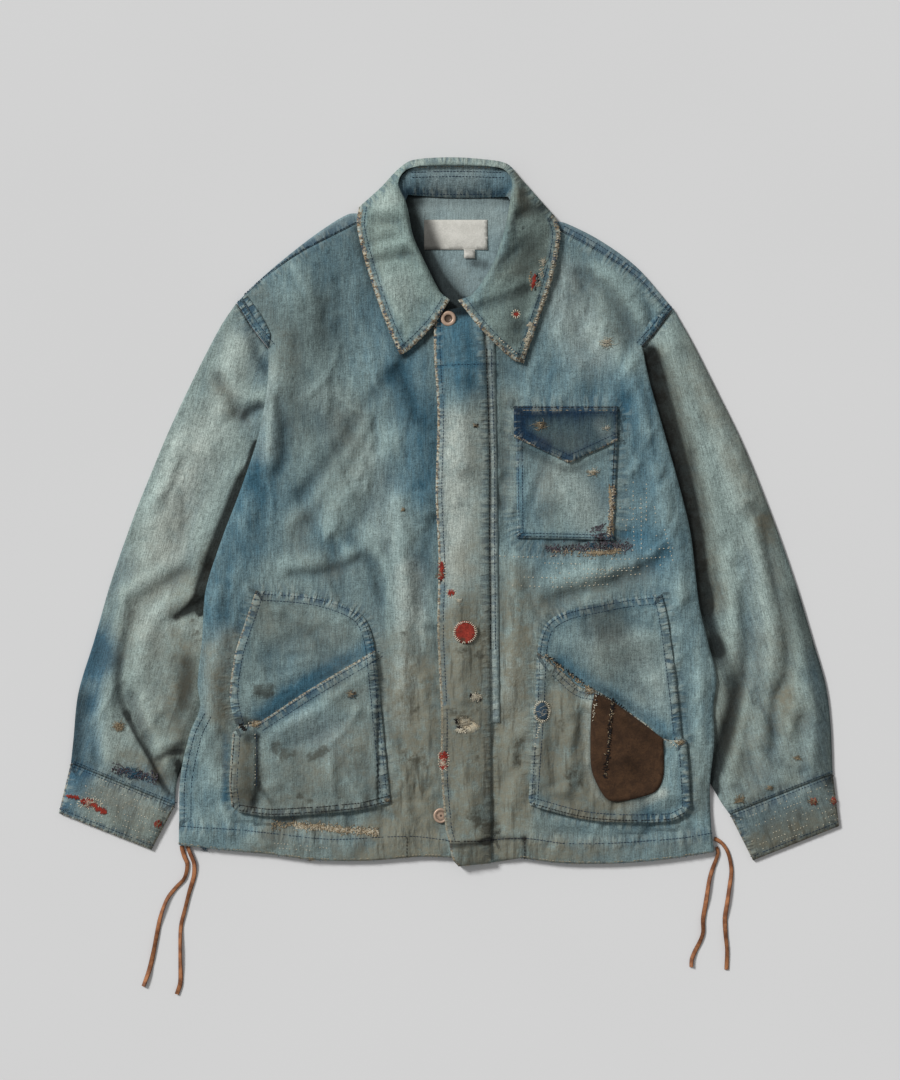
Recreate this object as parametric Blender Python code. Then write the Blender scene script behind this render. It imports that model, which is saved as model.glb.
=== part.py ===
"""Patched denim work jacket, laid flat on its back with its front up.

Every piece of cloth is a wall of real thickness. The pieces lie on each other as they do on a table: one
plan of the whole jacket is cut into triangles along every outline, and each sheet is laid on the sheets below
it, 0.3 mm apart. A piece that is folded (sleeve, cuff, collar, turned-up hem, back over the shoulder) is two
sheets that are joined along the fold. The wearer's right is at -X, the neck is at +Y and the front faces +Z.
"""
import bpy
import bmesh
import numpy as np
from math import cos, pi, sin
from mathutils.geometry import delaunay_2d_cdt

# Sizes in metres
BACK_LENGTH = 0.700
CLOTH = 0.0015
COLLAR_CLOTH = 0.0018
PATCH_CLOTH = 0.0011
LABEL_CLOTH = 0.0010
SEAM_GAP = 0.0003
FOLDED_EDGE = 0.0024
FOLD_OVERRUN = 0.003
BODY_LOFT = 0.0018
SLEEVE_LOFT = 0.0024
STAND_RISE = 0.0090
STAND_SPREAD = 0.0125
STAND_FRONT_EASE = 0.055
STAND_SEAM_EASE = 0.009
COLLAR_ROLL = 0.0024
COLLAR_ROLL_INSET = 0.008
COLLAR_ROLL_WIDTH = 0.009
COLLAR_LIFT = 0.0024
FOLD_LIMIT = 0.0046
BODY_EASE = 0.022
CUFF_EASE = 0.011
COLLAR_EASE = 0.020
MILLIMETRE = 0.001
BUTTON_RADIUS = 0.0080
BUTTON_HOLLOW_RADIUS = 0.0036
BUTTON_HEIGHT = 0.0032
BUTTON_SIDES = 24
BUTTON_SHARP_ANGLE = pi / 5
LACE_WIDTH = 0.005
LACE_STEP = 0.012

# How finely the plan is cut: its lattice, how near an outline its points may lie, and what counts as flat
PLAN_STEP = 0.024
LATTICE_CLEARANCE = 0.010
ROUND_PATCH_SIDES = 14
FLAT_ANGLE = 0.0005

# The photograph's frame: the back's length in pixels sets the scale, and the centre is the jacket's
BACK_LENGTH_PX = 667.0
CENTRE_PX = (448.95, 511.5)
PIXEL = BACK_LENGTH / BACK_LENGTH_PX
SAME_POINT = PIXEL / 20

# Runs of the outlines in photo pixels, each a smooth curve through its points
NECK_BACK = [(408, 195), (455, 197.5), (508, 197)]
SHOULDER_RIGHT = [(397, 192), (383, 200), (368, 212.5), (348, 214), (317, 233), (281, 261), (258, 281),
                  (236.6, 302.5)]
SHOULDER_LEFT = [(518, 192), (531, 202), (546, 218), (566, 223), (600, 240), (637, 267), (672.7, 308)]
SHOULDER_SEAM_RIGHT = [(392, 204), (356, 224), (309, 248), (284, 263.5), (262, 280.5), (246, 294.5)]
SHOULDER_SEAM_LEFT = [(521, 206), (562, 232), (597, 251), (636, 278), (668, 311)]
SHOULDER_END_RIGHT = [(236.6, 302.5), (246, 294.5)]
SHOULDER_END_LEFT = [(672.7, 308), (668, 311)]
ARMHOLE_RIGHT = [(236.6, 302.5), (252, 327), (268.5, 348)]
ARMHOLE_LEFT = [(672.7, 308), (657, 329), (642, 346)]
SIDE_RIGHT = [(268.5, 348), (268, 380), (260, 430), (244, 481), (221, 542), (206, 591), (202.5, 640),
              (198, 683), (200, 708), (190, 733), (180, 779), (179, 826)]
SIDE_LEFT = [(642, 346), (649, 380), (665, 436), (683, 501), (691, 537), (699, 605), (708, 643), (716, 678),
             (713, 706), (714, 741), (710, 784), (711.5, 833)]
HEM_SIDE_RIGHT = [(179, 826), (178.8, 845)]
HEM_SIDE_LEFT = [(711.5, 833), (714.5, 852)]
HEM_RIGHT = [(178.8, 845), (223, 850), (267, 854), (314, 860), (368, 860.6), (420, 856.7), (452, 857.5)]
HEM_UNDERLAP = [(452, 857.5), (481, 860)]
HEM_MIDDLE = [(481, 860), (521, 858)]
HEM_CORNER = [(458.5, 866), (491, 863), (521, 858)]
HEM_LEFT = [(521, 858), (560, 863), (609, 863.6), (660, 860), (714.5, 852)]
HEM_LINE_RIGHT = [(179, 826), (245, 830), (298, 836), (338, 839), (407, 836), (449, 840)]
HEM_LINE_MIDDLE = [(449, 840), (481, 840)]
HEM_LINE_LEFT = [(481, 840), (525, 838), (565, 843), (619, 842.4), (678, 838), (711.5, 833)]
NECK_RIGHT = [(392, 204), (390, 226), (396, 250), (407, 273), (426, 295), (446, 307)]
NECK_LEFT = [(521, 206), (523, 226), (516, 252), (505, 275), (481, 302)]
NECK_LEFT_FRONT = [(481, 302), (458, 308), (434.5, 311)]
UNDERLAP_TOP = [(446, 307), (481, 318)]
UNDERLAP_EDGE = [[(481, 318), (481, 722.5)], [(481, 722.5), (481, 840)], [(481, 840), (481, 860)]]
PLACKET_EDGE = [(434.5, 311), (434, 351), (437.5, 416), (435.7, 494), (438.6, 562), (437.3, 630), (441, 713),
                (441, 770), (445.5, 828), (449, 840)]
PLACKET_CORNER = [(449, 840), (452, 857.5), (458.5, 866)]
PLACKET_SEAM = [(481, 302), (486, 366), (489, 459), (489, 540), (490, 648), (491, 740), (491, 863)]
FACING_BAND = [(481, 318), (495, 336), (498, 540), (500, 722.5), (481, 722.5)]
TORN_HOLE = [(458.5, 717), (466, 717), (474, 722), (478.5, 725.5), (472, 730), (466, 731), (460, 725)]

SLEEVE_RIGHT_OUTER = [(235.9, 303.1), (220, 327), (192.6, 380), (169, 430), (151, 473), (133, 518),
                      (111, 581), (94, 640), (78, 693), (73, 740), (70.5, 763.2)]
SLEEVE_RIGHT_INNER = [(267.8, 348.9), (284, 358), (293, 382), (286, 430), (252, 540), (232, 650), (216, 700),
                      (192, 745), (177, 780), (174.3, 805.3)]
SLEEVE_LEFT_OUTER = [(673.5, 308.6), (693, 343), (716.7, 390), (744, 446), (774, 521), (797, 587),
                     (813, 640), (826, 685), (831, 725), (833, 774.1)]
SLEEVE_LEFT_INNER = [(642.6, 346.8), (630, 358), (620, 385), (622, 440), (650, 560), (673, 660), (702, 765),
                     (720, 800), (730.1, 814.5)]
CUFF_RIGHT = [(70.4, 763.7), (58.5, 813.4), (151, 850), (174.5, 805.8)]
CUFF_LEFT = [(833.1, 774.6), (839.4, 826.3), (753.4, 860.6), (730.4, 815.0)]

COLLAR_SILHOUETTE = [(359, 207), (381, 187), (397, 170), (412, 160), (448, 157), (484, 159), (507, 163.5),
                     (520, 177), (532, 190.5), (555, 216.5)]
COLLAR_BEHIND = [(555, 216.5), (510, 233), (457, 239), (405, 231), (359, 207)]
LEAF_RIGHT_OUTER = [(359, 207), (357, 226), (365, 261), (382, 313), (400, 355)]
LEAF_RIGHT_LOWER = [(400, 355), (408, 351), (434, 325), (450, 300)]
LEAF_LEFT_OUTER = [(555, 216.5), (560, 235), (552, 278), (537, 324), (523, 363)]
LEAF_LEFT_LOWER = [(523, 363), (512, 359), (482, 331), (458, 300.5)]
ROLL_LINE = [(450, 300), (440, 291.5), (423.5, 259), (413, 235), (407, 206), (398.5, 184), (409, 169.5),
             (448, 166.5), (500, 169), (511, 180), (510, 201), (503, 235), (491, 267), (472.5, 294),
             (458, 300.5)]
COLLAR_FRONT = (454, 300.5)
STAND_ROLL_RIGHT = [(447, 301.5), (437, 292), (420.5, 260), (410, 236), (404, 208), (408, 195)]
STAND_ROLL_LEFT = [(508, 197), (512.5, 208), (506, 236), (494, 268), (475, 296.5), (461, 303)]
STAND_TOP = [(521, 206), (518, 188), (504, 171), (455, 163), (414, 168), (397, 184), (392, 204)]

BAND_RIGHT_INNER = [(268.5, 348), (270, 334), (261, 315), (246, 294.5)]
BAND_LEFT_INNER = [(642, 346), (644, 333), (652, 319), (668, 311)]
CHEST_POCKET = [(515.5, 412), (517, 538), (613, 540), (617, 446), (615.5, 412)]
CHEST_FLAP = [(513.5, 406), (514, 437), (569, 463), (616.8, 441), (617.4, 406)]
HAND_POCKET_RIGHT = [[(256, 590.5), (310, 595), (345, 605), (365, 619), (374.5, 647), (382, 718),
                      (390.3, 800)],
                     [(390.3, 803), (358, 810), (314, 814), (271, 816), (240, 812)],
                     [(232, 806), (229.6, 783.5), (233, 732)],
                     [(236, 727), (230, 696.5), (235, 655), (243, 629), (256, 590.5)]]
HAND_OPENING_RIGHT = [(230, 730.5), (241, 725.5), (259, 722), (310, 689), (377, 649)]
HAND_POCKET_LEFT = [[(661, 594), (626.5, 598), (595, 604), (567, 610.5), (546, 624), (537.6, 649),
                     (534.6, 708), (528.5, 798)],
                    [(530, 805), (579, 818), (619, 822), (670, 821), (684, 815)],
                    [(690, 805), (688, 768), (686, 741)],
                    [(682, 738), (676.6, 689), (667, 619), (661, 594)]]
HAND_OPENING_LEFT = [(535, 650), (559, 669), (579, 686.6), (597, 690.6), (622.6, 708), (644, 722),
                     (664, 738.5), (690, 739)]
BROWN_PATCH = [[(594, 692.5), (610, 699.5), (640, 721), (663, 738.5)],
               [(663, 738.5), (663, 774), (656, 790), (638, 797), (617, 801), (605, 797), (592, 772),
                (590, 745), (591, 708), (594, 692.5)]]
RED_PATCH_CENTRE = (465.3, 632)
RED_PATCH_RADIUS_PX = 11.5
NECK_LABEL = [(424, 219.6), (487.5, 219.6), (487.5, 249.4), (424, 249.4)]
SIZE_TAB = [(464, 249), (475, 249), (475, 258), (464, 258)]
TOP_BUTTON_PX = (448.3, 319)
BOTTOM_BUTTON_PX = (441, 815.4)

LACES = {
    "lace_right_a": [(181.4, 846.0), (181.9, 850), (184, 857), (187, 865), (184.2, 878.4), (176, 887.6),
                     (167.6, 898), (162.4, 909.8), (159, 921.6), (153.3, 951.6), (149, 970), (143, 987)],
    "lace_right_b": [(187.6, 846.7), (188.4, 850.5), (191.2, 857), (193.9, 865), (193.5, 877),
                     (189.2, 891.5), (184.6, 909.8), (180.7, 925.5), (179.8, 938.6), (179.8, 956.9),
                     (180, 983), (176.5, 994.8)],
    "lace_left_a": [(717, 847.5), (718.5, 853), (716.5, 860), (712.7, 870.2), (709.5, 881.6), (705.7, 907),
                    (703.4, 920), (703.4, 932.7), (700.6, 941.6), (694.9, 953), (692, 960.7),
                    (691.7, 967.7)],
    "lace_left_b": [(714.6, 839.0), (717.6, 840.2), (722.3, 843.6), (727.4, 851), (730.6, 861.2),
                    (731.9, 872.7), (730, 886.7), (727.4, 904.6), (725.5, 918.6), (725.9, 934),
                    (727.4, 950.5), (727, 970.3)],
}

# Folds: height in millimetres (a valley is negative), half width in pixels, then the fold's line in pixels
BODY_FOLDS = [
    (2.2, 11, [(272, 372), (270, 412), (277, 452)]),
    (-1.6, 9, [(283, 405), (288, 448), (280, 480)]),
    (2.0, 14, [(300, 300), (313, 345), (318, 400)]),
    (-1.4, 10, [(400, 368), (372, 400), (338, 452), (302, 495)]),
    (2.2, 13, [(386, 430), (352, 480), (318, 530)]),
    (2.0, 12, [(292, 560), (325, 556), (356, 546)]),
    (-1.2, 8, [(295, 575), (342, 571), (362, 562)]),
    (2.4, 11, [(400, 520), (404, 600), (402, 690)]),
    (-1.4, 8, [(358, 545), (378, 577), (386, 610)]),
    (2.0, 13, [(225, 600), (218, 680), (214, 780)]),
    (2.4, 13, [(560, 575), (610, 565), (655, 545)]),
    (-1.6, 9, [(551, 600), (600, 585), (640, 570), (668, 552)]),
    (-1.5, 9, [(582, 275), (606, 290), (622, 310), (634, 335)]),
    (2.0, 12, [(600, 330), (632, 380), (645, 430)]),
    (2.2, 12, [(655, 470), (672, 530), (680, 590)]),
    (2.0, 11, [(520, 600), (515, 690), (516, 790)]),
    (2.2, 11, [(697, 640), (698, 720), (697, 800)]),
]
SLEEVE_FOLDS = [
    (2.0, 13, [(240, 345), (226, 400), (205, 450)]),
    (-1.6, 8, [(221, 380), (236, 406), (242, 420)]),
    (2.0, 14, [(180, 440), (160, 500), (150, 560)]),
    (-1.5, 8, [(183, 574), (159.5, 589), (132, 610)]),
    (2.0, 12, [(190, 600), (150, 625), (112, 640)]),
    (-1.6, 9, [(133, 690), (145, 735), (163, 785)]),
    (2.0, 11, [(113, 680), (112, 730), (118, 775)]),
    (2.0, 13, [(700, 375), (722, 440), (742, 500)]),
    (-1.8, 10, [(676, 430), (700, 500), (716, 570), (728, 640)]),
    (-1.5, 8, [(766, 521), (781, 600), (789, 675), (776, 740)]),
    (2.0, 13, [(756, 560), (762, 640), (757, 710)]),
    (2.0, 10, [(806, 650), (812, 700), (808, 750)]),
    (2.0, 12, [(736, 700), (738, 750), (755, 790)]),
]
COLLAR_FOLDS = [
    (1.6, 14, [(384, 205), (381, 240), (392, 290)]),
    (1.6, 14, [(536, 215), (537, 250), (524, 300)]),
]

# Buttons' profiles in metres: radius and height, from the underside's centre to the top's centre
ROUND_EDGE = [(BUTTON_RADIUS * 0.92, 0), (BUTTON_RADIUS, BUTTON_HEIGHT * 0.25),
              (BUTTON_RADIUS, BUTTON_HEIGHT * 0.6), (BUTTON_RADIUS * 0.9, BUTTON_HEIGHT * 0.93),
              (BUTTON_RADIUS * 0.76, BUTTON_HEIGHT)]
HOLLOW_TOP = [(0, 0), *ROUND_EDGE, (BUTTON_HOLLOW_RADIUS * 1.15, BUTTON_HEIGHT * 0.94),
              (BUTTON_HOLLOW_RADIUS, BUTTON_HEIGHT * 0.7), (BUTTON_HOLLOW_RADIUS * 0.9, BUTTON_HEIGHT * 0.35),
              (0, BUTTON_HEIGHT * 0.3)]
DISHED_TOP = [(0, 0), *ROUND_EDGE, (BUTTON_RADIUS * 0.62, BUTTON_HEIGHT * 0.8), (0, BUTTON_HEIGHT * 0.78)]
BUTTONS = {"top_button": (TOP_BUTTON_PX, HOLLOW_TOP), "bottom_button": (BOTTOM_BUTTON_PX, DISHED_TOP)}

# Colour, roughness and metallic value of each finish
FINISHES = {
    "denim": ((0.20, 0.27, 0.29), 0.92, 0.0),
    "sleeve_denim": ((0.24, 0.29, 0.28), 0.92, 0.0),
    "collar_denim": ((0.25, 0.31, 0.30), 0.92, 0.0),
    "indigo": ((0.08, 0.14, 0.21), 0.92, 0.0),
    "lining": ((0.27, 0.28, 0.27), 0.94, 0.0),
    "brown_cloth": ((0.09, 0.055, 0.035), 0.95, 0.0),
    "red_cloth": ((0.42, 0.075, 0.05), 0.95, 0.0),
    "label": ((0.72, 0.71, 0.67), 0.85, 0.0),
    "brass": ((0.30, 0.24, 0.19), 0.42, 1.0),
    "leather": ((0.36, 0.18, 0.07), 0.62, 0.0),
}


def metres(point):
    """Turn a point of the photograph into the jacket's own frame."""
    return ((point[0] - CENTRE_PX[0]) * PIXEL, (CENTRE_PX[1] - point[1]) * PIXEL)


def smooth(points, step=PLAN_STEP):
    """Read a smooth curve through the points, with stretches no longer than the step."""
    pts = np.array([metres(p) for p in points])
    if len(pts) < 3:
        slopes = np.repeat([pts[-1] - pts[0]], 2, axis=0)
    else:
        slopes = np.gradient(pts, axis=0)
        slopes[1:-1] = (pts[2:] - pts[:-2]) / 2
    out = [pts[0]]
    for a, b, ta, tb in zip(pts, pts[1:], slopes, slopes[1:]):
        length = np.linalg.norm(b - a)
        ta = ta * min(1, length / max(np.linalg.norm(ta), 1e-9))
        tb = tb * min(1, length / max(np.linalg.norm(tb), 1e-9))
        count = max(1, int(np.ceil(length / step)))
        for i in range(1, count + 1):
            t = i / count
            out.append((2 * t**3 - 3 * t**2 + 1) * a + (t**3 - 2 * t**2 + t) * ta
                       + (3 * t**2 - 2 * t**3) * b + (t**3 - t**2) * tb)
    return np.array(out)


def outline(*runs):
    """Join runs that meet end to end into one closed outline, each turned the way it has to go."""
    loop = list(smooth(runs[0]))
    for run in runs[1:]:
        pts = smooth(run)
        if np.linalg.norm(pts[-1] - loop[-1]) < np.linalg.norm(pts[0] - loop[-1]):
            pts = pts[::-1]
        loop.extend(pts)
    kept = [loop[0]]
    for point in loop[1:]:
        if np.linalg.norm(point - kept[-1]) > SAME_POINT:
            kept.append(point)
    if np.linalg.norm(kept[0] - kept[-1]) < SAME_POINT:
        kept.pop()
    return np.array(kept)


def polygon(points):
    """A closed outline with straight sides, none longer than the plan's step."""
    return outline(*[[a, b] for a, b in zip(points, points[1:] + points[:1])])


def circle(centre, radius):
    x, y = metres(centre)
    turns = [2 * pi * i / ROUND_PATCH_SIDES for i in range(ROUND_PATCH_SIDES)]
    return np.array([(x + radius * cos(t), y + radius * sin(t)) for t in turns])


def edge_strip(runs, inward, overrun=0.0):
    """The strip along runs where a folded piece's two sheets are joined, on the runs' left side for +1."""
    pts = np.concatenate([smooth(runs[0])] + [smooth(run)[1:] for run in runs[1:]])
    along = np.gradient(pts, axis=0)
    along /= np.linalg.norm(along, axis=1)[:, None]
    across = inward * FOLDED_EDGE * np.stack([-along[:, 1], along[:, 0]], axis=1)
    pts = pts.copy()
    pts[0] -= along[0] * overrun
    pts[-1] += along[-1] * overrun
    return np.concatenate([pts, (pts + across)[::-1]])


def shifted(run, dx, dy=0.0):
    return [(x + dx, y + dy) for x, y in run]


REGIONS = {
    "collar_behind": outline(COLLAR_SILHOUETTE, COLLAR_BEHIND),
    "collar_front": outline(COLLAR_SILHOUETTE, LEAF_LEFT_OUTER, LEAF_LEFT_LOWER, ROLL_LINE, LEAF_RIGHT_LOWER,
                            LEAF_RIGHT_OUTER),
    "collar_fold": edge_strip([COLLAR_SILHOUETTE], -1),
    "stand": outline(STAND_ROLL_RIGHT, NECK_BACK, STAND_ROLL_LEFT, [(461, 303), (481, 302)], NECK_LEFT,
                     STAND_TOP, NECK_RIGHT, [(446, 307), (447, 301.5)]),
    "back": outline(NECK_BACK, [(508, 197), (518, 192)], SHOULDER_LEFT, ARMHOLE_LEFT, SIDE_LEFT,
                    HEM_SIDE_LEFT, HEM_LEFT, HEM_MIDDLE, HEM_UNDERLAP, HEM_RIGHT, HEM_SIDE_RIGHT, SIDE_RIGHT,
                    ARMHOLE_RIGHT, SHOULDER_RIGHT, [(397, 192), (408, 195)]),
    "shoulder_right": outline(SHOULDER_RIGHT, SHOULDER_END_RIGHT, SHOULDER_SEAM_RIGHT,
                              [(392, 204), (397, 192)]),
    "shoulder_left": outline(SHOULDER_LEFT, SHOULDER_END_LEFT, SHOULDER_SEAM_LEFT, [(521, 206), (518, 192)]),
    "shoulder_fold_right": edge_strip([SHOULDER_RIGHT], 1),
    "shoulder_fold_left": edge_strip([SHOULDER_LEFT], -1),
    "front_right": outline(NECK_RIGHT, UNDERLAP_TOP, *UNDERLAP_EDGE, HEM_UNDERLAP, HEM_RIGHT, HEM_SIDE_RIGHT,
                           SIDE_RIGHT, ARMHOLE_RIGHT, SHOULDER_END_RIGHT, SHOULDER_SEAM_RIGHT),
    "front_left": outline(NECK_LEFT, NECK_LEFT_FRONT, PLACKET_EDGE, PLACKET_CORNER, HEM_CORNER, HEM_LEFT,
                          HEM_SIDE_LEFT, SIDE_LEFT, ARMHOLE_LEFT, SHOULDER_END_LEFT, SHOULDER_SEAM_LEFT),
    "hem_right": outline(HEM_LINE_RIGHT, HEM_LINE_MIDDLE, UNDERLAP_EDGE[2], HEM_UNDERLAP, HEM_RIGHT,
                         HEM_SIDE_RIGHT),
    "hem_left": outline(HEM_LINE_MIDDLE, HEM_LINE_LEFT, HEM_SIDE_LEFT, HEM_LEFT, HEM_CORNER, PLACKET_CORNER),
    "hem_middle": outline(HEM_LINE_LEFT, HEM_SIDE_LEFT, HEM_LEFT, HEM_MIDDLE, UNDERLAP_EDGE[2]),
    "hem_fold_right": edge_strip([HEM_RIGHT], 1),
    "hem_fold_left": edge_strip([HEM_CORNER, HEM_LEFT], 1),
    "sleeve_right": outline(SLEEVE_RIGHT_OUTER, [(70.5, 763.2), (174.3, 805.3)], SLEEVE_RIGHT_INNER,
                            shifted(ARMHOLE_RIGHT, -0.7, 0.7)),
    "sleeve_left": outline(SLEEVE_LEFT_OUTER, [(833, 774.1), (730.1, 814.5)], SLEEVE_LEFT_INNER,
                           shifted(ARMHOLE_LEFT, 0.7, 0.7)),
    "sleeve_right_outer_fold": edge_strip([SLEEVE_RIGHT_OUTER], 1, overrun=FOLD_OVERRUN),
    "sleeve_right_inner_fold": edge_strip([SLEEVE_RIGHT_INNER[1:]], -1, overrun=FOLD_OVERRUN),
    "sleeve_left_outer_fold": edge_strip([SLEEVE_LEFT_OUTER], -1, overrun=FOLD_OVERRUN),
    "sleeve_left_inner_fold": edge_strip([SLEEVE_LEFT_INNER[1:]], 1, overrun=FOLD_OVERRUN),
    "cuff_right": polygon(CUFF_RIGHT),
    "cuff_left": polygon(CUFF_LEFT),
    "cuff_right_outer_fold": edge_strip([CUFF_RIGHT[0:2]], 1, overrun=FOLD_OVERRUN),
    "cuff_right_inner_fold": edge_strip([CUFF_RIGHT[2:4]], 1, overrun=FOLD_OVERRUN),
    "cuff_left_outer_fold": edge_strip([CUFF_LEFT[0:2]], -1, overrun=FOLD_OVERRUN),
    "cuff_left_inner_fold": edge_strip([CUFF_LEFT[2:4]], -1, overrun=FOLD_OVERRUN),
    "placket": outline(NECK_LEFT_FRONT, PLACKET_EDGE, PLACKET_CORNER, HEM_CORNER[:2], PLACKET_SEAM),
    "facing_band": polygon(FACING_BAND),
    "torn_hole": outline(TORN_HOLE + TORN_HOLE[:1]),
    "band_right": outline(ARMHOLE_RIGHT, BAND_RIGHT_INNER, SHOULDER_END_RIGHT),
    "band_left": outline(ARMHOLE_LEFT, BAND_LEFT_INNER, SHOULDER_END_LEFT),
    "chest_pocket": polygon(CHEST_POCKET),
    "chest_flap": polygon(CHEST_FLAP),
    "hand_pocket_right": outline(*HAND_POCKET_RIGHT),
    "hand_pocket_left": outline(*HAND_POCKET_LEFT),
    "brown_patch": outline(*BROWN_PATCH),
    "red_patch": circle(RED_PATCH_CENTRE, RED_PATCH_RADIUS_PX * PIXEL),
    "neck_label": polygon(NECK_LABEL),
    "size_tab": polygon(SIZE_TAB),
    "top_button": circle(TOP_BUTTON_PX, BUTTON_RADIUS + SEAM_GAP),
    "bottom_button": circle(BOTTOM_BUTTON_PX, BUTTON_RADIUS + SEAM_GAP),
}


# The slanted pocket openings: each line parts its pocket's front panel, below it, from the patch behind
OPENINGS = {
    "hand_panel_right": ("hand_pocket_right", HAND_OPENING_RIGHT),
    "hand_panel_left": ("hand_pocket_left", HAND_OPENING_LEFT),
}

# Sheets from the floor up: node, its lower (0) or upper (1) sheet, regions, wall and kind of loft
SHEETS = [
    ("collar", 0, ["collar_behind"], COLLAR_CLOTH, None),
    ("sleeve_right", 0, ["sleeve_right"], CLOTH, None),
    ("sleeve_left", 0, ["sleeve_left"], CLOTH, None),
    ("cuff_right", 0, ["cuff_right"], CLOTH, None),
    ("cuff_left", 0, ["cuff_left"], CLOTH, None),
    ("sleeve_right", 1, ["sleeve_right"], CLOTH, "sleeve"),
    ("sleeve_left", 1, ["sleeve_left"], CLOTH, "sleeve"),
    ("cuff_right", 1, ["cuff_right"], CLOTH, "cuff"),
    ("cuff_left", 1, ["cuff_left"], CLOTH, "cuff"),
    ("back", 0, ["back"], CLOTH, None),
    ("back", 1, ["shoulder_right", "shoulder_left", "hem_right", "hem_middle"], CLOTH, None),
    ("front_right", 0, ["hem_right"], CLOTH, None),
    ("front_right", 1, ["front_right"], CLOTH, "body"),
    ("bottom_button", None, ["bottom_button"], BUTTON_HEIGHT, None),
    ("front_left", 0, ["hem_left"], CLOTH, None),
    ("front_left", 1, ["front_left"], CLOTH, "body"),
    ("fly_facing", 0, ["facing_band"], PATCH_CLOTH, None),
    ("fly_placket", 0, ["placket"], CLOTH, None),
    ("top_button", None, ["top_button"], BUTTON_HEIGHT, None),
    ("armhole_band_right", 0, ["band_right"], PATCH_CLOTH, None),
    ("armhole_band_left", 0, ["band_left"], PATCH_CLOTH, None),
    ("chest_pocket", 0, ["chest_pocket"], CLOTH, None),
    ("chest_pocket_flap", 0, ["chest_flap"], CLOTH, None),
    ("hand_pocket_right", 0, ["hand_pocket_right"], CLOTH, None),
    ("hand_pocket_left", 0, ["hand_pocket_left"], CLOTH, None),
    ("hand_pocket_right_panel", 0, ["hand_panel_right"], CLOTH, None),
    ("hand_pocket_left_panel", 0, ["hand_panel_left"], CLOTH, None),
    ("brown_patch", 0, ["brown_patch"], PATCH_CLOTH, None),
    ("red_patch", 0, ["red_patch"], PATCH_CLOTH, None),
    ("neck_label", 0, ["neck_label"], LABEL_CLOTH, None),
    ("size_tab", 0, ["size_tab"], LABEL_CLOTH, None),
    ("collar_stand", 0, ["stand"], CLOTH, "stand"),
    ("collar", 1, ["collar_front"], COLLAR_CLOTH, "collar"),
]
JOINS = {
    "collar": ["collar_fold"],
    "back": ["shoulder_fold_right", "shoulder_fold_left", "hem_fold_right", "hem_fold_left"],
    "front_right": ["hem_fold_right"],
    "front_left": ["hem_fold_left"],
    "sleeve_right": ["sleeve_right_outer_fold", "sleeve_right_inner_fold"],
    "sleeve_left": ["sleeve_left_outer_fold", "sleeve_left_inner_fold"],
    "cuff_right": ["cuff_right_outer_fold", "cuff_right_inner_fold"],
    "cuff_left": ["cuff_left_outer_fold", "cuff_left_inner_fold"],
}
HOLES = {"fly_placket": ["torn_hole"]}
COVERING = ["back", "sleeve_right", "sleeve_left", "cuff_right", "cuff_left", "collar_front"]
NODE_FINISH = {
    "back": "lining", "collar": "collar_denim", "collar_stand": "indigo", "sleeve_right": "sleeve_denim",
    "sleeve_left": "sleeve_denim", "chest_pocket_flap": "indigo", "brown_patch": "brown_cloth",
    "red_patch": "red_cloth", "neck_label": "label", "size_tab": "label",
}


def inside(points, loop):
    """Which of the points lie inside a closed outline, by counting its crossings to one side."""
    hit = np.zeros(len(points), dtype=bool)
    for a, b in zip(loop, np.roll(loop, -1, axis=0)):
        crosses = (a[1] > points[:, 1]) != (b[1] > points[:, 1])
        at_x = a[0] + (points[:, 1] - a[1]) * (b[0] - a[0]) / (b[1] - a[1] if b[1] != a[1] else 1)
        hit ^= crosses & (points[:, 0] < at_x)
    return hit


def distance(points, line):
    """Each point's distance to a line of straight stretches."""
    best = np.full(len(points), np.inf)
    for a, b in zip(line, line[1:]):
        along = b - a
        t = np.clip((points - a) @ along / max(along @ along, 1e-12), 0, 1)
        best = np.minimum(best, np.linalg.norm(points - a - t[:, None] * along, axis=1))
    return best


def closed(loop):
    return np.concatenate([loop, loop[:1]])


def make_plan():
    """Cut the jacket's plan into triangles along every outline and pocket opening, with a lattice between."""
    lines = [closed(loop) for loop in REGIONS.values()]
    lines += [smooth(line) for _, line in OPENINGS.values()]
    verts, edges = [], []
    for line in lines:
        start = len(verts)
        verts.extend(line)
        edges.extend((start + i, start + i + 1) for i in range(len(line) - 1))
    low, high = np.min(verts, axis=0), np.max(verts, axis=0)
    row = PLAN_STEP * sin(pi / 3)
    lattice = np.array([(x + (j % 2) * PLAN_STEP / 2, y)
                        for j, y in enumerate(np.arange(low[1], high[1], row))
                        for x in np.arange(low[0], high[0], PLAN_STEP)])
    lattice = lattice[np.any([inside(lattice, REGIONS[name]) for name in COVERING], axis=0)]
    clear = np.min([distance(lattice, line) for line in lines], axis=0) > LATTICE_CLEARANCE
    verts.extend(lattice[clear])
    points, _, faces, *_ = delaunay_2d_cdt([tuple(v) for v in verts], edges, [], 0, SAME_POINT / 2)
    return np.array([tuple(p) for p in points]), np.array([tuple(f) for f in faces])


def sort_triangles(points, triangles):
    """Say for every region which of the plan's triangles it holds."""
    centres = points[triangles].mean(axis=1)
    held = {name: inside(centres, loop) for name, loop in REGIONS.items()}
    for name, (pocket, line) in OPENINGS.items():
        run = smooth(line)
        bottom = REGIONS[pocket][:, 1].min() - PLAN_STEP
        below = np.concatenate([run, [(run[-1][0], bottom), (run[0][0], bottom)]])
        held[name] = held[pocket] & inside(centres, below)
    return held


def fold_height(points, folds):
    """Sum of the folds' soft ridges and valleys at each point."""
    height = np.zeros(len(points))
    for rise, half_width, line in folds:
        height += rise * MILLIMETRE * np.exp(-(distance(points, smooth(line)) / (half_width * PIXEL))**2)
    return height


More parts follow.
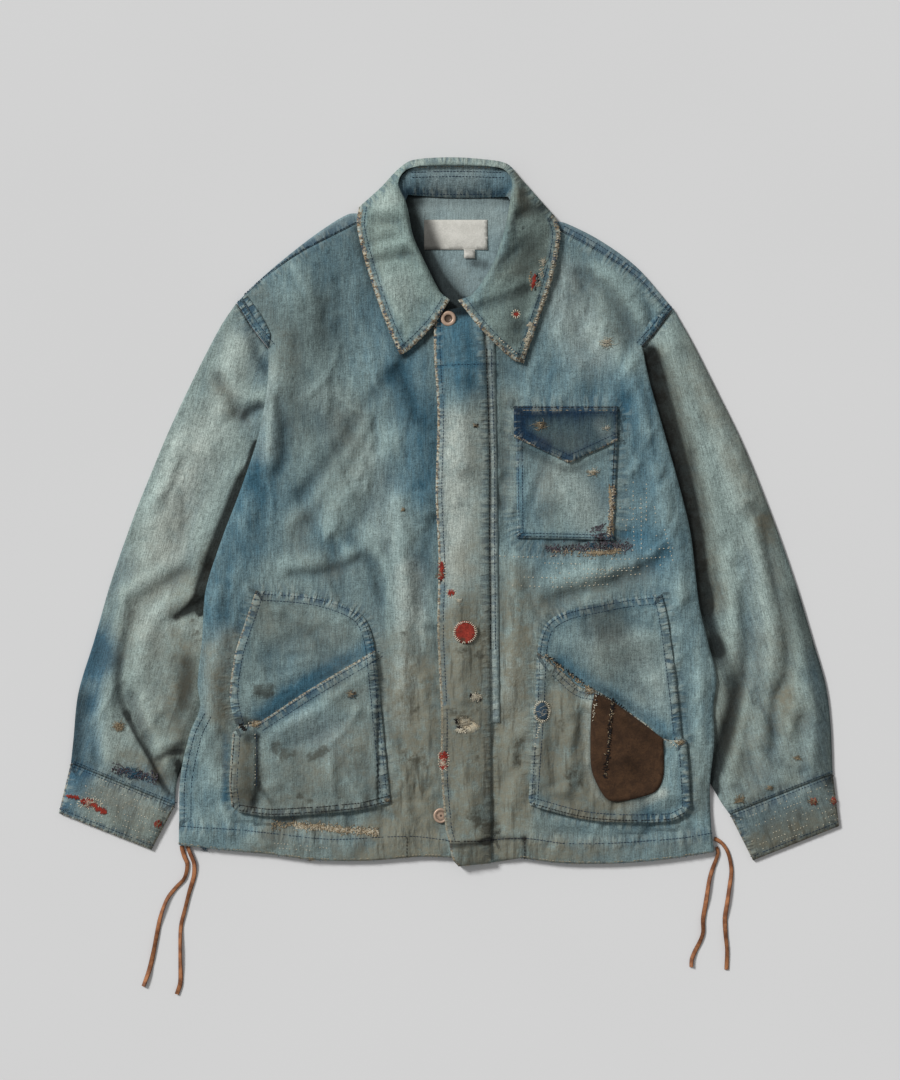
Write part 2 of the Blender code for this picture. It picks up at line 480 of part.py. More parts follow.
def loft_of(kind, points, region):
    """How far a sheet stands off what it lies on: least at its edges, most along its folds."""
    if kind == "stand":
        front = np.linalg.norm(points - metres(COLLAR_FRONT), axis=1)
        seam = np.min([distance(points, smooth(run)) for run in (NECK_BACK, NECK_LEFT, NECK_RIGHT)], axis=0)
        rise = STAND_RISE * np.exp(-(distance(points, smooth(ROLL_LINE)) / STAND_SPREAD)**2)
        return rise * np.minimum(front / STAND_FRONT_EASE, 1)**2 * np.minimum(seam / STAND_SEAM_EASE, 1)
    if kind == "collar":
        off_roll = distance(points, smooth(ROLL_LINE)) - COLLAR_ROLL_INSET
        rise = COLLAR_ROLL * np.exp(-(off_roll / COLLAR_ROLL_WIDTH)**2) + fold_height(points, COLLAR_FOLDS)
        from_fold = distance(points, smooth(COLLAR_SILHOUETTE))
        return np.minimum(from_fold / COLLAR_EASE, 1) * (COLLAR_LIFT + rise)
    from_edge = distance(points, closed(REGIONS[region]))
    if kind == "cuff":
        return np.minimum(from_edge / CUFF_EASE, 1) * SLEEVE_LOFT
    if kind == "body":
        rise = BODY_LOFT + fold_height(points, BODY_FOLDS)
    else:
        rise = SLEEVE_LOFT + fold_height(points, SLEEVE_FOLDS)
    ease = np.minimum(from_edge / BODY_EASE, 1)
    return ease**2 * (3 - 2 * ease) * np.clip(rise, 0, FOLD_LIMIT)


def neighbours(triangles):
    """Pairs of points that share an edge, and the pairs that lie on the boundary."""
    sides = np.concatenate([triangles[:, [0, 1]], triangles[:, [1, 2]], triangles[:, [2, 0]]])
    pairs, count = np.unique(np.sort(sides, axis=1), axis=0, return_counts=True)
    return pairs, pairs[count == 1]


def drape(target, triangles, rounds=3):
    """Let a sheet bridge the steps under it: hollows rise towards their neighbours, and nothing sinks."""
    pairs, rim = neighbours(triangles)
    on_rim = np.zeros(len(target), dtype=bool)
    on_rim[rim] = True
    height = target.copy()
    for _ in range(rounds):
        total, count = np.zeros(len(target)), np.zeros(len(target))
        for chosen in (pairs[~(on_rim[pairs[:, 0]] | on_rim[pairs[:, 1]])], rim):
            for a, b in (chosen.T, chosen.T[::-1]):
                np.add.at(total, a, height[b])
                np.add.at(count, a, 1)
        mixed = pairs[on_rim[pairs[:, 0]] != on_rim[pairs[:, 1]]]
        inner = np.where(on_rim[mixed[:, 0]], mixed[:, 1], mixed[:, 0])
        outer = mixed.sum(axis=1) - inner
        np.add.at(total, inner, height[outer])
        np.add.at(count, inner, 1)
        mean = np.divide(total, count, out=height.copy(), where=count > 0)
        height = np.maximum(target, (height + mean) / 2)
    return height


def lay_sheets(points, triangles, held):
    """Lay the sheets from the floor up. Gives each node's cells and its levels at every point."""
    top = np.zeros(len(points))
    nodes = {}
    for name, level, regions, wall, kind in SHEETS:
        cells = np.any([held[r] for r in regions], axis=0)
        for hole in HOLES.get(name, []):
            cells = cells & ~held[hole]
        used = np.unique(triangles[cells])
        rest = np.where(top > 0, top + SEAM_GAP, 0)
        if level is None:
            rest[used] = rest[used].max()
        elif kind:
            rest[used] += loft_of(kind, points[used], regions[0])
        if level is not None:
            rest = drape(rest, triangles[cells])
        node = nodes.setdefault(name, {"cells": {}, "levels": np.full((len(points), 4), np.nan)})
        node["cells"][level or 0] = cells
        first = 2 * (level or 0)
        node["levels"][used, first] = rest[used]
        node["levels"][used, first + 1] = rest[used] + wall
        top[used] = rest[used] + wall
    return nodes


def build_cloth(name, node, points, triangles, held):
    """Close a node's one or two sheets, and what joins them, into one solid."""
    lower = node["cells"].get(0, np.zeros(len(triangles), dtype=bool))
    upper = node["cells"].get(1, np.zeros(len(triangles), dtype=bool))
    join = np.zeros(len(triangles), dtype=bool)
    for strip in JOINS.get(name, []):
        join |= lower & upper & held[strip]
    filled = np.stack([lower, join, upper], axis=1)
    mesh = bmesh.new()
    corner = {}

    def at(point, level):
        key = (point, level)
        if key not in corner:
            x, y = points[point]
            corner[key] = mesh.verts.new((x, y, node["levels"][point, level]))
        return corner[key]

    sides = {}
    for cell in np.nonzero(filled.any(axis=1))[0]:
        a, b, c = (int(i) for i in triangles[cell])
        layers = [False, *filled[cell], False]
        for level in range(4):
            below, above = layers[level], layers[level + 1]
            if below and not above:
                mesh.faces.new([at(p, level) for p in (a, b, c)])
            elif above and not below:
                mesh.faces.new([at(p, level) for p in (c, b, a)])
        for p, q in ((a, b), (b, c), (c, a)):
            sides[p, q] = filled[cell]
    nothing = np.zeros(3, dtype=bool)
    for (p, q), mine in sides.items():
        other = sides.get((q, p), nothing)
        for layer in np.nonzero(mine & ~other)[0]:
            mesh.faces.new([at(p, layer), at(q, layer), at(q, layer + 1), at(p, layer + 1)])
    mesh.normal_update()
    bmesh.ops.dissolve_limit(mesh, angle_limit=FLAT_ANGLE, verts=mesh.verts, edges=mesh.edges)
    bmesh.ops.triangulate(mesh, faces=mesh.faces)
    return new_object(name, mesh, NODE_FINISH.get(name, "denim"))


def finish(name):
    colour, roughness, metallic = FINISHES[name]
    material = bpy.data.materials.get(name) or bpy.data.materials.new(name)
    material.use_nodes = True
    shader = material.node_tree.nodes["Principled BSDF"]
    shader.inputs["Base Color"].default_value = (*colour, 1)
    shader.inputs["Roughness"].default_value = roughness
    shader.inputs["Metallic"].default_value = metallic
    return material


def new_object(name, mesh, finish_name):
    data = bpy.data.meshes.new(name)
    mesh.to_mesh(data)
    mesh.free()
    data.materials.append(finish(finish_name))
    part = bpy.data.objects.new(name, data)
    bpy.context.scene.collection.objects.link(part)
    return part


def build_button(name, centre_px, base, profile):
    """Turn a button from its profile, a point at the axis for each radius of 0 and a ring for any other."""
    mesh = bmesh.new()
    rings = []
    x, y = metres(centre_px)
    for radius, height in profile:
        sides = BUTTON_SIDES if radius else 1
        turns = [2 * pi * i / sides for i in range(sides)]
        spots = [(x + radius * cos(t), y + radius * sin(t), base + height) for t in turns]
        rings.append([mesh.verts.new(spot) for spot in spots])
    for ring, following in zip(rings, rings[1:]):
        for i in range(BUTTON_SIDES):
            j = (i + 1) % BUTTON_SIDES
            corners = [ring[i % len(ring)], ring[j % len(ring)]]
            corners += [following[j % len(following)], following[i % len(following)]]
            mesh.faces.new(list(dict.fromkeys(corners)))
    part = new_object(name, mesh, "brass")
    part.data.shade_smooth()
    part.data.set_sharp_from_angle(angle=BUTTON_SHARP_ANGLE)
    return part


def build_lace(name, route):
    """A plain tube along one free end of a lace, lying on what the jacket lies on."""
    line = smooth(route, LACE_STEP)
    curve = bpy.data.curves.new(name, "CURVE")
    curve.dimensions = "3D"
    spline = curve.splines.new("POLY")
    spline.points.add(len(line) - 1)
    for point, (x, y) in zip(spline.points, line):
        point.co = (x, y, LACE_WIDTH / 2 + SEAM_GAP / 3, 1)
    curve.bevel_depth = LACE_WIDTH / 2
    curve.bevel_resolution = 2
    curve.use_fill_caps = True
    curve.materials.append(finish("leather"))
    bpy.context.scene.collection.objects.link(bpy.data.objects.new(name, curve))


def clear_scene():
    for item in list(bpy.data.objects):
        bpy.data.objects.remove(item)


def main():
    clear_scene()
    points, triangles = make_plan()
    held = sort_triangles(points, triangles)
    for name, node in lay_sheets(points, triangles, held).items():
        if name in BUTTONS:
            centre, profile = BUTTONS[name]
            build_button(name, centre, np.nanmin(node["levels"]), profile)
        else:
            build_cloth(name, node, points, triangles, held)
    for name, route in LACES.items():
        build_lace(name, route)


main()
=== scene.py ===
"""Looks of the patched denim work jacket, laid flat on its back with its front up.

The cloth is laid as on a table: one fine plan of the whole jacket is cut into triangles along every outline,
and each sheet is laid on the sheets below it. Creases, puckered seams, fading, stains, painted shade and
highlights, stitches, darns and frays are then placed along lines that are given in the photograph's pixels.
The wearer's right is at -X, the neck is at +Y and the front faces +Z. Sizes are in metres.
"""
from functools import cache
from math import cos, hypot, pi, radians, sin, sqrt

import bpy
import numpy as np
from bpy.props import FloatProperty, FloatVectorProperty, IntProperty, PointerProperty
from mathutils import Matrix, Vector
from mathutils.bvhtree import BVHTree
from mathutils.geometry import delaunay_2d_cdt
from mathutils.kdtree import KDTree


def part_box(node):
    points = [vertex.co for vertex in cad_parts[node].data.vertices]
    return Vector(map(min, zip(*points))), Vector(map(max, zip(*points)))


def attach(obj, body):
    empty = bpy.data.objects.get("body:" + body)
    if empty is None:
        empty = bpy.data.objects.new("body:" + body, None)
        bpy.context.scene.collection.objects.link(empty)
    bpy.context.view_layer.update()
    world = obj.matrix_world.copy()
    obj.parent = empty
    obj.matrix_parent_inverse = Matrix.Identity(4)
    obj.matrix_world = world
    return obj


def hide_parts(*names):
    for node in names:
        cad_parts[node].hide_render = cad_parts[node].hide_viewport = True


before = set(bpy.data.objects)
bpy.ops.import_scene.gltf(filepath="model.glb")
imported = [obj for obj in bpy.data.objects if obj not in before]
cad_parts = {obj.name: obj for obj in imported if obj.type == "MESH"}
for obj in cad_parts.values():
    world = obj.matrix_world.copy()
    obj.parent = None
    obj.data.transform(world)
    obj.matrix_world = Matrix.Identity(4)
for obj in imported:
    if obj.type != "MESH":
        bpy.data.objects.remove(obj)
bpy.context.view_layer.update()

bl_info = {
    "name": "Patched denim jacket",
    "version": (1, 0, 0),
    "blender": (4, 5, 0),
    "location": "3D View > Sidebar > Jacket",
    "description": "Builds a worn, darned and patched denim work jacket laid flat",
    "category": "Object",
}

# The photograph's frame: the back's length in pixels sets the scale, and the centre is the jacket's
BACK_LENGTH = 0.700
BACK_LENGTH_PX = 667.0
CENTRE_PX = (448.95, 511.5)
PHOTO_PX = (900, 1080)
PIXEL = BACK_LENGTH / BACK_LENGTH_PX
SAME_POINT = PIXEL / 20
MILLIMETRE = 0.001
TINY = 1e-9

# How finely the cloth is cut and how far it is smoothed. A line beside another keeps the points that are at
# least this share of its offset away
PLAN_STEP = 0.0035
LATTICE_CLEARANCE = 0.6 * PLAN_STEP
SEAM_STEP = 0.006
COARSE_STEP = 0.012
DRAPE_ROUNDS = 40
BESIDE_SHARE = 0.95

# Cloth
CLOTH = 0.0015
COLLAR_CLOTH = 0.0018
PATCH_CLOTH = 0.0011
LABEL_CLOTH = 0.0010
SEAM_GAP = 0.0003
CREASE_GAP = 0.00005
FOLDED_EDGE = 0.0024
FOLD_OVERRUN = 0.003
EDGE_ROUNDING = 0.0005
SLEEVE_TURN = radians(15)

# How far each kind of sheet stands off what it lies on, and how wide the slope at its edges is
POCKET_LOFT = 0.0008
BODY_LOFT = 0.0030
SLEEVE_LOFT = 0.0036
BODY_EASE = 0.022
CUFF_EASE = 0.011
COLLAR_EASE = 0.020
LOFTS = {"body": (BODY_LOFT, BODY_EASE), "sleeve": (SLEEVE_LOFT, BODY_EASE), "cuff": (SLEEVE_LOFT, CUFF_EASE),
         "pocket": (POCKET_LOFT, CUFF_EASE)}
STAND_RISE = 0.0090
STAND_SPREAD = 0.0125
STAND_FRONT_EASE = 0.055
STAND_SEAM_EASE = 0.009
COLLAR_LIFT = 0.0024
COLLAR_ROLL = 0.0024
COLLAR_ROLL_INSET = 0.008
COLLAR_ROLL_WIDTH = 0.009

# Folds, short creases and soft hills: creases have half lengths and half widths in pixels and heights in
# millimetres, and a fold ends at a few times its half width
FOLD_SCALE = 1.2
FOLD_LIMIT = 0.0090
FOLD_FADE = 0.6
FOLD_END = 3
CREASE_SEED = 41
CREASE_REACH = (9, 34)
CREASE_BEND = 4
CREASE_RISE = (0.4, 1.3)
CREASE_WIDTH = (2.8, 6.0)
RUMPLE_WAVES = 14
RUMPLE_SPREAD = (0.7, 1.6)

# Turned-in edges that are stitched down: how much thicker the doubled band is, and its slope
TURNED_RISE = 0.0007
TURNED_EASE = 0.0035

# Paint: a stroke is whole up to the first share of its half width and gone at the second
STROKE_CORE = 0.2
STROKE_END = 1.7
SEAM_DYE = 0.24
SEAM_DYE_REACH_PX = 5
PUCKER_REACH = 0.010
TWILL_PITCH = 0.0011

# Buttons and laces
BUTTON_RADIUS = 0.0080
BUTTON_HEIGHT = 0.0032
BUTTON_SIDES = 64
LACE_WIDTH = 0.005
LACE_THICKNESS = 0.0014
LACE_STEP = 0.004
LACE_TWIST = radians(28)
LACE_TWIST_WAVES = (55, 75)
LACE_NARROWING = 0.08
LACE_NARROWING_WAVE = 41

# Threads: they lie a little off the cloth, and nothing goes below the lowest level
THREAD_GAP = 0.0001
LOWEST = 0.0001
RING_SIDES = 24
STITCH_LIFT = 0.2
STITCH_LENGTHS = (0.75, 1.15)
STITCH_INPUTS = (("Lines", "Geometry"), ("Pitch", "Float"), ("Length", "Float"), ("Width", "Float"),
                 ("Height", "Float"), ("Turn", "Float"), ("Jitter", "Float"), ("Worn away", "Float"),
                 ("Seed", "Int"), ("Thread", "Material"))
YARN_END = 0.45
DARN_SPACING = 1.05
DARN_RAGGED = (0.55, 1.25)
DARN_SLANT = 0.0003
DARN_RISE = 0.0004
LOOP_REACH = (0.0006, 0.0016)
LOOP_RISE = 0.0006
TUFT_RISE = (0.0003, 0.0012)
FRINGE_ROOT = 0.0006
FRINGE_LIFT = 0.0003
FRINGE_LOWEST = 0.0004
FRINGE_DROP = 0.0012
SCRAP_CLOTH = 0.0007
SCRAP_DOME = 0.0002
SCRAP_RINGS = 5
SCRAP_SIDES = 28

# Materials: shine of cloth and metal, and where a colour mix node takes its share and its two colours
CLOTH_SHINE = 0.18
METAL_SHINE = 0.5
COLOUR_MIX_INPUTS = (0, 6, 7)

# The studio: the camera looks straight down, and its lens takes in the photograph's frame
FLOOR_HALF = 12.0
FLOOR_LEVEL = -0.0002
CAMERA_HEIGHT = 3.0
CAMERA_PLANE = 0.006
CAMERA_CENTRE = (0.0011, -0.0299)
SENSOR = 36.0
KEY_PLACE = Vector((-1.75, 1.45, 1.75))
KEY_SPREAD = radians(16)

# Runs of the outlines in photo pixels, each a smooth curve through its points
NECK_BACK = [(408, 195), (455, 197.5), (508, 197)]
SHOULDER_RIGHT = [(397, 192), (383, 200), (368, 212.5), (348, 214), (317, 233), (281, 261), (258, 281),
                  (236.6, 302.5)]
SHOULDER_LEFT = [(518, 192), (531, 202), (546, 218), (566, 223), (600, 240), (637, 267), (672.7, 308)]
SHOULDER_SEAM_RIGHT = [(392, 204), (356, 224), (309, 248), (284, 263.5), (262, 280.5), (246, 294.5)]
SHOULDER_SEAM_LEFT = [(521, 206), (562, 232), (597, 251), (636, 278), (668, 311)]
SHOULDER_END_RIGHT = [(236.6, 302.5), (246, 294.5)]
SHOULDER_END_LEFT = [(672.7, 308), (668, 311)]
ARMHOLE_RIGHT = [(236.6, 302.5), (252, 327), (268.5, 348)]
ARMHOLE_LEFT = [(672.7, 308), (657, 329), (642, 346)]
SIDE_RIGHT = [(268.5, 348), (268, 380), (260, 430), (244, 481), (221, 542), (206, 591), (202.5, 640),
              (198, 683), (200, 708), (190, 733), (180, 779), (179, 826)]
SIDE_LEFT = [(642, 346), (649, 380), (665, 436), (683, 501), (691, 537), (699, 605), (708, 643), (716, 678),
             (713, 706), (714, 741), (710, 784), (711.5, 833)]
SIDE_STRIP = [(200, 712), *SIDE_RIGHT[9:]]
HEM_SIDE_RIGHT = [(179, 826), (178.8, 845)]
HEM_SIDE_LEFT = [(711.5, 833), (714.5, 852)]
HEM_RIGHT = [(178.8, 845), (223, 850), (267, 854), (314, 860), (368, 860.6), (420, 856.7), (452, 857.5)]
HEM_UNDERLAP = [(452, 857.5), (481, 860)]
HEM_MIDDLE = [(481, 860), (521, 858)]
HEM_CORNER = [(458.5, 866), (491, 863), (521, 858)]
HEM_LEFT = [(521, 858), (560, 863), (609, 863.6), (660, 860), (714.5, 852)]
HEM_LINE_RIGHT = [(179, 826), (245, 830), (298, 836), (338, 839), (407, 836), (449, 840)]
HEM_LINE_MIDDLE = [(449, 840), (481, 840)]
HEM_LINE_LEFT = [(481, 840), (525, 838), (565, 843), (619, 842.4), (678, 838), (711.5, 833)]
NECK_RIGHT = [(392, 204), (390, 226), (396, 250), (407, 273), (426, 295), (446, 307)]
NECK_LEFT = [(521, 206), (523, 226), (516, 252), (505, 275), (481, 302)]
NECK_LEFT_FRONT = [(481, 302), (458, 308), (434.5, 311)]
UNDERLAP_TOP = [(446, 307), (481, 318)]
UNDERLAP_EDGE = [[(481, 318), (481, 722.5)], [(481, 722.5), (481, 840)], [(481, 840), (481, 860)]]
PLACKET_EDGE = [(434.5, 311), (434, 351), (437.5, 416), (435.7, 494), (438.6, 562), (437.3, 630), (441, 713),
                (441, 770), (445.5, 828), (449, 840)]
PLACKET_CORNER = [(449, 840), (452, 857.5), (458.5, 866)]
PLACKET_SEAM = [(481, 302), (486, 366), (489, 459), (489, 540), (490, 648), (491, 740), (491, 863)]
FACING_BAND = [(481, 318), (495, 336), (498, 540), (500, 722.5), (481, 722.5)]
TORN_HOLE = [(458.5, 717), (466, 717), (474, 722), (478.5, 725.5), (472, 730), (466, 731), (460, 725)]

SLEEVE_RIGHT_OUTER = [(235.9, 303.1), (220, 327), (192.6, 380), (169, 430), (151, 473), (133, 518),
                      (111, 581), (94, 640), (78, 693), (73, 740), (70.5, 763.2)]
SLEEVE_RIGHT_INNER = [(267.8, 348.9), (284, 358), (293, 382), (286, 430), (252, 540), (232, 650), (216, 700),
                      (192, 745), (177, 780), (174.3, 805.3)]
SLEEVE_LEFT_OUTER = [(673.5, 308.6), (693, 343), (716.7, 390), (744, 446), (774, 521), (797, 587),
                     (813, 640), (826, 685), (831, 725), (833, 774.1)]
SLEEVE_LEFT_INNER = [(642.6, 346.8), (630, 358), (620, 385), (622, 440), (650, 560), (673, 660), (702, 765),
                     (720, 800), (730.1, 814.5)]
CUFF_RIGHT = [(70.4, 763.7), (58.5, 813.4), (151, 850), (174.5, 805.8)]
CUFF_LEFT = [(833.1, 774.6), (839.4, 826.3), (753.4, 860.6), (730.4, 815.0)]

COLLAR_SILHOUETTE = [(359, 207), (381, 187), (397, 170), (412, 160), (448, 157), (484, 159), (507, 163.5),
                     (520, 177), (532, 190.5), (555, 216.5)]
COLLAR_BEHIND = [(555, 216.5), (510, 233), (457, 239), (405, 231), (359, 207)]
LEAF_RIGHT_OUTER = [(359, 207), (357, 226), (365, 261), (382, 313), (400, 355)]
LEAF_RIGHT_LOWER = [(400, 355), (408, 351), (434, 325), (450, 300)]
LEAF_LEFT_OUTER = [(555, 216.5), (560, 235), (552, 278), (537, 324), (523, 363)]
LEAF_LEFT_LOWER = [(523, 363), (512, 359), (482, 331), (458, 300.5)]
ROLL_LINE = [(450, 300), (440, 291.5), (423.5, 259), (413, 235), (407, 206), (398.5, 184), (409, 169.5),
             (448, 166.5), (500, 169), (511, 180), (510, 201), (503, 235), (491, 267), (472.5, 294),
             (458, 300.5)]
COLLAR_FRONT = (454, 300.5)
STAND_ROLL_RIGHT = [(447, 301.5), (437, 292), (420.5, 260), (410, 236), (404, 208), (408, 195)]
STAND_ROLL_LEFT = [(508, 197), (512.5, 208), (506, 236), (494, 268), (475, 296.5), (461, 303)]
STAND_TOP = [(521, 206), (518, 188), (504, 171), (455, 163), (414, 168), (397, 184), (392, 204)]

BAND_RIGHT_INNER = [(268.5, 348), (270, 334), (261, 315), (246, 294.5)]
BAND_LEFT_INNER = [(642, 346), (644, 333), (652, 319), (668, 311)]
CHEST_POCKET = [(515.5, 412), (517, 538), (613, 540), (617, 446), (615.5, 412)]
CHEST_DARN = [(613.7, 486), (612, 510), (608.5, 537)]
CHEST_FLAP = [(513.5, 406), (514, 437), (569, 463), (616.8, 441), (617.4, 406)]
HAND_POCKET_RIGHT = [[(256, 590.5), (310, 595), (345, 605), (365, 619), (374.5, 647), (382, 718),
                      (390.3, 800)],
                     [(390.3, 803), (358, 810), (314, 814), (271, 816), (240, 812)],
                     [(232, 806), (229.6, 783.5), (233, 732)],
                     [(236, 727), (230, 696.5), (235, 655), (243, 629), (256, 590.5)]]
POCKET_FOOT = [(272, 824), (300, 825), (340, 829), (378, 832)]
HAND_OPENING_RIGHT = [(230, 730.5), (241, 725.5), (259, 722), (310, 689), (377, 649)]
HAND_POCKET_LEFT = [[(661, 594), (626.5, 598), (595, 604), (567, 610.5), (546, 624), (537.6, 649),
                     (534.6, 708), (528.5, 798)],
                    [(530, 805), (579, 818), (619, 822), (670, 821), (684, 815)],
                    [(690, 805), (688, 768), (686, 741)],
                    [(682, 738), (676.6, 689), (667, 619), (661, 594)]]
HAND_OPENING_LEFT = [(535, 650), (559, 669), (579, 686.6), (597, 690.6), (622.6, 708), (644, 722),
                     (664, 738.5), (690, 739)]
BROWN_PATCH = [[(594, 692.5), (610, 699.5), (640, 721), (663, 738.5)],
               [(663, 738.5), (663, 774), (656, 790), (638, 797), (617, 801), (605, 797), (592, 772),
                (590, 745), (591, 708), (594, 692.5)]]
PATCH_TEAR = [(612.7, 699), (610, 720), (608, 745), (605, 777)]
RED_PATCH_CENTRE = (465.3, 632)
RED_PATCH_RADIUS_PX = 11.5
NECK_LABEL = [(424, 219.6), (487.5, 219.6), (487.5, 249.4), (424, 249.4)]
SIZE_TAB = [(464, 249), (475, 249), (475, 258), (464, 258)]
TOP_BUTTON_PX = (448.3, 319)
BOTTOM_BUTTON_PX = (441, 815.4)

LACES = {
    "lace_right_a": [(181.4, 846.0), (181.9, 850), (184, 857), (187, 865), (184.2, 878.4), (176, 887.6),
                     (167.6, 898), (162.4, 909.8), (159, 921.6), (153.3, 951.6), (149, 970), (143, 987)],
    "lace_right_b": [(187.6, 846.7), (188.4, 850.5), (191.2, 857), (193.9, 865), (193.5, 877),
                     (189.2, 891.5), (184.6, 909.8), (180.7, 925.5), (179.8, 938.6), (179.8, 956.9),
                     (180, 983), (176.5, 994.8)],
    "lace_left_a": [(717, 847.5), (718.5, 853), (716.5, 860), (712.7, 870.2), (709.5, 881.6), (705.7, 907),
                    (703.4, 920), (703.4, 932.7), (700.6, 941.6), (694.9, 953), (692, 960.7),
                    (691.7, 967.7)],
    "lace_left_b": [(714.6, 839.0), (717.6, 840.2), (722.3, 843.6), (727.4, 851), (730.6, 861.2),
                    (731.9, 872.7), (730, 886.7), (727.4, 904.6), (725.5, 918.6), (725.9, 934),
                    (727.4, 950.5), (727, 970.3)],
}

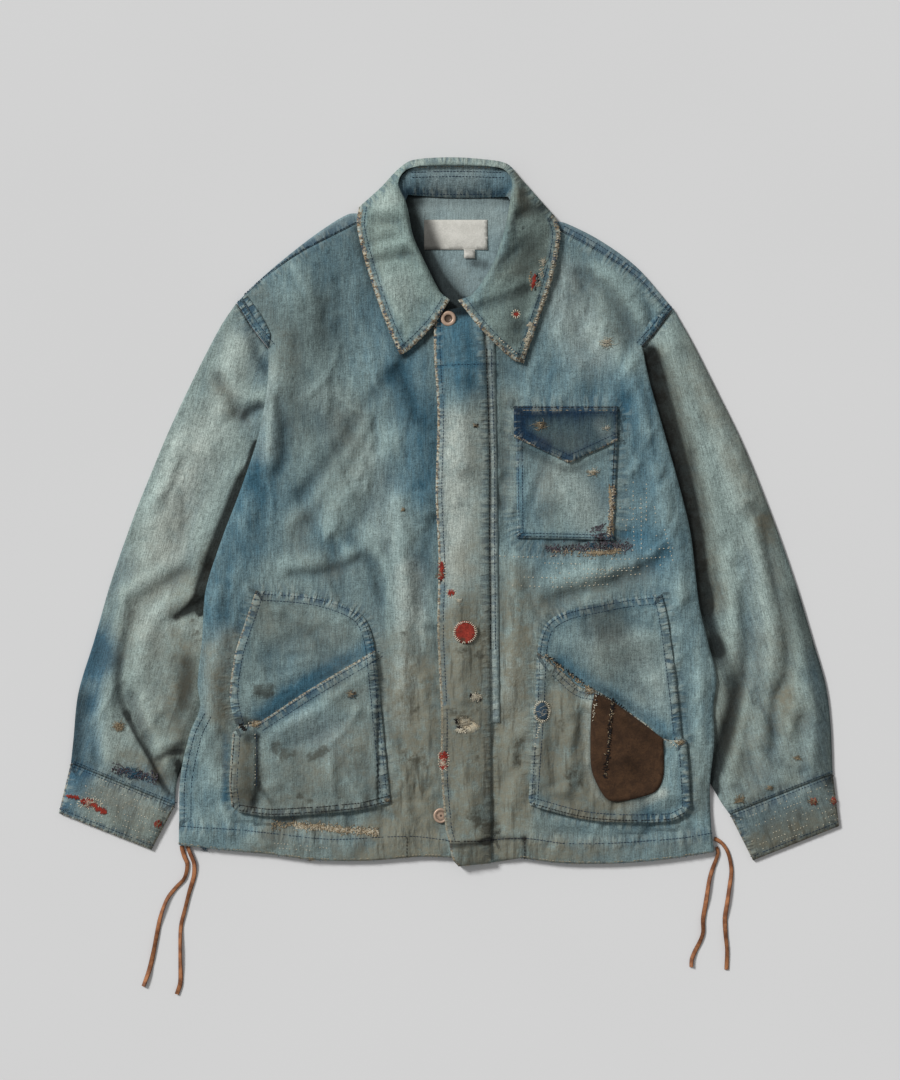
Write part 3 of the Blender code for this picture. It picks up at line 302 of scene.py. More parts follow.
# Folds of each kind of sheet: height in millimetres (a valley is negative), half width in pixels, then the
# points of the fold's line in pixels as x, y, x, y
FOLDS = {
    "body": [
        # the wearer's right front
        (2.4, 10, 270, 366, 267, 400, 272, 440, 270, 462), (-2.2, 6, 279, 400, 284, 425, 285, 452, 280, 470),
        (2, 13, 300, 300, 313, 345, 318, 400), (1.4, 7, 296, 268, 312, 300, 316, 330),
        (-1.2, 4, 289, 272, 300, 290, 307, 308), (-1.1, 4, 337, 280, 339, 295, 338, 308),
        (-1, 4, 328, 303, 327, 312, 324, 322), (-2, 8, 396, 372, 375, 395, 338, 452, 302, 495),
        (1.8, 8, 384, 392, 356, 440, 322, 488, 290, 525), (-1.6, 6, 400, 368, 410, 392, 420, 420),
        (2.4, 13, 392, 440, 360, 480, 326, 530), (-1.2, 8, 372, 505, 352, 535, 330, 560),
        (2.2, 9, 288, 566, 325, 560, 360, 549), (-1.8, 5, 293, 575, 320, 574, 342, 569, 358, 560),
        (2.4, 10, 400, 500, 404, 580, 402, 690), (-2, 6, 357, 543, 370, 562, 379, 582, 382, 602),
        (1.2, 6, 368, 540, 384, 562, 392, 590), (-1.3, 7, 416, 560, 420, 640, 415, 720),
        (2, 12, 222, 590, 216, 680, 212, 780), (-1.2, 6, 232, 560, 226, 600, 214, 640),
        (1.5, 10, 250, 500, 242, 540, 236, 575), (-1.2, 7, 200, 720, 214, 742, 222, 770),
        (1.6, 8, 400, 760, 408, 800, 402, 830), (-1, 5, 250, 826, 300, 824, 350, 829),
        (-1.4, 6, 434, 520, 425, 560, 424, 610),
        # the wearer's left front
        (2.4, 10, 556, 580, 605, 572, 652, 552), (-2.2, 7, 548, 602, 600, 586, 640, 571, 668, 552),
        (1.3, 6, 560, 560, 600, 556, 640, 545), (-2, 7, 580, 274, 606, 290, 622, 310, 636, 340),
        (1.6, 7, 596, 268, 622, 288, 640, 318), (-1.4, 5, 643, 288, 648, 304, 651, 322),
        (2.2, 11, 600, 330, 632, 380, 645, 430), (-1.4, 8, 628, 400, 640, 440, 644, 480),
        (-1.8, 5, 674, 462, 668, 472, 662, 482), (2.2, 10, 656, 470, 672, 530, 680, 590),
        (2, 9, 516, 560, 512, 650, 508, 700), (-1.2, 6, 504, 420, 505, 480, 503, 540),
        (2, 9, 700, 640, 700, 720, 698, 800), (-1.8, 6, 694, 742, 704, 752, 714, 764),
        (1.4, 7, 512, 740, 514, 790, 508, 830), (-1.4, 6, 523, 745, 518, 765, 508, 778),
        (1.4, 9, 560, 330, 565, 365, 562, 396), (-1, 8, 582, 330, 588, 360, 590, 392),
        (-1, 6, 560, 832, 610, 830, 660, 829),
        # the placket
        (1.4, 8, 460, 340, 461, 400, 463, 470), (-1.2, 6, 470, 480, 468, 520, 472, 560),
        (-1.6, 5, 482, 610, 487, 632, 480, 652), (1.2, 6, 460, 594, 456, 612, 459, 622),
        (1.4, 8, 464, 650, 462, 680, 465, 700), (-1.2, 5, 450, 690, 456, 705, 470, 712),
        (1.6, 7, 470, 745, 472, 790, 476, 830), (-1.2, 6, 458, 770, 462, 800, 466, 840),
    ],
    "sleeve": [
        # the wearer's right sleeve
        (2, 11, 240, 345, 226, 400, 205, 450), (-1.8, 6, 253, 326, 257, 348, 265, 367),
        (-2, 6, 220, 378, 236, 406, 243, 418, 260, 407), (1.6, 7, 230, 372, 248, 396, 262, 398),
        (2, 13, 180, 440, 160, 500, 150, 560),
        (-1.4, 6, 185, 573, 159, 589, 135, 607, 126, 643, 118, 682, 124, 722),
        (1.8, 8, 178, 560, 150, 578, 124, 594), (2.2, 9, 196, 592, 160, 612, 146, 640, 140, 675),
        (-1.8, 5, 205, 601, 190, 609, 175, 619), (-2.2, 6, 132, 697, 141, 722, 153, 754, 163, 782, 174, 799),
        (1.8, 7, 146, 700, 158, 734, 170, 766), (-1.6, 4, 184, 748, 168, 752, 160, 768),
        (1.4, 5, 188, 740, 170, 742, 156, 750), (-1.4, 5, 176, 660, 184, 690, 180, 720),
        (1.4, 6, 190, 650, 196, 680, 190, 712), (2, 10, 108, 680, 106, 730, 112, 772),
        (-1.2, 6, 92, 700, 94, 735, 98, 765), (0.8, 9, 230, 470, 210, 520, 196, 560),
        # the wearer's left sleeve
        (2.2, 12, 704, 372, 724, 436, 744, 500),
        (-2.6, 8, 652, 352, 662, 395, 680, 460, 694, 520, 704, 575, 720, 660, 738, 692),
        (1.8, 8, 672, 352, 688, 400, 706, 460, 720, 530), (-2, 5, 738, 690, 725, 738, 713, 782),
        (1.8, 7, 748, 690, 740, 735, 732, 780),
        (-2.2, 5, 765, 519, 774, 571, 781, 600, 787, 634, 788, 674, 776, 700, 774, 750),
        (1.8, 7, 754, 530, 764, 590, 772, 640, 770, 685), (1.8, 8, 798, 600, 803, 650, 800, 690, 790, 730),
        (-1.4, 6, 742, 590, 748, 640, 744, 690), (1.8, 9, 730, 560, 736, 620, 730, 670),
        (2, 8, 810, 690, 814, 725, 810, 760), (-1.4, 5, 800, 720, 802, 745, 806, 768),
        (1.6, 8, 758, 720, 760, 755, 768, 786), (-1.2, 8, 716, 350, 730, 392, 748, 430),
        (-1, 7, 770, 470, 762, 500, 748, 520),
    ],
    "pocket": [
        (-1.6, 4, 262, 782, 261, 795, 258, 806), (1.2, 8, 258, 690, 290, 676, 330, 652),
        (-1.2, 6, 262, 660, 290, 640, 330, 628), (1.5, 8, 285, 724, 330, 700, 366, 672),
        (-1.2, 7, 276, 748, 312, 738, 350, 720), (1.4, 9, 330, 770, 340, 785, 360, 794),
        (1.3, 8, 246, 740, 244, 765, 246, 795), (1.2, 8, 560, 640, 600, 650, 645, 640),
        (-1.2, 7, 590, 672, 622, 682, 655, 700), (1.5, 8, 560, 690, 570, 740, 566, 790),
        (-1.2, 6, 550, 700, 552, 745, 556, 780), (-1.6, 5, 586, 705, 584, 745, 590, 790),
        (1.3, 8, 672, 760, 672, 790, 660, 808), (1.2, 7, 596, 700, 625, 716, 650, 734),
        (0.8, 10, 540, 480, 560, 500, 590, 505), (-0.8, 7, 575, 468, 590, 480, 604, 500),
    ],
    "collar": [
        (1.6, 12, 384, 205, 381, 240, 392, 290), (-1.5, 4, 372, 262, 395, 258, 418, 253),
        (-1.3, 4, 376, 223, 394, 222, 410, 219), (1, 5, 374, 252, 396, 247, 416, 241),
        (1.2, 9, 400, 300, 408, 318, 404, 338), (1.6, 12, 536, 215, 537, 250, 524, 300),
        (-1.6, 5, 504, 226, 525, 213, 546, 204), (-1.5, 5, 498, 267, 515, 252, 531, 239),
        (-1.3, 5, 474, 311, 500, 300, 526, 289), (1.1, 6, 500, 282, 516, 270, 530, 262),
        (1, 7, 508, 330, 514, 344, 520, 354),
    ],
}

# Washes, stains, fades and painted shade by the pieces that they reach (no names: all of them) and by kind:
# the shade wash is painted shade and shadow, and some grime, dark and pale strokes are painted shade, shadow
# and highlight. Each stroke says its strength, its half width in pixels and the brush's line: a run by name
# or its points as x, y, x, y.
WASHES = ("blue", "shade", "grime_and_shade", "dark", "pale", "cream")
SLEEVES = ("sleeve_right", "sleeve_left", "cuff_right", "cuff_left")
FRONTS = ("front_right", "front_left")
POCKETS = ("hand_pocket_right", "hand_pocket_right_panel", "hand_pocket_left", "hand_pocket_left_panel")
STROKES = {
    SLEEVES: {
        "shade": [
            (1.5, 3.6, 256, 444, 249, 466, 240, 490, 219, 542, 205, 588, 201, 612),
            (0.7, 6, 244, 474, 232, 506, 214, 552, 203, 588),
            (0.55, 9, 242, 484, 220, 536, 202, 586, 200, 606),
            (0.95, 4, 205, 588, 196, 602, 186, 610, 176, 617), (0.4, 7, 206, 580, 200, 600, 190, 612),
            (1.1, 7, 650, 352, 660, 392, 672, 436, 688, 500, 696, 545, 700, 580, 706, 606),
            (0.5, 14, 656, 366, 676, 430, 694, 500, 702, 556, 706, 590),
            (0.7, 7, 702, 590, 709, 619, 718, 650), (0.5, 9, 716, 645, 734, 687, 729, 726, 716, 765),
            (1, 5, 713, 762, 714, 783, 715, 792), (0.34, 16, 800, 600, 815, 670, 820, 730, 822, 770),
            (0.24, 12, 762, 515, 776, 575, 787, 640, 778, 700),
            (0.26, 9, 738, 640, 738, 692, 722, 745, 712, 785), (0.22, 26, 690, 610, 700, 690, 724, 760),
            (0.46, 11, 186, 664, 187, 696, 181, 740, 175, 772), (0.24, 8, 218, 378, 230, 400, 240, 410),
            (0.6, 4, 243, 418, 248, 411, 262, 406), (0.34, 6, 251, 330, 257, 350, 264, 372),
            (0.45, 4, 133, 612, 127, 632, 118, 672, 120, 700, 128, 716),
            (0.22, 8, 118, 660, 126, 712, 142, 736, 160, 776), (0.12, 30, 690, 380, 720, 450, 740, 520),
            (0.7, 2.6, 126, 713, 137, 737, 150, 758, 158, 778, 171, 797),
            (0.6, 3, 158, 758, 168, 753, 182, 751), (1, 2.6, 178, 762, 180, 776),
            (0.26, 9, 184, 640, 188, 670, 184, 704), (0.16, 9, SLEEVE_RIGHT_OUTER),
            (0.34, 10, SLEEVE_LEFT_OUTER), (0.22, 14, 96, 640, 84, 696, 78, 750),
            (0.26, 12, 78, 700, 74, 745, 72, 765),
        ],
        # grime: the strokes along the gaps between the sleeves and the body, and along the wearer's left
        # sleeve's outer edge, are painted shade; the rest are soil
        "grime_and_shade": [
            (0.45, 12, 214, 548, 196, 584, 176, 606), (0.3, 22, 764, 650, 776, 720),
            (0.5, 9, 180, 640, 184, 670, 178, 700), (0.4, 12, SLEEVE_LEFT_OUTER[1:5]),
            (0.4, 17, 192, 620, 186, 670, 184, 720, 176, 758), (0.18, 24, 170, 530, 150, 560, 116, 580),
            (0.45, 12, 118, 760, 140, 770, 162, 784), (0.3, 8, 183, 574, 150, 596, 132, 612, 124, 650),
            (0.35, 9, 216, 380, 232, 408, 244, 420),
            (0.55, 16, 660, 362, 672, 410, 690, 480, 702, 540, 716, 600),
            (0.45, 8, 690, 370, 716, 430, 742, 490, 768, 540),
            (0.35, 10, 764, 520, 778, 580, 788, 650, 784, 700), (0.3, 12, 726, 640, 736, 690, 724, 740),
            (0.18, 26, 130, 640, 130, 700, 136, 760), (0.35, 22, 170, 640, 176, 700, 160, 760),
            (0.4, 26, 720, 700, 744, 740, 752, 790), (0.3, 20, 790, 700, 804, 740, 800, 780),
        ],
        # pale: partly bleached yarn, partly painted highlight on lit ridges
        "pale": [
            (0.3, 10, 190, 630, 200, 626, 198, 644), (0.35, 20, 186, 452, 176, 500, 168, 545),
            (0.42, 16, 238, 345, 232, 375, 226, 400), (0.46, 26, 206, 430, 180, 500, 158, 560, 150, 620),
            (0.2, 18, 150, 640, 152, 700, 120, 740), (0.3, 16, 708, 380, 730, 440, 746, 500),
            (0.2, 14, 752, 540, 764, 600, 770, 660),
        ],
        "blue": [
            (0.85, 24, 92, 652, 84, 700, 80, 752), (0.35, 18, 122, 560, 106, 610, 96, 660),
            (0.35, 16, 252, 330, 262, 370, 250, 420), (0.18, 22, 196, 450, 178, 500, 170, 560),
            (0.45, 14, 146, 776, 165, 790, 172, 800), (0.3, 18, 740, 570, 750, 640, 756, 720, 764, 770),
            (0.45, 14, 812, 660, 818, 710, 812, 770), (0.25, 14, 712, 780, 740, 796, 770, 790),
            (0.4, 9, 112, 768, 134, 774, 158, 780),
        ],
        # dark: these strokes along the gaps between the sleeves and the body are painted shadow, not oil
        "dark": [
            (0.3, 5, 246, 470, 226, 520, 208, 566), (0.35, 7, 205, 560, 198, 600, 196, 640),
            (0.55, 9, 651, 356, 660, 400, 676, 470, 694, 530, 700, 590),
        ],
    },
    FRONTS: {
        # pale: partly bleached yarn, partly painted highlight on lit ridges
        "pale": [
            (0.45, 14, 408, 575, 410, 640, 406, 712), (0.6, 11, 512, 660, 512, 724),
            (0.34, 16, 404, 672, 406, 716), (0.3, 12, 268, 372, 268, 410, 266, 450),
            (0.22, 20, 330, 400, 352, 440, 380, 500, 392, 540), (0.25, 16, 410, 570, 414, 620),
            (0.42, 24, 560, 280, 575, 320, 590, 350), (0.2, 16, 222, 640, 218, 700),
        ],
        "shade": [
            (0.12, 62, 318, 240, 336, 330, 330, 420), (0.34, 5, 217, 730, 208, 750, 198, 768),
            (0.26, 8, 212, 668, 216, 690, 214, 712), (0.34, 4, 400, 357, 412, 354, 436, 328, 440, 318),
            (0.26, 5, 358, 228, 366, 262, 384, 314, 402, 356),
            (0.34, 6, 562, 232, 556, 278, 541, 325, 526, 366), (0.24, 34, 350, 240, 338, 275, 326, 330),
            (0.22, 30, 300, 320, 318, 390, 340, 450),
            (0.2, 16, 280, 398, 286, 430, 284, 470, 300, 540, 344, 572),
            (0.26, 9, 398, 370, 406, 392, 420, 424), (0.18, 9, 394, 376, 368, 410, 334, 458, 304, 498),
            (0.26, 9, 356, 543, 371, 563, 381, 588, 386, 620),
            (0.3, 7, 222, 600, 226, 650, 226, 700, 222, 760), (0.26, 5, 390, 640, 394, 720, 396, 800),
            (0.3, 6, 240, 818, 300, 821, 396, 812), (0.26, 8, 548, 602, 600, 586, 642, 570, 668, 552),
            (0.2, 10, 580, 276, 608, 292, 624, 314, 636, 342), (0.24, 5, 527, 640, 528, 720, 523, 800),
            (0.3, 6, 536, 826, 600, 832, 688, 826), (0.34, 6, 684, 700, 692, 760, 696, 812),
            (0.3, 7, 621, 420, 622, 480, 619, 545), (0.26, 10, 520, 546, 570, 550, 616, 548),
            (0.16, 5, 502, 340, 503, 440, 504, 560, 506, 720),
            (0.25, 8, 430, 330, 430, 420, 431, 560, 433, 700, 440, 820), (0.6, 3, 524.5, 838, 524.5, 858),
        ],
        "grime_and_shade": [
            (0.6, 9, 212, 650, 216, 690, 216, 716), (0.4, 8, 552, 549, 590, 547, 628, 547),
            (0.5, 30, 404, 660, 406, 710, 402, 770, 396, 840), (0.3, 20, 424, 640, 420, 730, 416, 800),
            (0.45, 22, 400, 790, 410, 820, 380, 850), (0.14, 40, 300, 600, 380, 640, 400, 740),
            (0.5, 26, 420, 690, 430, 780, 424, 850), (0.35, 30, 520, 620, 526, 700, 516, 800, 540, 846),
            (0.4, 14, 500, 850, 560, 852, 610, 850), (0.55, 16, 262, 850, 320, 855, 430, 852),
            (0.6, 10, 270, 826, 330, 828, 386, 830), (0.3, 14, 230, 690, 222, 720, 226, 770),
            (0.5, 10, 232, 640, 226, 690, 228, 730), (0.25, 20, 330, 500, 350, 460, 350, 420),
            (0.22, 14, 290, 340, 294, 400, 300, 440), (0.28, 12, 300, 520, 296, 545, 330, 572, 352, 566),
            (0.25, 16, 262, 300, 276, 330, 284, 360), (0.6, 20, 512, 580, 514, 640, 512, 720, 508, 800),
            (0.5, 20, 506, 730, 512, 780, 506, 850), (0.35, 12, 508, 400, 508, 440, 508, 500),
            (0.4, 14, 548, 604, 590, 590, 640, 572), (0.3, 18, 590, 286, 606, 300, 622, 330),
            (0.25, 14, 700, 760, 702, 800), (0.25, 12, 540, 850, 620, 850, 690, 842),
        ],
        "blue": [
            (0.8, 3, 226, 735, 226, 770, 225, 800), (0.44, 34, 388, 240, 402, 310, 414, 400, 420, 480),
            (0.24, 18, 404, 370, 424, 440, 428, 520, 424, 560), (0.2, 31, 336, 236, 350, 300, 362, 350),
            (0.2, 23, 262, 292, 290, 278, 330, 250), (0.5, 34, 250, 474, 228, 540, 214, 600),
            (0.24, 23, 272, 430, 262, 480, 258, 540), (0.24, 26, 300, 500, 310, 540, 330, 570),
            (0.24, 26, 222, 620, 215, 680), (0.24, 18, 196, 780, 194, 835, 216, 838),
            (0.17, 29, 372, 560, 392, 620), (0.2, 16, 225, 800, 300, 832, 370, 842),
            (0.2, 34, 560, 262, 572, 330, 560, 380), (0.3, 30, 548, 384, 585, 380, 625, 398),
            (0.44, 31, 634, 410, 646, 470, 660, 540), (0.24, 31, 650, 560, 690, 620, 700, 700),
            (0.17, 31, 540, 560, 600, 550, 650, 560), (0.17, 23, 696, 740, 700, 830, 600, 852),
            (0.35, 12, 546, 548, 590, 546, 632, 546),
        ],
    },
    POCKETS: {
        "shade": [
            (0.3, 34, 262, 620, 300, 640, 256, 690), (0.12, 30, 300, 786, 350, 776),
            (0.3, 34, 560, 640, 600, 622, 650, 640), (0.28, 30, 560, 740, 566, 790, 640, 812),
        ],
        "blue": [
            (0.25, 26, 280, 690, 320, 660), (0.3, 24, 300, 720, 330, 730),
            (0.25, 22, 560, 640, 600, 620, 640, 610), (0.3, 12, 670, 760, 672, 800, 640, 812),
        ],
        "grime_and_shade": [
            (0.35, 26, 290, 620, 330, 640), (0.6, 40, 262, 784, 310, 784, 350, 780),
            (0.4, 24, 350, 690, 360, 730), (0.45, 10, 262, 600, 266, 628), (0.55, 12, 243, 742, 243, 790),
            (0.25, 16, 604, 610, 610, 640, 606, 670), (1.1, 30, 556, 730, 566, 780, 600, 808),
            (0.35, 14, 556, 690, 575, 700),
        ],
        "pale": [(0.3, 22, 600, 640, 640, 660, 650, 690)],
    },
    (): {
        "shade": [(0.55, 3, 484, 840, 500, 838, 524, 837)],
        "dark": [
            (0.95, 7, 258, 689, 268, 691), (0.8, 7, 278, 749, 288, 754), (0.75, 5.5, 312, 756, 326, 750),
            (0.5, 3, 299, 795, 301, 796), (0.5, 3, 309, 800, 311, 800), (0.3, 12, 262, 640, 264, 660),
            (0.6, 8, 408, 756, 420, 762), (0.5, 4, 422, 748, 426, 752), (0.5, 5, 413, 704, 415, 708),
            (0.4, 3, 424, 700, 425, 704), (0.5, 6, 519, 742, 516, 762), (0.65, 9, 476, 816, 492, 829),
            (0.6, 3, 479, 706, 479, 707), (0.6, 3, 477, 757, 477, 758), (0.55, 3, 485, 773, 491, 780),
            (0.45, 6, 460, 650, 467, 654), (0.45, 5, 482, 622, 486, 640, 480, 654),
            (0.45, 5, 452, 712, 470, 712), (0.6, 7, 573, 775, 576, 782), (0.4, 5, 560, 720, 562, 726),
            (0.45, 3, 158, 684, 158, 686), (0.4, 3, 162, 716, 162, 717), (0.4, 3, 402, 632, 404, 634),
            (0.4, 3, 413, 654, 414, 656),
        ],
    },
    ("cuff_left",): {
        "shade": [(0.42, 34, 745, 826, 790, 824, 834, 800)],
        "blue": [(0.45, 16, 742, 826, 770, 818, 826, 800)],
        "grime_and_shade": [(0.95, 20, 766, 846, 800, 828, 832, 808)],
    },
    ("cuff_right",): {
        "shade": [(0.26, 24, 110, 812, 150, 836)],
        "blue": [(0.6, 16, 74, 778, 66, 806), (0.35, 12, 90, 790, 130, 806)],
        "grime_and_shade": [(0.65, 22, 104, 800, 150, 818, 140, 840)],
        "pale": [(0.3, 10, 112, 796, 140, 812)],
    },
    ("collar",): {
        "shade": [
            (0.32, 13, 536, 252, 526, 296, 514, 336),
            (0.31, 20, 550, 214, 534, 240, 522, 280, 508, 320, 516, 350),
            (0.26, 16, 528, 196, 536, 212, 524, 238, 508, 262), (0.28, 6, 504, 228, 525, 214, 546, 205),
            (0.3, 6, 474, 311, 498, 301, 526, 289), (0.3, 5, 376, 260, 396, 258, 417, 254),
            (0.24, 5, 376, 223, 394, 222, 410, 219), (0.3, 6, 520, 172, 522, 192, 516, 214),
        ],
        "blue": [
            (0.3, 8, LEAF_RIGHT_OUTER), (0.35, 8, LEAF_LEFT_OUTER), (0.2, 20, 385, 270, 400, 310, 412, 330),
            (0.3, 12, 470, 300, 490, 270, 503, 232),
        ],
        "grime_and_shade": [
            (0.6, 6, 519, 176, 520, 192, 526, 210), (0.2, 20, 516, 215, 534, 222, 548, 240),
            (0.3, 12, 500, 270, 516, 268, 530, 262), (0.28, 12, 382, 230, 378, 262),
        ],
        "pale": [
            (0.35, 10, 384, 206, 392, 198), (0.3, 16, 396, 285, 402, 300),
            (0.35, 7, 410, 162, 455, 160, 505, 164),
        ],
    },
    ("neck_label",): {
        "shade": [(0.5, 12, 424, 222, 429, 236, 432, 250)],
    },
    ("hand_pocket_right_panel",): {
        "shade": [
            (0.42, 13, 244, 738, 246, 770, 244, 800), (0.6, 2.5, 258, 736, 258, 784),
            (0.4, 2.5, 258, 784, 253, 806), (0.34, 2.5, 258, 784, 264, 792, 272, 802),
            (0.22, 30, 260, 796, 320, 800, 376, 790), (0.34, 6, 250, 737, 300, 704, 372, 664),
        ],
        "pale": [(0.24, 18, 306, 728, 338, 742)],
    },
    ("chest_pocket_flap",): {
        "blue": [(0.6, 10, 520, 416, 524, 436, 540, 446), (0.3, 9, 536, 412, 600, 414)],
        "shade": [(0.26, 8, 520, 412, 560, 414, 612, 412)],
        "pale": [(0.16, 6, 600, 424, 606, 436)],
        "grime_and_shade": [(0.12, 12, 548, 440, 576, 444)],
    },
    ("fly_facing",): {
        "pale": [(0.75, 8, PLACKET_SEAM)],
        "blue": [(0.12, 9, PLACKET_SEAM)],
    },
    ("back", "neck_label"): {
        "shade": [(0.85, 17, 402, 192, 408, 218, 420, 250, 438, 284, 452, 302)],
    },
    ("back",): {
        "shade": [
            (1.2, 9, 408, 226, 421, 258, 436, 286, 450, 302), (0.6, 6, 474, 262, 484, 264),
            (0.4, 8, 400, 196, 455, 199, 512, 198),
        ],
        "blue": [(0.75, 12, SHOULDER_SEAM_RIGHT), (0.75, 14, SHOULDER_SEAM_LEFT)],
        "pale": [(0.25, 20, 430, 210, 500, 215)],
        "grime_and_shade": [(0.2, 14, 460, 270, 470, 285)],
    },
    ("collar_stand",): {
        "shade": [(0.4, 10, 404, 172, 404, 192, 416, 194)],
        "pale": [(0.62, 16, 440, 182, 470, 182)],
    },
    ("fly_placket", "front_left", "front_right", "back"): {
        "shade": [(1.2, 8, 444, 306, 454, 309, 466, 308)],
    },
    ("fly_placket",): {
        "shade": [
            (0.3, 5, 482, 340, 485, 440, 486, 600, 487, 740, 487, 856),
            (0.18, 26, 462, 690, 466, 770, 470, 850),
        ],
        "blue": [(0.35, 8, PLACKET_EDGE), (0.3, 12, 448, 650, 449, 760)],
        "pale": [(0.9, 20, 458, 430, 456, 500, 456, 570), (0.3, 9, 452, 600, 456, 650, 450, 690)],
        "grime_and_shade": [
            (0.35, 10, 478, 400, 477, 470, 478, 540), (0.45, 18, 470, 560, 472, 600, 480, 640),
            (1.2, 32, 462, 640, 464, 700, 468, 760, 470, 810, 476, 856),
        ],
    },
    ("hand_pocket_right",): {
        "shade": [(0.3, 3, 246, 720, 262, 717, 312, 684, 376, 645), (0.6, 6, 234, 733, 244, 730, 258, 726)],
        "blue": [(0.25, 9, 256, 712, 310, 678, 370, 642), (0.55, 9, 262, 716, 312, 683, 374, 646)],
        # dark: painted shadow in the gap at the notch of the pocket's side
        "dark": [(0.55, 8, 238, 722, 246, 726)],
    },
    ("hand_pocket_left",): {
        "shade": [
            (0.3, 3.5, 552, 659, 562, 667, 582, 683, 600, 688, 626, 705, 664, 733),
            (0.5, 7, 680, 690, 684, 716, 686, 738), (0.26, 22, 600, 600, 612, 640, 622, 690),
        ],
        "blue": [(0.6, 9, 560, 664, 590, 684, 622, 702, 672, 738)],
    },
    ("hand_pocket_left_panel",): {
        "pale": [(0.7, 5, 588, 700, 586, 745, 589, 776, 604, 801, 618, 806, 642, 801, 662, 792)],
        "shade": [(0.35, 2.5, 593, 694, 591, 745, 593, 774, 606, 798, 618, 802, 640, 798)],
        "grime_and_shade": [(0.45, 22, 556, 660, 566, 690, 570, 720)],
    },
    ("brown_patch",): {
        "shade": [
            (0.3, 10, 630, 760, 640, 775), (0.3, 5, 594, 760, 606, 764, 626, 760),
            (0.35, 5, 604, 706, 626, 722, 660, 742),
        ],
    },
    ("fly_placket", "front_left"): {
        "shade": [(0.6, 3, 448, 845, 466, 843, 488, 841)],
    },
    ("chest_pocket",): {
        "shade": [(0.45, 5, 520, 448, 540, 456, 569, 470, 596, 458, 616, 450)],
        "blue": [(0.35, 22, 530, 450, 535, 500), (0.3, 14, 606, 460, 606, 500)],
        "pale": [(0.35, 22, 560, 480, 590, 510)],
        "grime_and_shade": [(0.3, 14, 545, 470, 548, 510), (0.35, 10, 520, 446, 522, 458)],
    },
    ("fly_placket", "fly_facing"): {
        "blue": [(0.84, 24, 458, 320, 462, 350, 466, 380)],
    },
    ("collar", "collar_stand", "back"): {
        "blue": [(0.75, 9, 408, 186, 455, 188, 505, 187)],
    },
    ("front_left",): {
        "cream": [(1, 9, 462, 722, 474, 726)],
    },
}

# Rows of machine stitches: how far beside a run in pixels (to its left for a positive number), then the run
# by name or its points as x, y, x, y
OPENING_BELOW_RIGHT = HAND_OPENING_RIGHT[2:]
PLACKET_STITCHED = [(486, 350), *PLACKET_SEAM[1:5]]
FLAP_TOP = [(617.4, 406), (513.5, 406)]
BLUE_ROWS = [
    (6, PLACKET_EDGE), (5.5, PLACKET_STITCHED), (0, 443, 366, 470, 365, 498, 364), (0, HEM_LINE_RIGHT),
    (0, HEM_LINE_LEFT), (7.5, LEAF_RIGHT_OUTER), (7.5, LEAF_RIGHT_LOWER), (-7.5, LEAF_LEFT_OUTER),
    (-7.5, LEAF_LEFT_LOWER), (0, 410, 178, 455, 177, 503, 178), (0, 412, 173, 455, 172, 500, 173),
    (0, 411, 193.5, 455, 194.5, 504, 194), (6, CHEST_POCKET[:2]), (5, CHEST_POCKET[1:3]),
    (2, CHEST_POCKET[:2]), (2, CHEST_POCKET[1:3]), (3, CHEST_POCKET[2:4]), (7, CHEST_FLAP[1:3]),
    (7, CHEST_FLAP[2:4]), (2.5, CHEST_FLAP[1:3]), (2.5, CHEST_FLAP[:2]), (2.5, CHEST_FLAP[3:]), (7, FLAP_TOP),
    (-9, HAND_POCKET_RIGHT[0]), (-3, HAND_POCKET_RIGHT[0]), (-8, HAND_POCKET_RIGHT[2]),
    (-8, HAND_POCKET_RIGHT[3]), (-3, OPENING_BELOW_RIGHT), (-9, OPENING_BELOW_RIGHT),
    (9, HAND_POCKET_LEFT[0]), (3, HAND_POCKET_LEFT[0]), (8, HAND_POCKET_LEFT[1]), (8, HAND_POCKET_LEFT[2]),
    (8, HAND_POCKET_LEFT[3]), (-4, HAND_OPENING_LEFT[1:4]), (-9, HAND_OPENING_LEFT[1:4]),
    (4.5, CUFF_RIGHT[1:3]), (-3, [CUFF_RIGHT[3], CUFF_RIGHT[0]]), (2, [CUFF_RIGHT[3], CUFF_RIGHT[0]]),
    (-4.5, CUFF_LEFT[1:3]), (3, [CUFF_LEFT[3], CUFF_LEFT[0]]), (-2, [CUFF_LEFT[3], CUFF_LEFT[0]]),
    (-2, SHOULDER_SEAM_RIGHT[1:]), (2, SHOULDER_SEAM_LEFT[1:]), (6.5, SHOULDER_SEAM_LEFT[1:4]),
    (0, 257, 734, 257.5, 758, 257, 784), (2, ARMHOLE_RIGHT), (7, ARMHOLE_RIGHT), (-2, ARMHOLE_LEFT),
    (-6, ARMHOLE_LEFT), (5, SIDE_STRIP), (12, SIDE_STRIP),
]
PALE_ROWS = [
    (1.5, PLACKET_EDGE), (4, LEAF_RIGHT_OUTER), (-4, LEAF_LEFT_OUTER), (0, 410, 168.5, 455, 167.5, 502, 169),
    (4.5, FLAP_TOP), (2, HEM_RIGHT), (2, HEM_LEFT),
]
DARK_ROWS = [
    (0.8, PLACKET_STITCHED), (0, HEM_LINE_MIDDLE), (0, 524.7, 839, 524.7, 858), (0, 407, 838, 407, 856),
    (0, 481, 840, 503, 838.5, 525, 838), (-2.5, HAND_POCKET_RIGHT[1]), (-7.5, HAND_POCKET_RIGHT[1]),
    (2.5, HAND_POCKET_LEFT[1]), (-2, HAND_POCKET_RIGHT[2]), (1.5, FLAP_TOP), (3, CHEST_POCKET[2:4]),
]

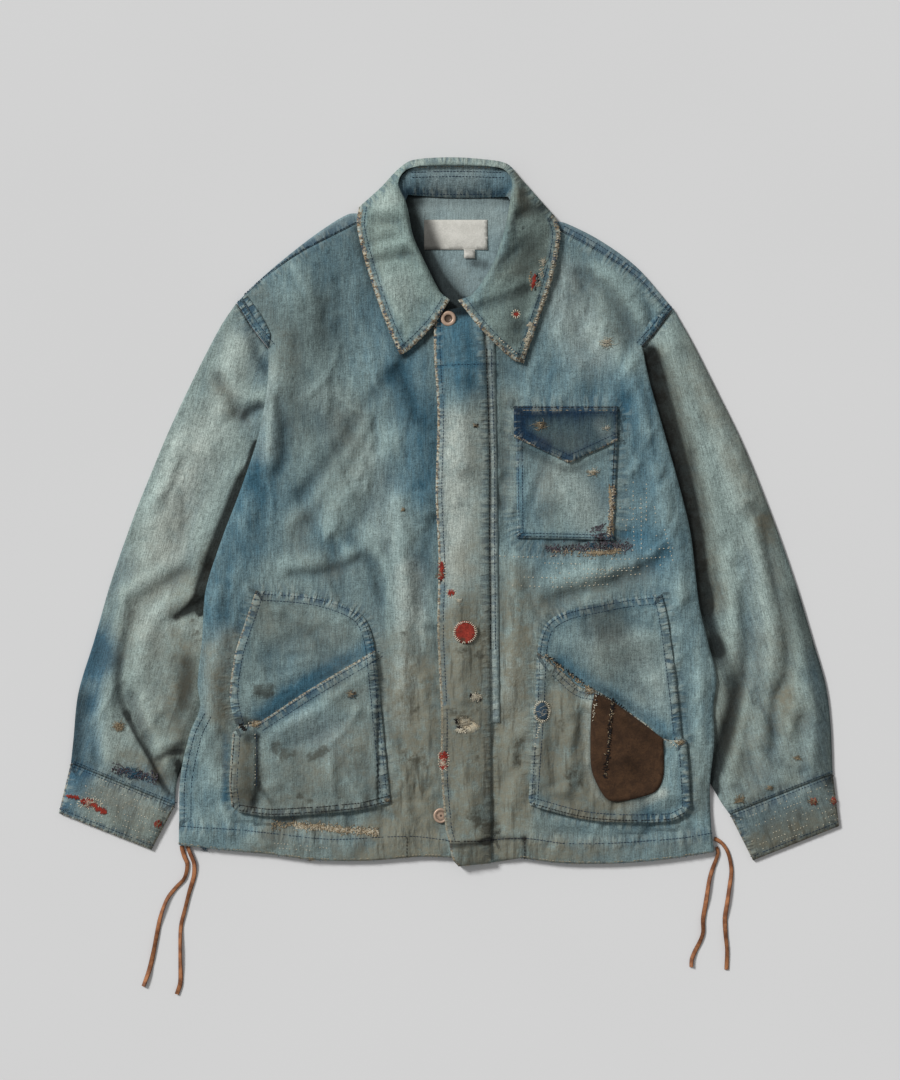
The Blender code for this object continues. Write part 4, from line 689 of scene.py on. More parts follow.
# Hand stitches, in the same layout: single running stitches and whipped lines
RUNNING_ROWS = [
    (0, 597, 551, 636, 550, 672, 548), (0, 590, 559, 630, 559, 664, 557), (0, 552, 568, 610, 569, 660, 565),
    (0, 520, 577, 580, 578, 640, 574), (0, 508, 585, 560, 587, 612, 584), (0, 545, 563, 580, 564),
    (0, 500, 556, 530, 557, 556, 556), (0, 633, 478, 633, 510, 634, 545), (0, 640, 486, 641, 515, 641, 548),
    (0, 646, 480, 646, 520), (0, 626, 490, 626, 530), (0, 620, 508, 640, 508, 654, 507),
    (0, 618, 520, 650, 519), (0, 654, 500, 656, 540), (0, 664, 530, 672, 560), (0, 612, 545, 612, 572),
    (0, 600, 570, 640, 571), (0, 560, 573, 610, 574), (0, 548, 582, 600, 583),
]
CUFF_ROWS = [
    (0, 100, 779, 166, 806), (0, 95, 783, 165, 812), (0, 86, 786, 163, 818), (0, 80, 790, 160, 823),
    (0, 70, 792, 158, 828), (0, 76, 800, 156, 833), (0, 68, 803, 154, 838), (0, 80, 814, 152, 843),
    (0, 735, 822, 832, 783), (0, 772, 813, 835, 789), (0, 756, 825, 836, 795), (0, 766, 829, 836, 801),
    (0, 752, 841, 837, 807), (0, 760, 844, 838, 813), (0, 757, 851, 838, 819),
    (0, 275, 843, 300, 845, 330, 848), (0, 280, 848, 310, 850), (0, 255.5, 734, 256, 758, 255.5, 784),
    (0, 112, 770, 134, 775, 156, 780),
]
WHIPPED_RUNS = [
    (0, 541, 722, 537, 735, 535, 748), (0, 613.5, 486, 612, 510, 608.5, 536), (-2, LEAF_LEFT_OUTER[1:4]),
    (-2, 515, 355, 498, 341), (0, 680, 742, 676, 746, 671, 742), (0, 249, 723, 256, 722),
]
DARK_WHIPS = [
    (0, PATCH_TEAR), (0, 599, 694, 612, 700, 628, 712),
]

# Whipped rings round holes and patches: centre and half sizes in pixels
WHIPPED_RINGS = [
    ((451.4, 593), (4.5, 4.5)), ((441.5, 571), (4, 11)), ((443.8, 760), (5, 11)), ((476, 697), (5, 4)),
    ((462, 729), (5, 3)), ((90, 803.5), (12, 5)),
]
DENSE_RINGS = [((465.3, 632), (10.9, 10.4)), ((542, 711), (7.5, 10)), ((516, 314.5), (3.6, 3.6))]

# The scrap that is darned on a hand pocket: name, slot, centre and half sizes in pixels, turn
BLUE_SCRAP = ("blue_scrap_pocket", "cloth_blue", (542, 711), (6.0, 8.5), radians(10))

# Darned fields by colour: centre and half sizes in pixels, turn in degrees
DARNS = {
    "tan": [
        ((611.3, 510), (26, 2.0), 95), ((604, 553), (12, 2.0), 2), ((352, 694), (2.6, 1.2), 10),
        ((255, 724), (3.5, 3.4), 30),
    ],
    "dark": [
        ((403.5, 510), (1.6, 1.2), 0), ((476, 426), (2.4, 1.8), 40), ((354, 693), (2.0, 1.0), 40),
        ((243, 727), (5, 2.4), -40), ((441, 578), (4, 2.4), 80),
    ],
    "red": [
        ((533.7, 281.6), (7.5, 2.6), 80), ((516, 314.5), (3.0, 3.0), 0), ((441.5, 571), (9.5, 2.6), 86),
        ((451.4, 593), (3.6, 3.4), 0), ((443.8, 760), (9.5, 3.8), 84), ((73, 797), (7, 2.4), -12),
        ((89, 803), (9, 4.8), -20), ((101, 810), (7, 3.4), -28), ((158, 824), (4, 4.0), -20),
        ((813.5, 801.5), (3.6, 5.0), 20), ((834, 801), (3, 4.5), 15),
    ],
    "white": [((476, 697), (4.5, 3.0), 30), ((460, 729), (5, 1.8), 8)],
}

# Looped darns by colour: half width in pixels, number of loops, then the run
LOOPS = {
    "tan": [
        (4.4, 330, POCKET_FOOT), (3.0, 240, POCKET_FOOT[1:]), (2.8, 130, CHEST_DARN),
        (3.4, 90, 586, 553, 622, 550), (4.0, 60, 552, 552, 584, 554, 606, 552), (4.0, 40, 118, 724, 121, 730),
        (1.6, 26, 530.5, 272, 530, 282, 532, 291), (2.0, 30, PATCH_TEAR),
        (1.8, 90, 545, 655, 566, 672, 590, 690),
    ],
    "white": [
        (3.4, 260, 294, 826, 340, 829, 379, 832), (2.4, 50, 613, 490, 610, 520),
        (1.0, 16, 596, 694, 592, 720), (2.0, 22, 543, 262, 538, 287), (2.2, 60, 531, 322, 527, 342, 525, 352),
        (3.4, 26, 439, 754, 447, 768), (2.4, 40, 459, 730, 466, 731),
    ],
    "plum": [
        (5.0, 330, 546, 550, 590, 547, 632, 546), (8.0, 130, 597, 526, 603, 544), (3.0, 60, CHEST_DARN),
        (5.0, 220, 112, 769, 134, 774, 157, 779),
    ],
    "dark": [
        (3.0, 50, 552, 549, 590, 546, 628, 546), (5.0, 36, 597, 534, 603, 544), (2.4, 110, PATCH_TEAR),
        (1.4, 26, 536, 272, 538, 282, 534.5, 291), (1.6, 40, 547, 656, 590, 688),
        (2.0, 26, 455, 718, 460, 728), (2.6, 24, 470, 694, 481, 701),
    ],
    "indigo": [(4.0, 50, 120, 771, 157, 779)],
    "red": [(2.8, 60, 441, 562, 441.5, 580), (3.2, 70, 442, 752, 445, 768)],
}

# Frayed spots by colour: centre and reach in pixels, number of yarn ends
TUFTS = {
    "tan": [
        ((541, 425), 7, 26), ((594, 473), 4, 12), ((119.5, 726.5), 7, 36), ((739.5, 799.5), 6, 30),
        ((770, 787.5), 4, 18), ((797, 758), 4, 20), ((352, 694), 5, 22), ((403, 509.5), 3, 12),
        ((475.5, 426), 3, 14), ((434, 322), 4, 16), ((256, 723), 5, 26), ((590, 690), 6, 26),
        ((680, 742), 5, 22), ((388, 800), 3, 10), ((813, 801), 5, 18), ((834, 801), 4, 14),
        ((158, 824), 4, 12), ((594, 553), 4, 16), ((612, 551), 4, 14), ((440, 575), 5, 20),
        ((311, 860), 4, 10),
    ],
    "pale": [
        ((607, 428), 4, 10), ((593, 472), 5, 22), ((607, 343), 7, 30), ((476, 697), 6, 34),
        ((543, 262), 4, 20), ((538, 285), 3, 12), ((530, 325), 4, 24), ((527, 340), 4, 24),
        ((465, 723), 6, 26), ((460, 600), 4, 10), ((542, 711), 9, 20), ((90, 803), 7, 18),
        ((443, 762), 5, 20),
    ],
    "blue": [
        ((353, 695), 5, 10), ((592, 545), 4, 14), ((610, 546), 4, 14), ((134, 774), 8, 30),
        ((204.5, 850), 4, 10),
    ],
}

# Frayed edges by colour: yarns for each metre, length in millimetres, side they point to, run
FRINGES = {
    "tan": [
        (260, 1.5, -1, LEAF_RIGHT_OUTER), (300, 1.6, 1, LEAF_LEFT_OUTER), (260, 1.6, 1, LEAF_LEFT_LOWER),
        (220, 1.4, -1, HEM_RIGHT), (220, 1.4, -1, HEM_LEFT), (200, 1.4, -1, HEM_CORNER),
        (300, 1.4, 1, HAND_OPENING_RIGHT[2:]), (360, 1.6, 1, HAND_OPENING_LEFT[1:4]),
        (260, 1.3, -1, CHEST_FLAP[1:3]), (260, 1.3, -1, CHEST_FLAP[2:4]), (160, 1.2, -1, CUFF_RIGHT[1:3]),
        (160, 1.2, 1, CUFF_LEFT[1:3]),
    ],
    "pale": [
        (160, 1.3, -1, LEAF_RIGHT_LOWER), (420, 1.9, 1, LEAF_LEFT_OUTER), (220, 1.2, -1, PLACKET_EDGE),
        (420, 1.7, 1, HAND_OPENING_LEFT[1:4]), (800, 1.8, -1, TORN_HOLE[:4]),
        (500, 1.6, -1, TORN_HOLE[3:] + TORN_HOLE[:1]), (120, 1.0, 1, HAND_POCKET_RIGHT[0]),
        (120, 1.0, -1, HAND_POCKET_LEFT[0]),
    ],
    "blue": [(160, 1.6, -1, HEM_RIGHT), (160, 1.6, -1, HEM_LEFT)],
}


def metres(point):
    """Turn a point of the photograph into the jacket's own frame."""
    return ((point[0] - CENTRE_PX[0]) * PIXEL, (CENTRE_PX[1] - point[1]) * PIXEL)


def run_of(line):
    """The points of a line that is given as one named run or as x, y, x, y."""
    return line[0] if len(line) == 1 else list(zip(line[::2], line[1::2]))


def smooth(points, step=PLAN_STEP):
    """Read a smooth curve through the points, with stretches no longer than the step."""
    pts = np.array([metres(p) for p in points])
    if len(pts) < 3:
        slopes = np.repeat([pts[-1] - pts[0]], 2, axis=0)
    else:
        slopes = np.gradient(pts, axis=0)
        slopes[1:-1] = (pts[2:] - pts[:-2]) / 2
    out = [pts[0]]
    for a, b, ta, tb in zip(pts, pts[1:], slopes, slopes[1:]):
        length = np.linalg.norm(b - a)
        ta = ta * min(1, length / max(np.linalg.norm(ta), TINY))
        tb = tb * min(1, length / max(np.linalg.norm(tb), TINY))
        count = max(1, int(np.ceil(length / step)))
        for i in range(1, count + 1):
            t = i / count
            out.append((2 * t**3 - 3 * t**2 + 1) * a + (t**3 - 2 * t**2 + t) * ta
                       + (3 * t**2 - 2 * t**3) * b + (t**3 - t**2) * tb)
    return np.array(out)


def directions(line):
    """Unit vectors along a line at each of its points, and those to its left in the plan."""
    along = np.gradient(line, axis=0)
    along /= np.maximum(np.linalg.norm(along, axis=1), TINY)[:, None]
    return along, np.stack([-along[:, 1], along[:, 0]], axis=1)


def outline(*runs):
    """Join runs that meet end to end into one closed outline, each turned the way it has to go."""
    loop = list(smooth(runs[0]))
    for run in runs[1:]:
        pts = smooth(run)
        if np.linalg.norm(pts[-1] - loop[-1]) < np.linalg.norm(pts[0] - loop[-1]):
            pts = pts[::-1]
        loop.extend(pts)
    kept = [loop[0]]
    for point in loop[1:]:
        if np.linalg.norm(point - kept[-1]) > SAME_POINT:
            kept.append(point)
    if np.linalg.norm(kept[0] - kept[-1]) < SAME_POINT:
        kept.pop()
    return np.array(kept)


def ring_of(corners):
    return corners + corners[:1]


def sides_of(corners):
    return [[a, b] for a, b in zip(corners, ring_of(corners)[1:])]


def polygon(corners):
    """A closed outline with straight sides, none longer than the plan's step."""
    return outline(*sides_of(corners))


def circle(centre, radius):
    x, y = metres(centre)
    sides = int(2 * pi * radius / PLAN_STEP)
    turns = [2 * pi * i / sides for i in range(sides)]
    return np.array([(x + radius * cos(t), y + radius * sin(t)) for t in turns])


def edge_strip(runs, inward, overrun=0.0):
    """The strip along runs where a folded piece's two sheets are joined, on the runs' left side for +1."""
    pts = np.concatenate([smooth(runs[0])] + [smooth(run)[1:] for run in runs[1:]])
    along, left = directions(pts)
    pts[0] -= along[0] * overrun
    pts[-1] += along[-1] * overrun
    return np.concatenate([pts, (pts + inward * FOLDED_EDGE * left)[::-1]])


def shifted(run, dx, dy):
    return [(x + dx, y + dy) for x, y in run]


def folds_at(part, outer, inner):
    """The two strips of a flattened tube, along its outer and its inner side: each a run and a direction."""
    return {f"{part}_{side}_fold": edge_strip([run], inward, FOLD_OVERRUN)
            for side, (run, inward) in (("outer", outer), ("inner", inner))}


# The plan's regions: the outlines along which the cloth is cut, and the strips where two sheets are joined
REGIONS = {
    "collar_behind": outline(COLLAR_SILHOUETTE, COLLAR_BEHIND),
    "collar_front": outline(COLLAR_SILHOUETTE, LEAF_LEFT_OUTER, LEAF_LEFT_LOWER, ROLL_LINE, LEAF_RIGHT_LOWER,
                            LEAF_RIGHT_OUTER),
    "collar_fold": edge_strip([COLLAR_SILHOUETTE], -1),
    "stand": outline(STAND_ROLL_RIGHT, NECK_BACK, STAND_ROLL_LEFT, [(461, 303), (481, 302)], NECK_LEFT,
                     STAND_TOP, NECK_RIGHT, [(446, 307), (447, 301.5)]),
    "back": outline(NECK_BACK, [(508, 197), (518, 192)], SHOULDER_LEFT, ARMHOLE_LEFT, SIDE_LEFT,
                    HEM_SIDE_LEFT, HEM_LEFT, HEM_MIDDLE, HEM_UNDERLAP, HEM_RIGHT, HEM_SIDE_RIGHT, SIDE_RIGHT,
                    ARMHOLE_RIGHT, SHOULDER_RIGHT, [(397, 192), (408, 195)]),
    "shoulder_right": outline(SHOULDER_RIGHT, SHOULDER_END_RIGHT, SHOULDER_SEAM_RIGHT,
                              [(392, 204), (397, 192)]),
    "shoulder_left": outline(SHOULDER_LEFT, SHOULDER_END_LEFT, SHOULDER_SEAM_LEFT, [(521, 206), (518, 192)]),
    "shoulder_fold_right": edge_strip([SHOULDER_RIGHT], 1),
    "shoulder_fold_left": edge_strip([SHOULDER_LEFT], -1),
    "front_right": outline(NECK_RIGHT, UNDERLAP_TOP, *UNDERLAP_EDGE, HEM_UNDERLAP, HEM_RIGHT, HEM_SIDE_RIGHT,
                           SIDE_RIGHT, ARMHOLE_RIGHT, SHOULDER_END_RIGHT, SHOULDER_SEAM_RIGHT),
    "front_left": outline(NECK_LEFT, NECK_LEFT_FRONT, PLACKET_EDGE, PLACKET_CORNER, HEM_CORNER, HEM_LEFT,
                          HEM_SIDE_LEFT, SIDE_LEFT, ARMHOLE_LEFT, SHOULDER_END_LEFT, SHOULDER_SEAM_LEFT),
    "hem_right": outline(HEM_LINE_RIGHT, HEM_LINE_MIDDLE, UNDERLAP_EDGE[2], HEM_UNDERLAP, HEM_RIGHT,
                         HEM_SIDE_RIGHT),
    "hem_left": outline(HEM_LINE_MIDDLE, HEM_LINE_LEFT, HEM_SIDE_LEFT, HEM_LEFT, HEM_CORNER, PLACKET_CORNER),
    "hem_middle": outline(HEM_LINE_LEFT, HEM_SIDE_LEFT, HEM_LEFT, HEM_MIDDLE, UNDERLAP_EDGE[2]),
    "hem_fold_right": edge_strip([HEM_RIGHT], 1),
    "hem_fold_left": edge_strip([HEM_CORNER, HEM_LEFT], 1),
    "sleeve_right": outline(SLEEVE_RIGHT_OUTER, [(70.5, 763.2), (174.3, 805.3)], SLEEVE_RIGHT_INNER,
                            shifted(ARMHOLE_RIGHT, -0.7, 0.7)),
    "sleeve_left": outline(SLEEVE_LEFT_OUTER, [(833, 774.1), (730.1, 814.5)], SLEEVE_LEFT_INNER,
                           shifted(ARMHOLE_LEFT, 0.7, 0.7)),
    **folds_at("sleeve_right", (SLEEVE_RIGHT_OUTER, 1), (SLEEVE_RIGHT_INNER[1:], -1)),
    **folds_at("sleeve_left", (SLEEVE_LEFT_OUTER, -1), (SLEEVE_LEFT_INNER[1:], 1)),
    "cuff_right": polygon(CUFF_RIGHT),
    "cuff_left": polygon(CUFF_LEFT),
    **folds_at("cuff_right", (CUFF_RIGHT[:2], 1), (CUFF_RIGHT[2:], 1)),
    **folds_at("cuff_left", (CUFF_LEFT[:2], -1), (CUFF_LEFT[2:], -1)),
    "placket": outline(NECK_LEFT_FRONT, PLACKET_EDGE, PLACKET_CORNER, HEM_CORNER[:2], PLACKET_SEAM),
    "facing_band": polygon(FACING_BAND),
    "torn_hole": outline(ring_of(TORN_HOLE)),
    "band_right": outline(ARMHOLE_RIGHT, BAND_RIGHT_INNER, SHOULDER_END_RIGHT),
    "band_left": outline(ARMHOLE_LEFT, BAND_LEFT_INNER, SHOULDER_END_LEFT),
    "chest_pocket": polygon(CHEST_POCKET),
    "chest_flap": polygon(CHEST_FLAP),
    "hand_pocket_right": outline(*HAND_POCKET_RIGHT),
    "hand_pocket_left": outline(*HAND_POCKET_LEFT),
    "brown_patch": outline(*BROWN_PATCH),
    "red_patch": circle(RED_PATCH_CENTRE, RED_PATCH_RADIUS_PX * PIXEL),
    "neck_label": polygon(NECK_LABEL),
    "size_tab": polygon(SIZE_TAB),
    "top_button": circle(TOP_BUTTON_PX, BUTTON_RADIUS + SEAM_GAP),
    "bottom_button": circle(BOTTOM_BUTTON_PX, BUTTON_RADIUS + SEAM_GAP),
}

# The slanted pocket openings: each line parts its pocket's front panel, below it, from the patch behind
OPENINGS = {
    "hand_panel_right": ("hand_pocket_right", HAND_OPENING_RIGHT),
    "hand_panel_left": ("hand_pocket_left", HAND_OPENING_LEFT),
}

# Sheets from the floor up: node, its lower (0) or upper (1) sheet or a button (None), regions, wall and kind
SHEETS = [
    ("collar", 0, ["collar_behind"], COLLAR_CLOTH, None),
    ("sleeve_right", 0, ["sleeve_right"], CLOTH, None),
    ("sleeve_left", 0, ["sleeve_left"], CLOTH, None),
    ("cuff_right", 0, ["cuff_right"], CLOTH, None),
    ("cuff_left", 0, ["cuff_left"], CLOTH, None),
    ("sleeve_right", 1, ["sleeve_right"], CLOTH, "sleeve"),
    ("sleeve_left", 1, ["sleeve_left"], CLOTH, "sleeve"),
    ("cuff_right", 1, ["cuff_right"], CLOTH, "cuff"),
    ("cuff_left", 1, ["cuff_left"], CLOTH, "cuff"),
    ("back", 0, ["back"], CLOTH, None),
    ("back", 1, ["shoulder_right", "shoulder_left", "hem_right", "hem_middle"], CLOTH, None),
    ("front_right", 0, ["hem_right"], CLOTH, None),
    ("front_right", 1, ["front_right"], CLOTH, "body"),
    ("bottom_button", None, ["bottom_button"], BUTTON_HEIGHT, None),
    ("front_left", 0, ["hem_left"], CLOTH, None),
    ("front_left", 1, ["front_left"], CLOTH, "body"),
    ("fly_facing", 0, ["facing_band"], PATCH_CLOTH, None),
    ("fly_placket", 0, ["placket"], CLOTH, None),
    ("top_button", None, ["top_button"], BUTTON_HEIGHT, None),
    ("armhole_band_right", 0, ["band_right"], PATCH_CLOTH, None),
    ("armhole_band_left", 0, ["band_left"], PATCH_CLOTH, None),
    ("chest_pocket", 0, ["chest_pocket"], CLOTH, "pocket"),
    ("chest_pocket_flap", 0, ["chest_flap"], CLOTH, None),
    ("hand_pocket_right", 0, ["hand_pocket_right"], CLOTH, "pocket"),
    ("hand_pocket_left", 0, ["hand_pocket_left"], CLOTH, "pocket"),
    ("hand_pocket_right_panel", 0, ["hand_panel_right"], CLOTH, "pocket"),
    ("hand_pocket_left_panel", 0, ["hand_panel_left"], CLOTH, "pocket"),
    ("brown_patch", 0, ["brown_patch"], PATCH_CLOTH, None),
    ("red_patch", 0, ["red_patch"], PATCH_CLOTH, None),
    ("neck_label", 0, ["neck_label"], LABEL_CLOTH, None),
    ("size_tab", 0, ["size_tab"], LABEL_CLOTH, None),
    ("collar_stand", 0, ["stand"], CLOTH, "stand"),
    ("collar", 1, ["collar_front"], COLLAR_CLOTH, "collar"),
]

# Where a node's lower and upper sheet are joined, where it has a hole, and what covers the whole jacket
JOINS = {
    "collar": ["collar_fold"],
    "back": ["shoulder_fold_right", "shoulder_fold_left", "hem_fold_right", "hem_fold_left"],
    "front_right": ["hem_fold_right"],
    "front_left": ["hem_fold_left"],
    **{tube: [f"{tube}_outer_fold", f"{tube}_inner_fold"] for tube in SLEEVES},
}
HOLES = {"fly_placket": "torn_hole"}
COVERING = ["back", "sleeve_right", "sleeve_left", "cuff_right", "cuff_left", "collar_front"]

# Pieces whose edges are turned in and stitched down, and how wide the doubled band is
TURNED_EDGES = {
    "collar": 0.0070, "fly_placket": 0.0050, "cuff_right": 0.0060, "cuff_left": 0.0060,
    "chest_pocket": 0.0060, "chest_pocket_flap": 0.0070, **dict.fromkeys(POCKETS, 0.0095),
}

# Short creases of each kind of sheet: how many, the box they lie in, their lean and its spread in degrees
SMALL_CREASES = {
    "body": [(120, (205, 250, 440, 850), 78, 24), (120, (495, 260, 710, 850), 102, 24),
             (44, (436, 330, 492, 860), 10, 40), (50, (190, 780, 712, 862), 85, 20)],
    "sleeve": [(34, (75, 420, 265, 800), 112, 22), (60, (645, 320, 835, 800), 68, 22)],
    "pocket": [(34, (230, 595, 390, 815), 35, 45), (34, (530, 595, 690, 820), -35, 45),
               (8, (515, 440, 617, 540), 80, 40)],
    "collar": [(14, (360, 200, 440, 350), 20, 30), (14, (470, 200, 560, 360), -25, 30)],
}
# Soft hills of each kind of sheet: their length and height
RUMPLE = {"body": (0.060, 0.0008), "sleeve": (0.050, 0.0006), "pocket": (0.040, 0.0005),
          "collar": (0.035, 0.0004), "cuff": (0.040, 0.0005)}

# Seams along which each piece of cloth is puckered
POCKET_RIGHT_SEAMS = [sum(HAND_POCKET_RIGHT, []), HAND_OPENING_RIGHT]
POCKET_LEFT_SEAMS = [sum(HAND_POCKET_LEFT, []), HAND_OPENING_LEFT]
CHEST_SEAMS = [ring_of(CHEST_POCKET), ring_of(CHEST_FLAP)]
SEAMS = {
    "back": [SHOULDER_SEAM_RIGHT, SHOULDER_SEAM_LEFT, HEM_LINE_RIGHT, HEM_LINE_LEFT],
    "front_right": [SHOULDER_SEAM_RIGHT, ARMHOLE_RIGHT, SIDE_STRIP, HEM_LINE_RIGHT, POCKET_RIGHT_SEAMS[0]],
    "front_left": [SHOULDER_SEAM_LEFT, ARMHOLE_LEFT, HEM_LINE_LEFT, PLACKET_SEAM, POCKET_LEFT_SEAMS[0],
                   *CHEST_SEAMS],
    "fly_placket": [PLACKET_EDGE, PLACKET_SEAM],
    "fly_facing": [PLACKET_SEAM],
    "collar": [LEAF_RIGHT_OUTER, LEAF_RIGHT_LOWER, LEAF_LEFT_OUTER, LEAF_LEFT_LOWER, COLLAR_SILHOUETTE],
    "collar_stand": [NECK_BACK, NECK_LEFT, NECK_RIGHT],
    "sleeve_right": [ARMHOLE_RIGHT, CUFF_RIGHT[3:] + CUFF_RIGHT[:1]],
    "sleeve_left": [ARMHOLE_LEFT, CUFF_LEFT[3:] + CUFF_LEFT[:1]],
    "cuff_right": sides_of(CUFF_RIGHT),
    "cuff_left": sides_of(CUFF_LEFT),
    "armhole_band_right": [ARMHOLE_RIGHT, BAND_RIGHT_INNER],
    "armhole_band_left": [ARMHOLE_LEFT, BAND_LEFT_INNER],
    "chest_pocket": CHEST_SEAMS[:1],
    "chest_pocket_flap": CHEST_SEAMS[1:],
    "hand_pocket_right": POCKET_RIGHT_SEAMS[:1],
    "hand_pocket_left": POCKET_LEFT_SEAMS[:1],
    "hand_pocket_right_panel": POCKET_RIGHT_SEAMS,
    "hand_pocket_left_panel": POCKET_LEFT_SEAMS,
    "brown_patch": BROWN_PATCH,
}

# Cut or folded edges that are rubbed through, by piece
WORN_EDGES = {
    "collar": [LEAF_RIGHT_OUTER, LEAF_RIGHT_LOWER, LEAF_LEFT_OUTER, LEAF_LEFT_LOWER],
    "fly_placket": [PLACKET_EDGE, PLACKET_CORNER, ring_of(TORN_HOLE)],
    "front_right": [HEM_RIGHT],
    "front_left": [HEM_LEFT],
    "chest_pocket_flap": [CHEST_FLAP[1:4]],
    "hand_pocket_right": [HAND_POCKET_RIGHT[3][1:]],
    "hand_pocket_right_panel": [HAND_OPENING_RIGHT, HAND_POCKET_RIGHT[2]],
    "hand_pocket_left_panel": [HAND_OPENING_LEFT],
    "cuff_right": [CUFF_RIGHT[1:3], CUFF_RIGHT[:2], CUFF_RIGHT[2:]],
    "cuff_left": [CUFF_LEFT[1:3], CUFF_LEFT[:2], CUFF_LEFT[2:]],
}

# Pieces that are rubbed along their whole edge
WORN_ALL_ROUND = ("armhole_band_right", "armhole_band_left", "brown_patch", "red_patch", "neck_label",
                  "size_tab")

# For each piece of cloth: the slot of its finish, and its flat width and length when it was cut
CUTS = {
    "back": ("denim_inside", (0.66, 0.80)),
    "front_right": ("denim_body", (0.38, 0.72)),
    "front_left": ("denim_body", (0.36, 0.72)),
    "fly_placket": ("denim_body", (0.058, 0.60)),
    "fly_facing": ("denim_body", (0.022, 0.44)),
    **dict.fromkeys(SLEEVES[:2], ("denim_sleeve", (0.50, 0.56))),
    **dict.fromkeys(SLEEVES[2:], ("denim_sleeve", (0.24, 0.07))),
    "armhole_band_right": ("denim_sleeve", (0.020, 0.058)),
    "armhole_band_left": ("denim_sleeve", (0.014, 0.048)),
    "collar_stand": ("denim_inside", (0.36, 0.045)),
    "collar": ("denim_collar", (0.50, 0.12)),
    "chest_pocket": ("denim_pocket", (0.107, 0.135)),
    "chest_pocket_flap": ("denim_indigo", (0.110, 0.062)),
    **dict.fromkeys(POCKETS[::2], ("denim_pocket", (0.170, 0.240))),
    **dict.fromkeys(POCKETS[1::2], ("denim_pocket", (0.170, 0.170))),
    "brown_patch": ("cloth_brown", (0.078, 0.115)),
    "red_patch": ("cloth_red", (0.025, 0.025)),
    "neck_label": ("label_blank", (0.067, 0.032)),
    "size_tab": ("label_blank", (0.0125, 0.0105)),
}

# Buttons' profiles: radius and height as shares of the button's own, and how rubbed the metal is
RIM = [(0, 0, 0), (0.92, 0, 0), (1, 0.2, 0.4), (1, 0.6, 0.9), (0.96, 0.85, 1), (0.88, 0.97, 1)]
HOLLOW_TOP = [*RIM, (0.78, 1, 1), (0.66, 0.98, 0.9), (0.54, 0.9, 0.7), (0.47, 0.72, 0.2), (0.42, 0.4, 0),
              (0.2, 0.32, 0), (0, 0.31, 0)]
DISHED_TOP = [*RIM, (0.80, 0.99, 1), (0.72, 0.9, 0.7), (0.62, 0.82, 0.5), (0.4, 0.8, 0.7), (0.22, 0.86, 0.9),
              (0.1, 0.8, 0.3), (0, 0.78, 0.2)]
BUTTONS = {"top_button": (TOP_BUTTON_PX, HOLLOW_TOP), "bottom_button": (BOTTOM_BUTTON_PX, DISHED_TOP)}

# A lace's section: across and up from its middle, as shares of its width and thickness
LACE_SECTION = np.array([(-0.5, 0.0), (-0.42, 0.42), (-0.2, 0.5), (0.2, 0.5), (0.42, 0.42), (0.5, 0.0),
                         (0.42, -0.42), (0.2, -0.5), (-0.2, -0.5), (-0.42, -0.42)])


def srgb(red, green, blue):
    """A colour from its display values to the linear ones that a shader takes."""
    return tuple((part / 255 / 12.92) if part <= 10 else ((part / 255 + 0.055) / 1.055)**2.4
                 for part in (red, green, blue))


def colour_setting(name, description, *display):
    return FloatVectorProperty(name=name, description=description, subtype="COLOR", size=3, min=0, max=1,
                               default=srgb(*display))


def length_setting(name, description, value):
    return FloatProperty(name=name, description=description, default=value, min=0, soft_max=0.05,
                         subtype="DISTANCE", unit="LENGTH")


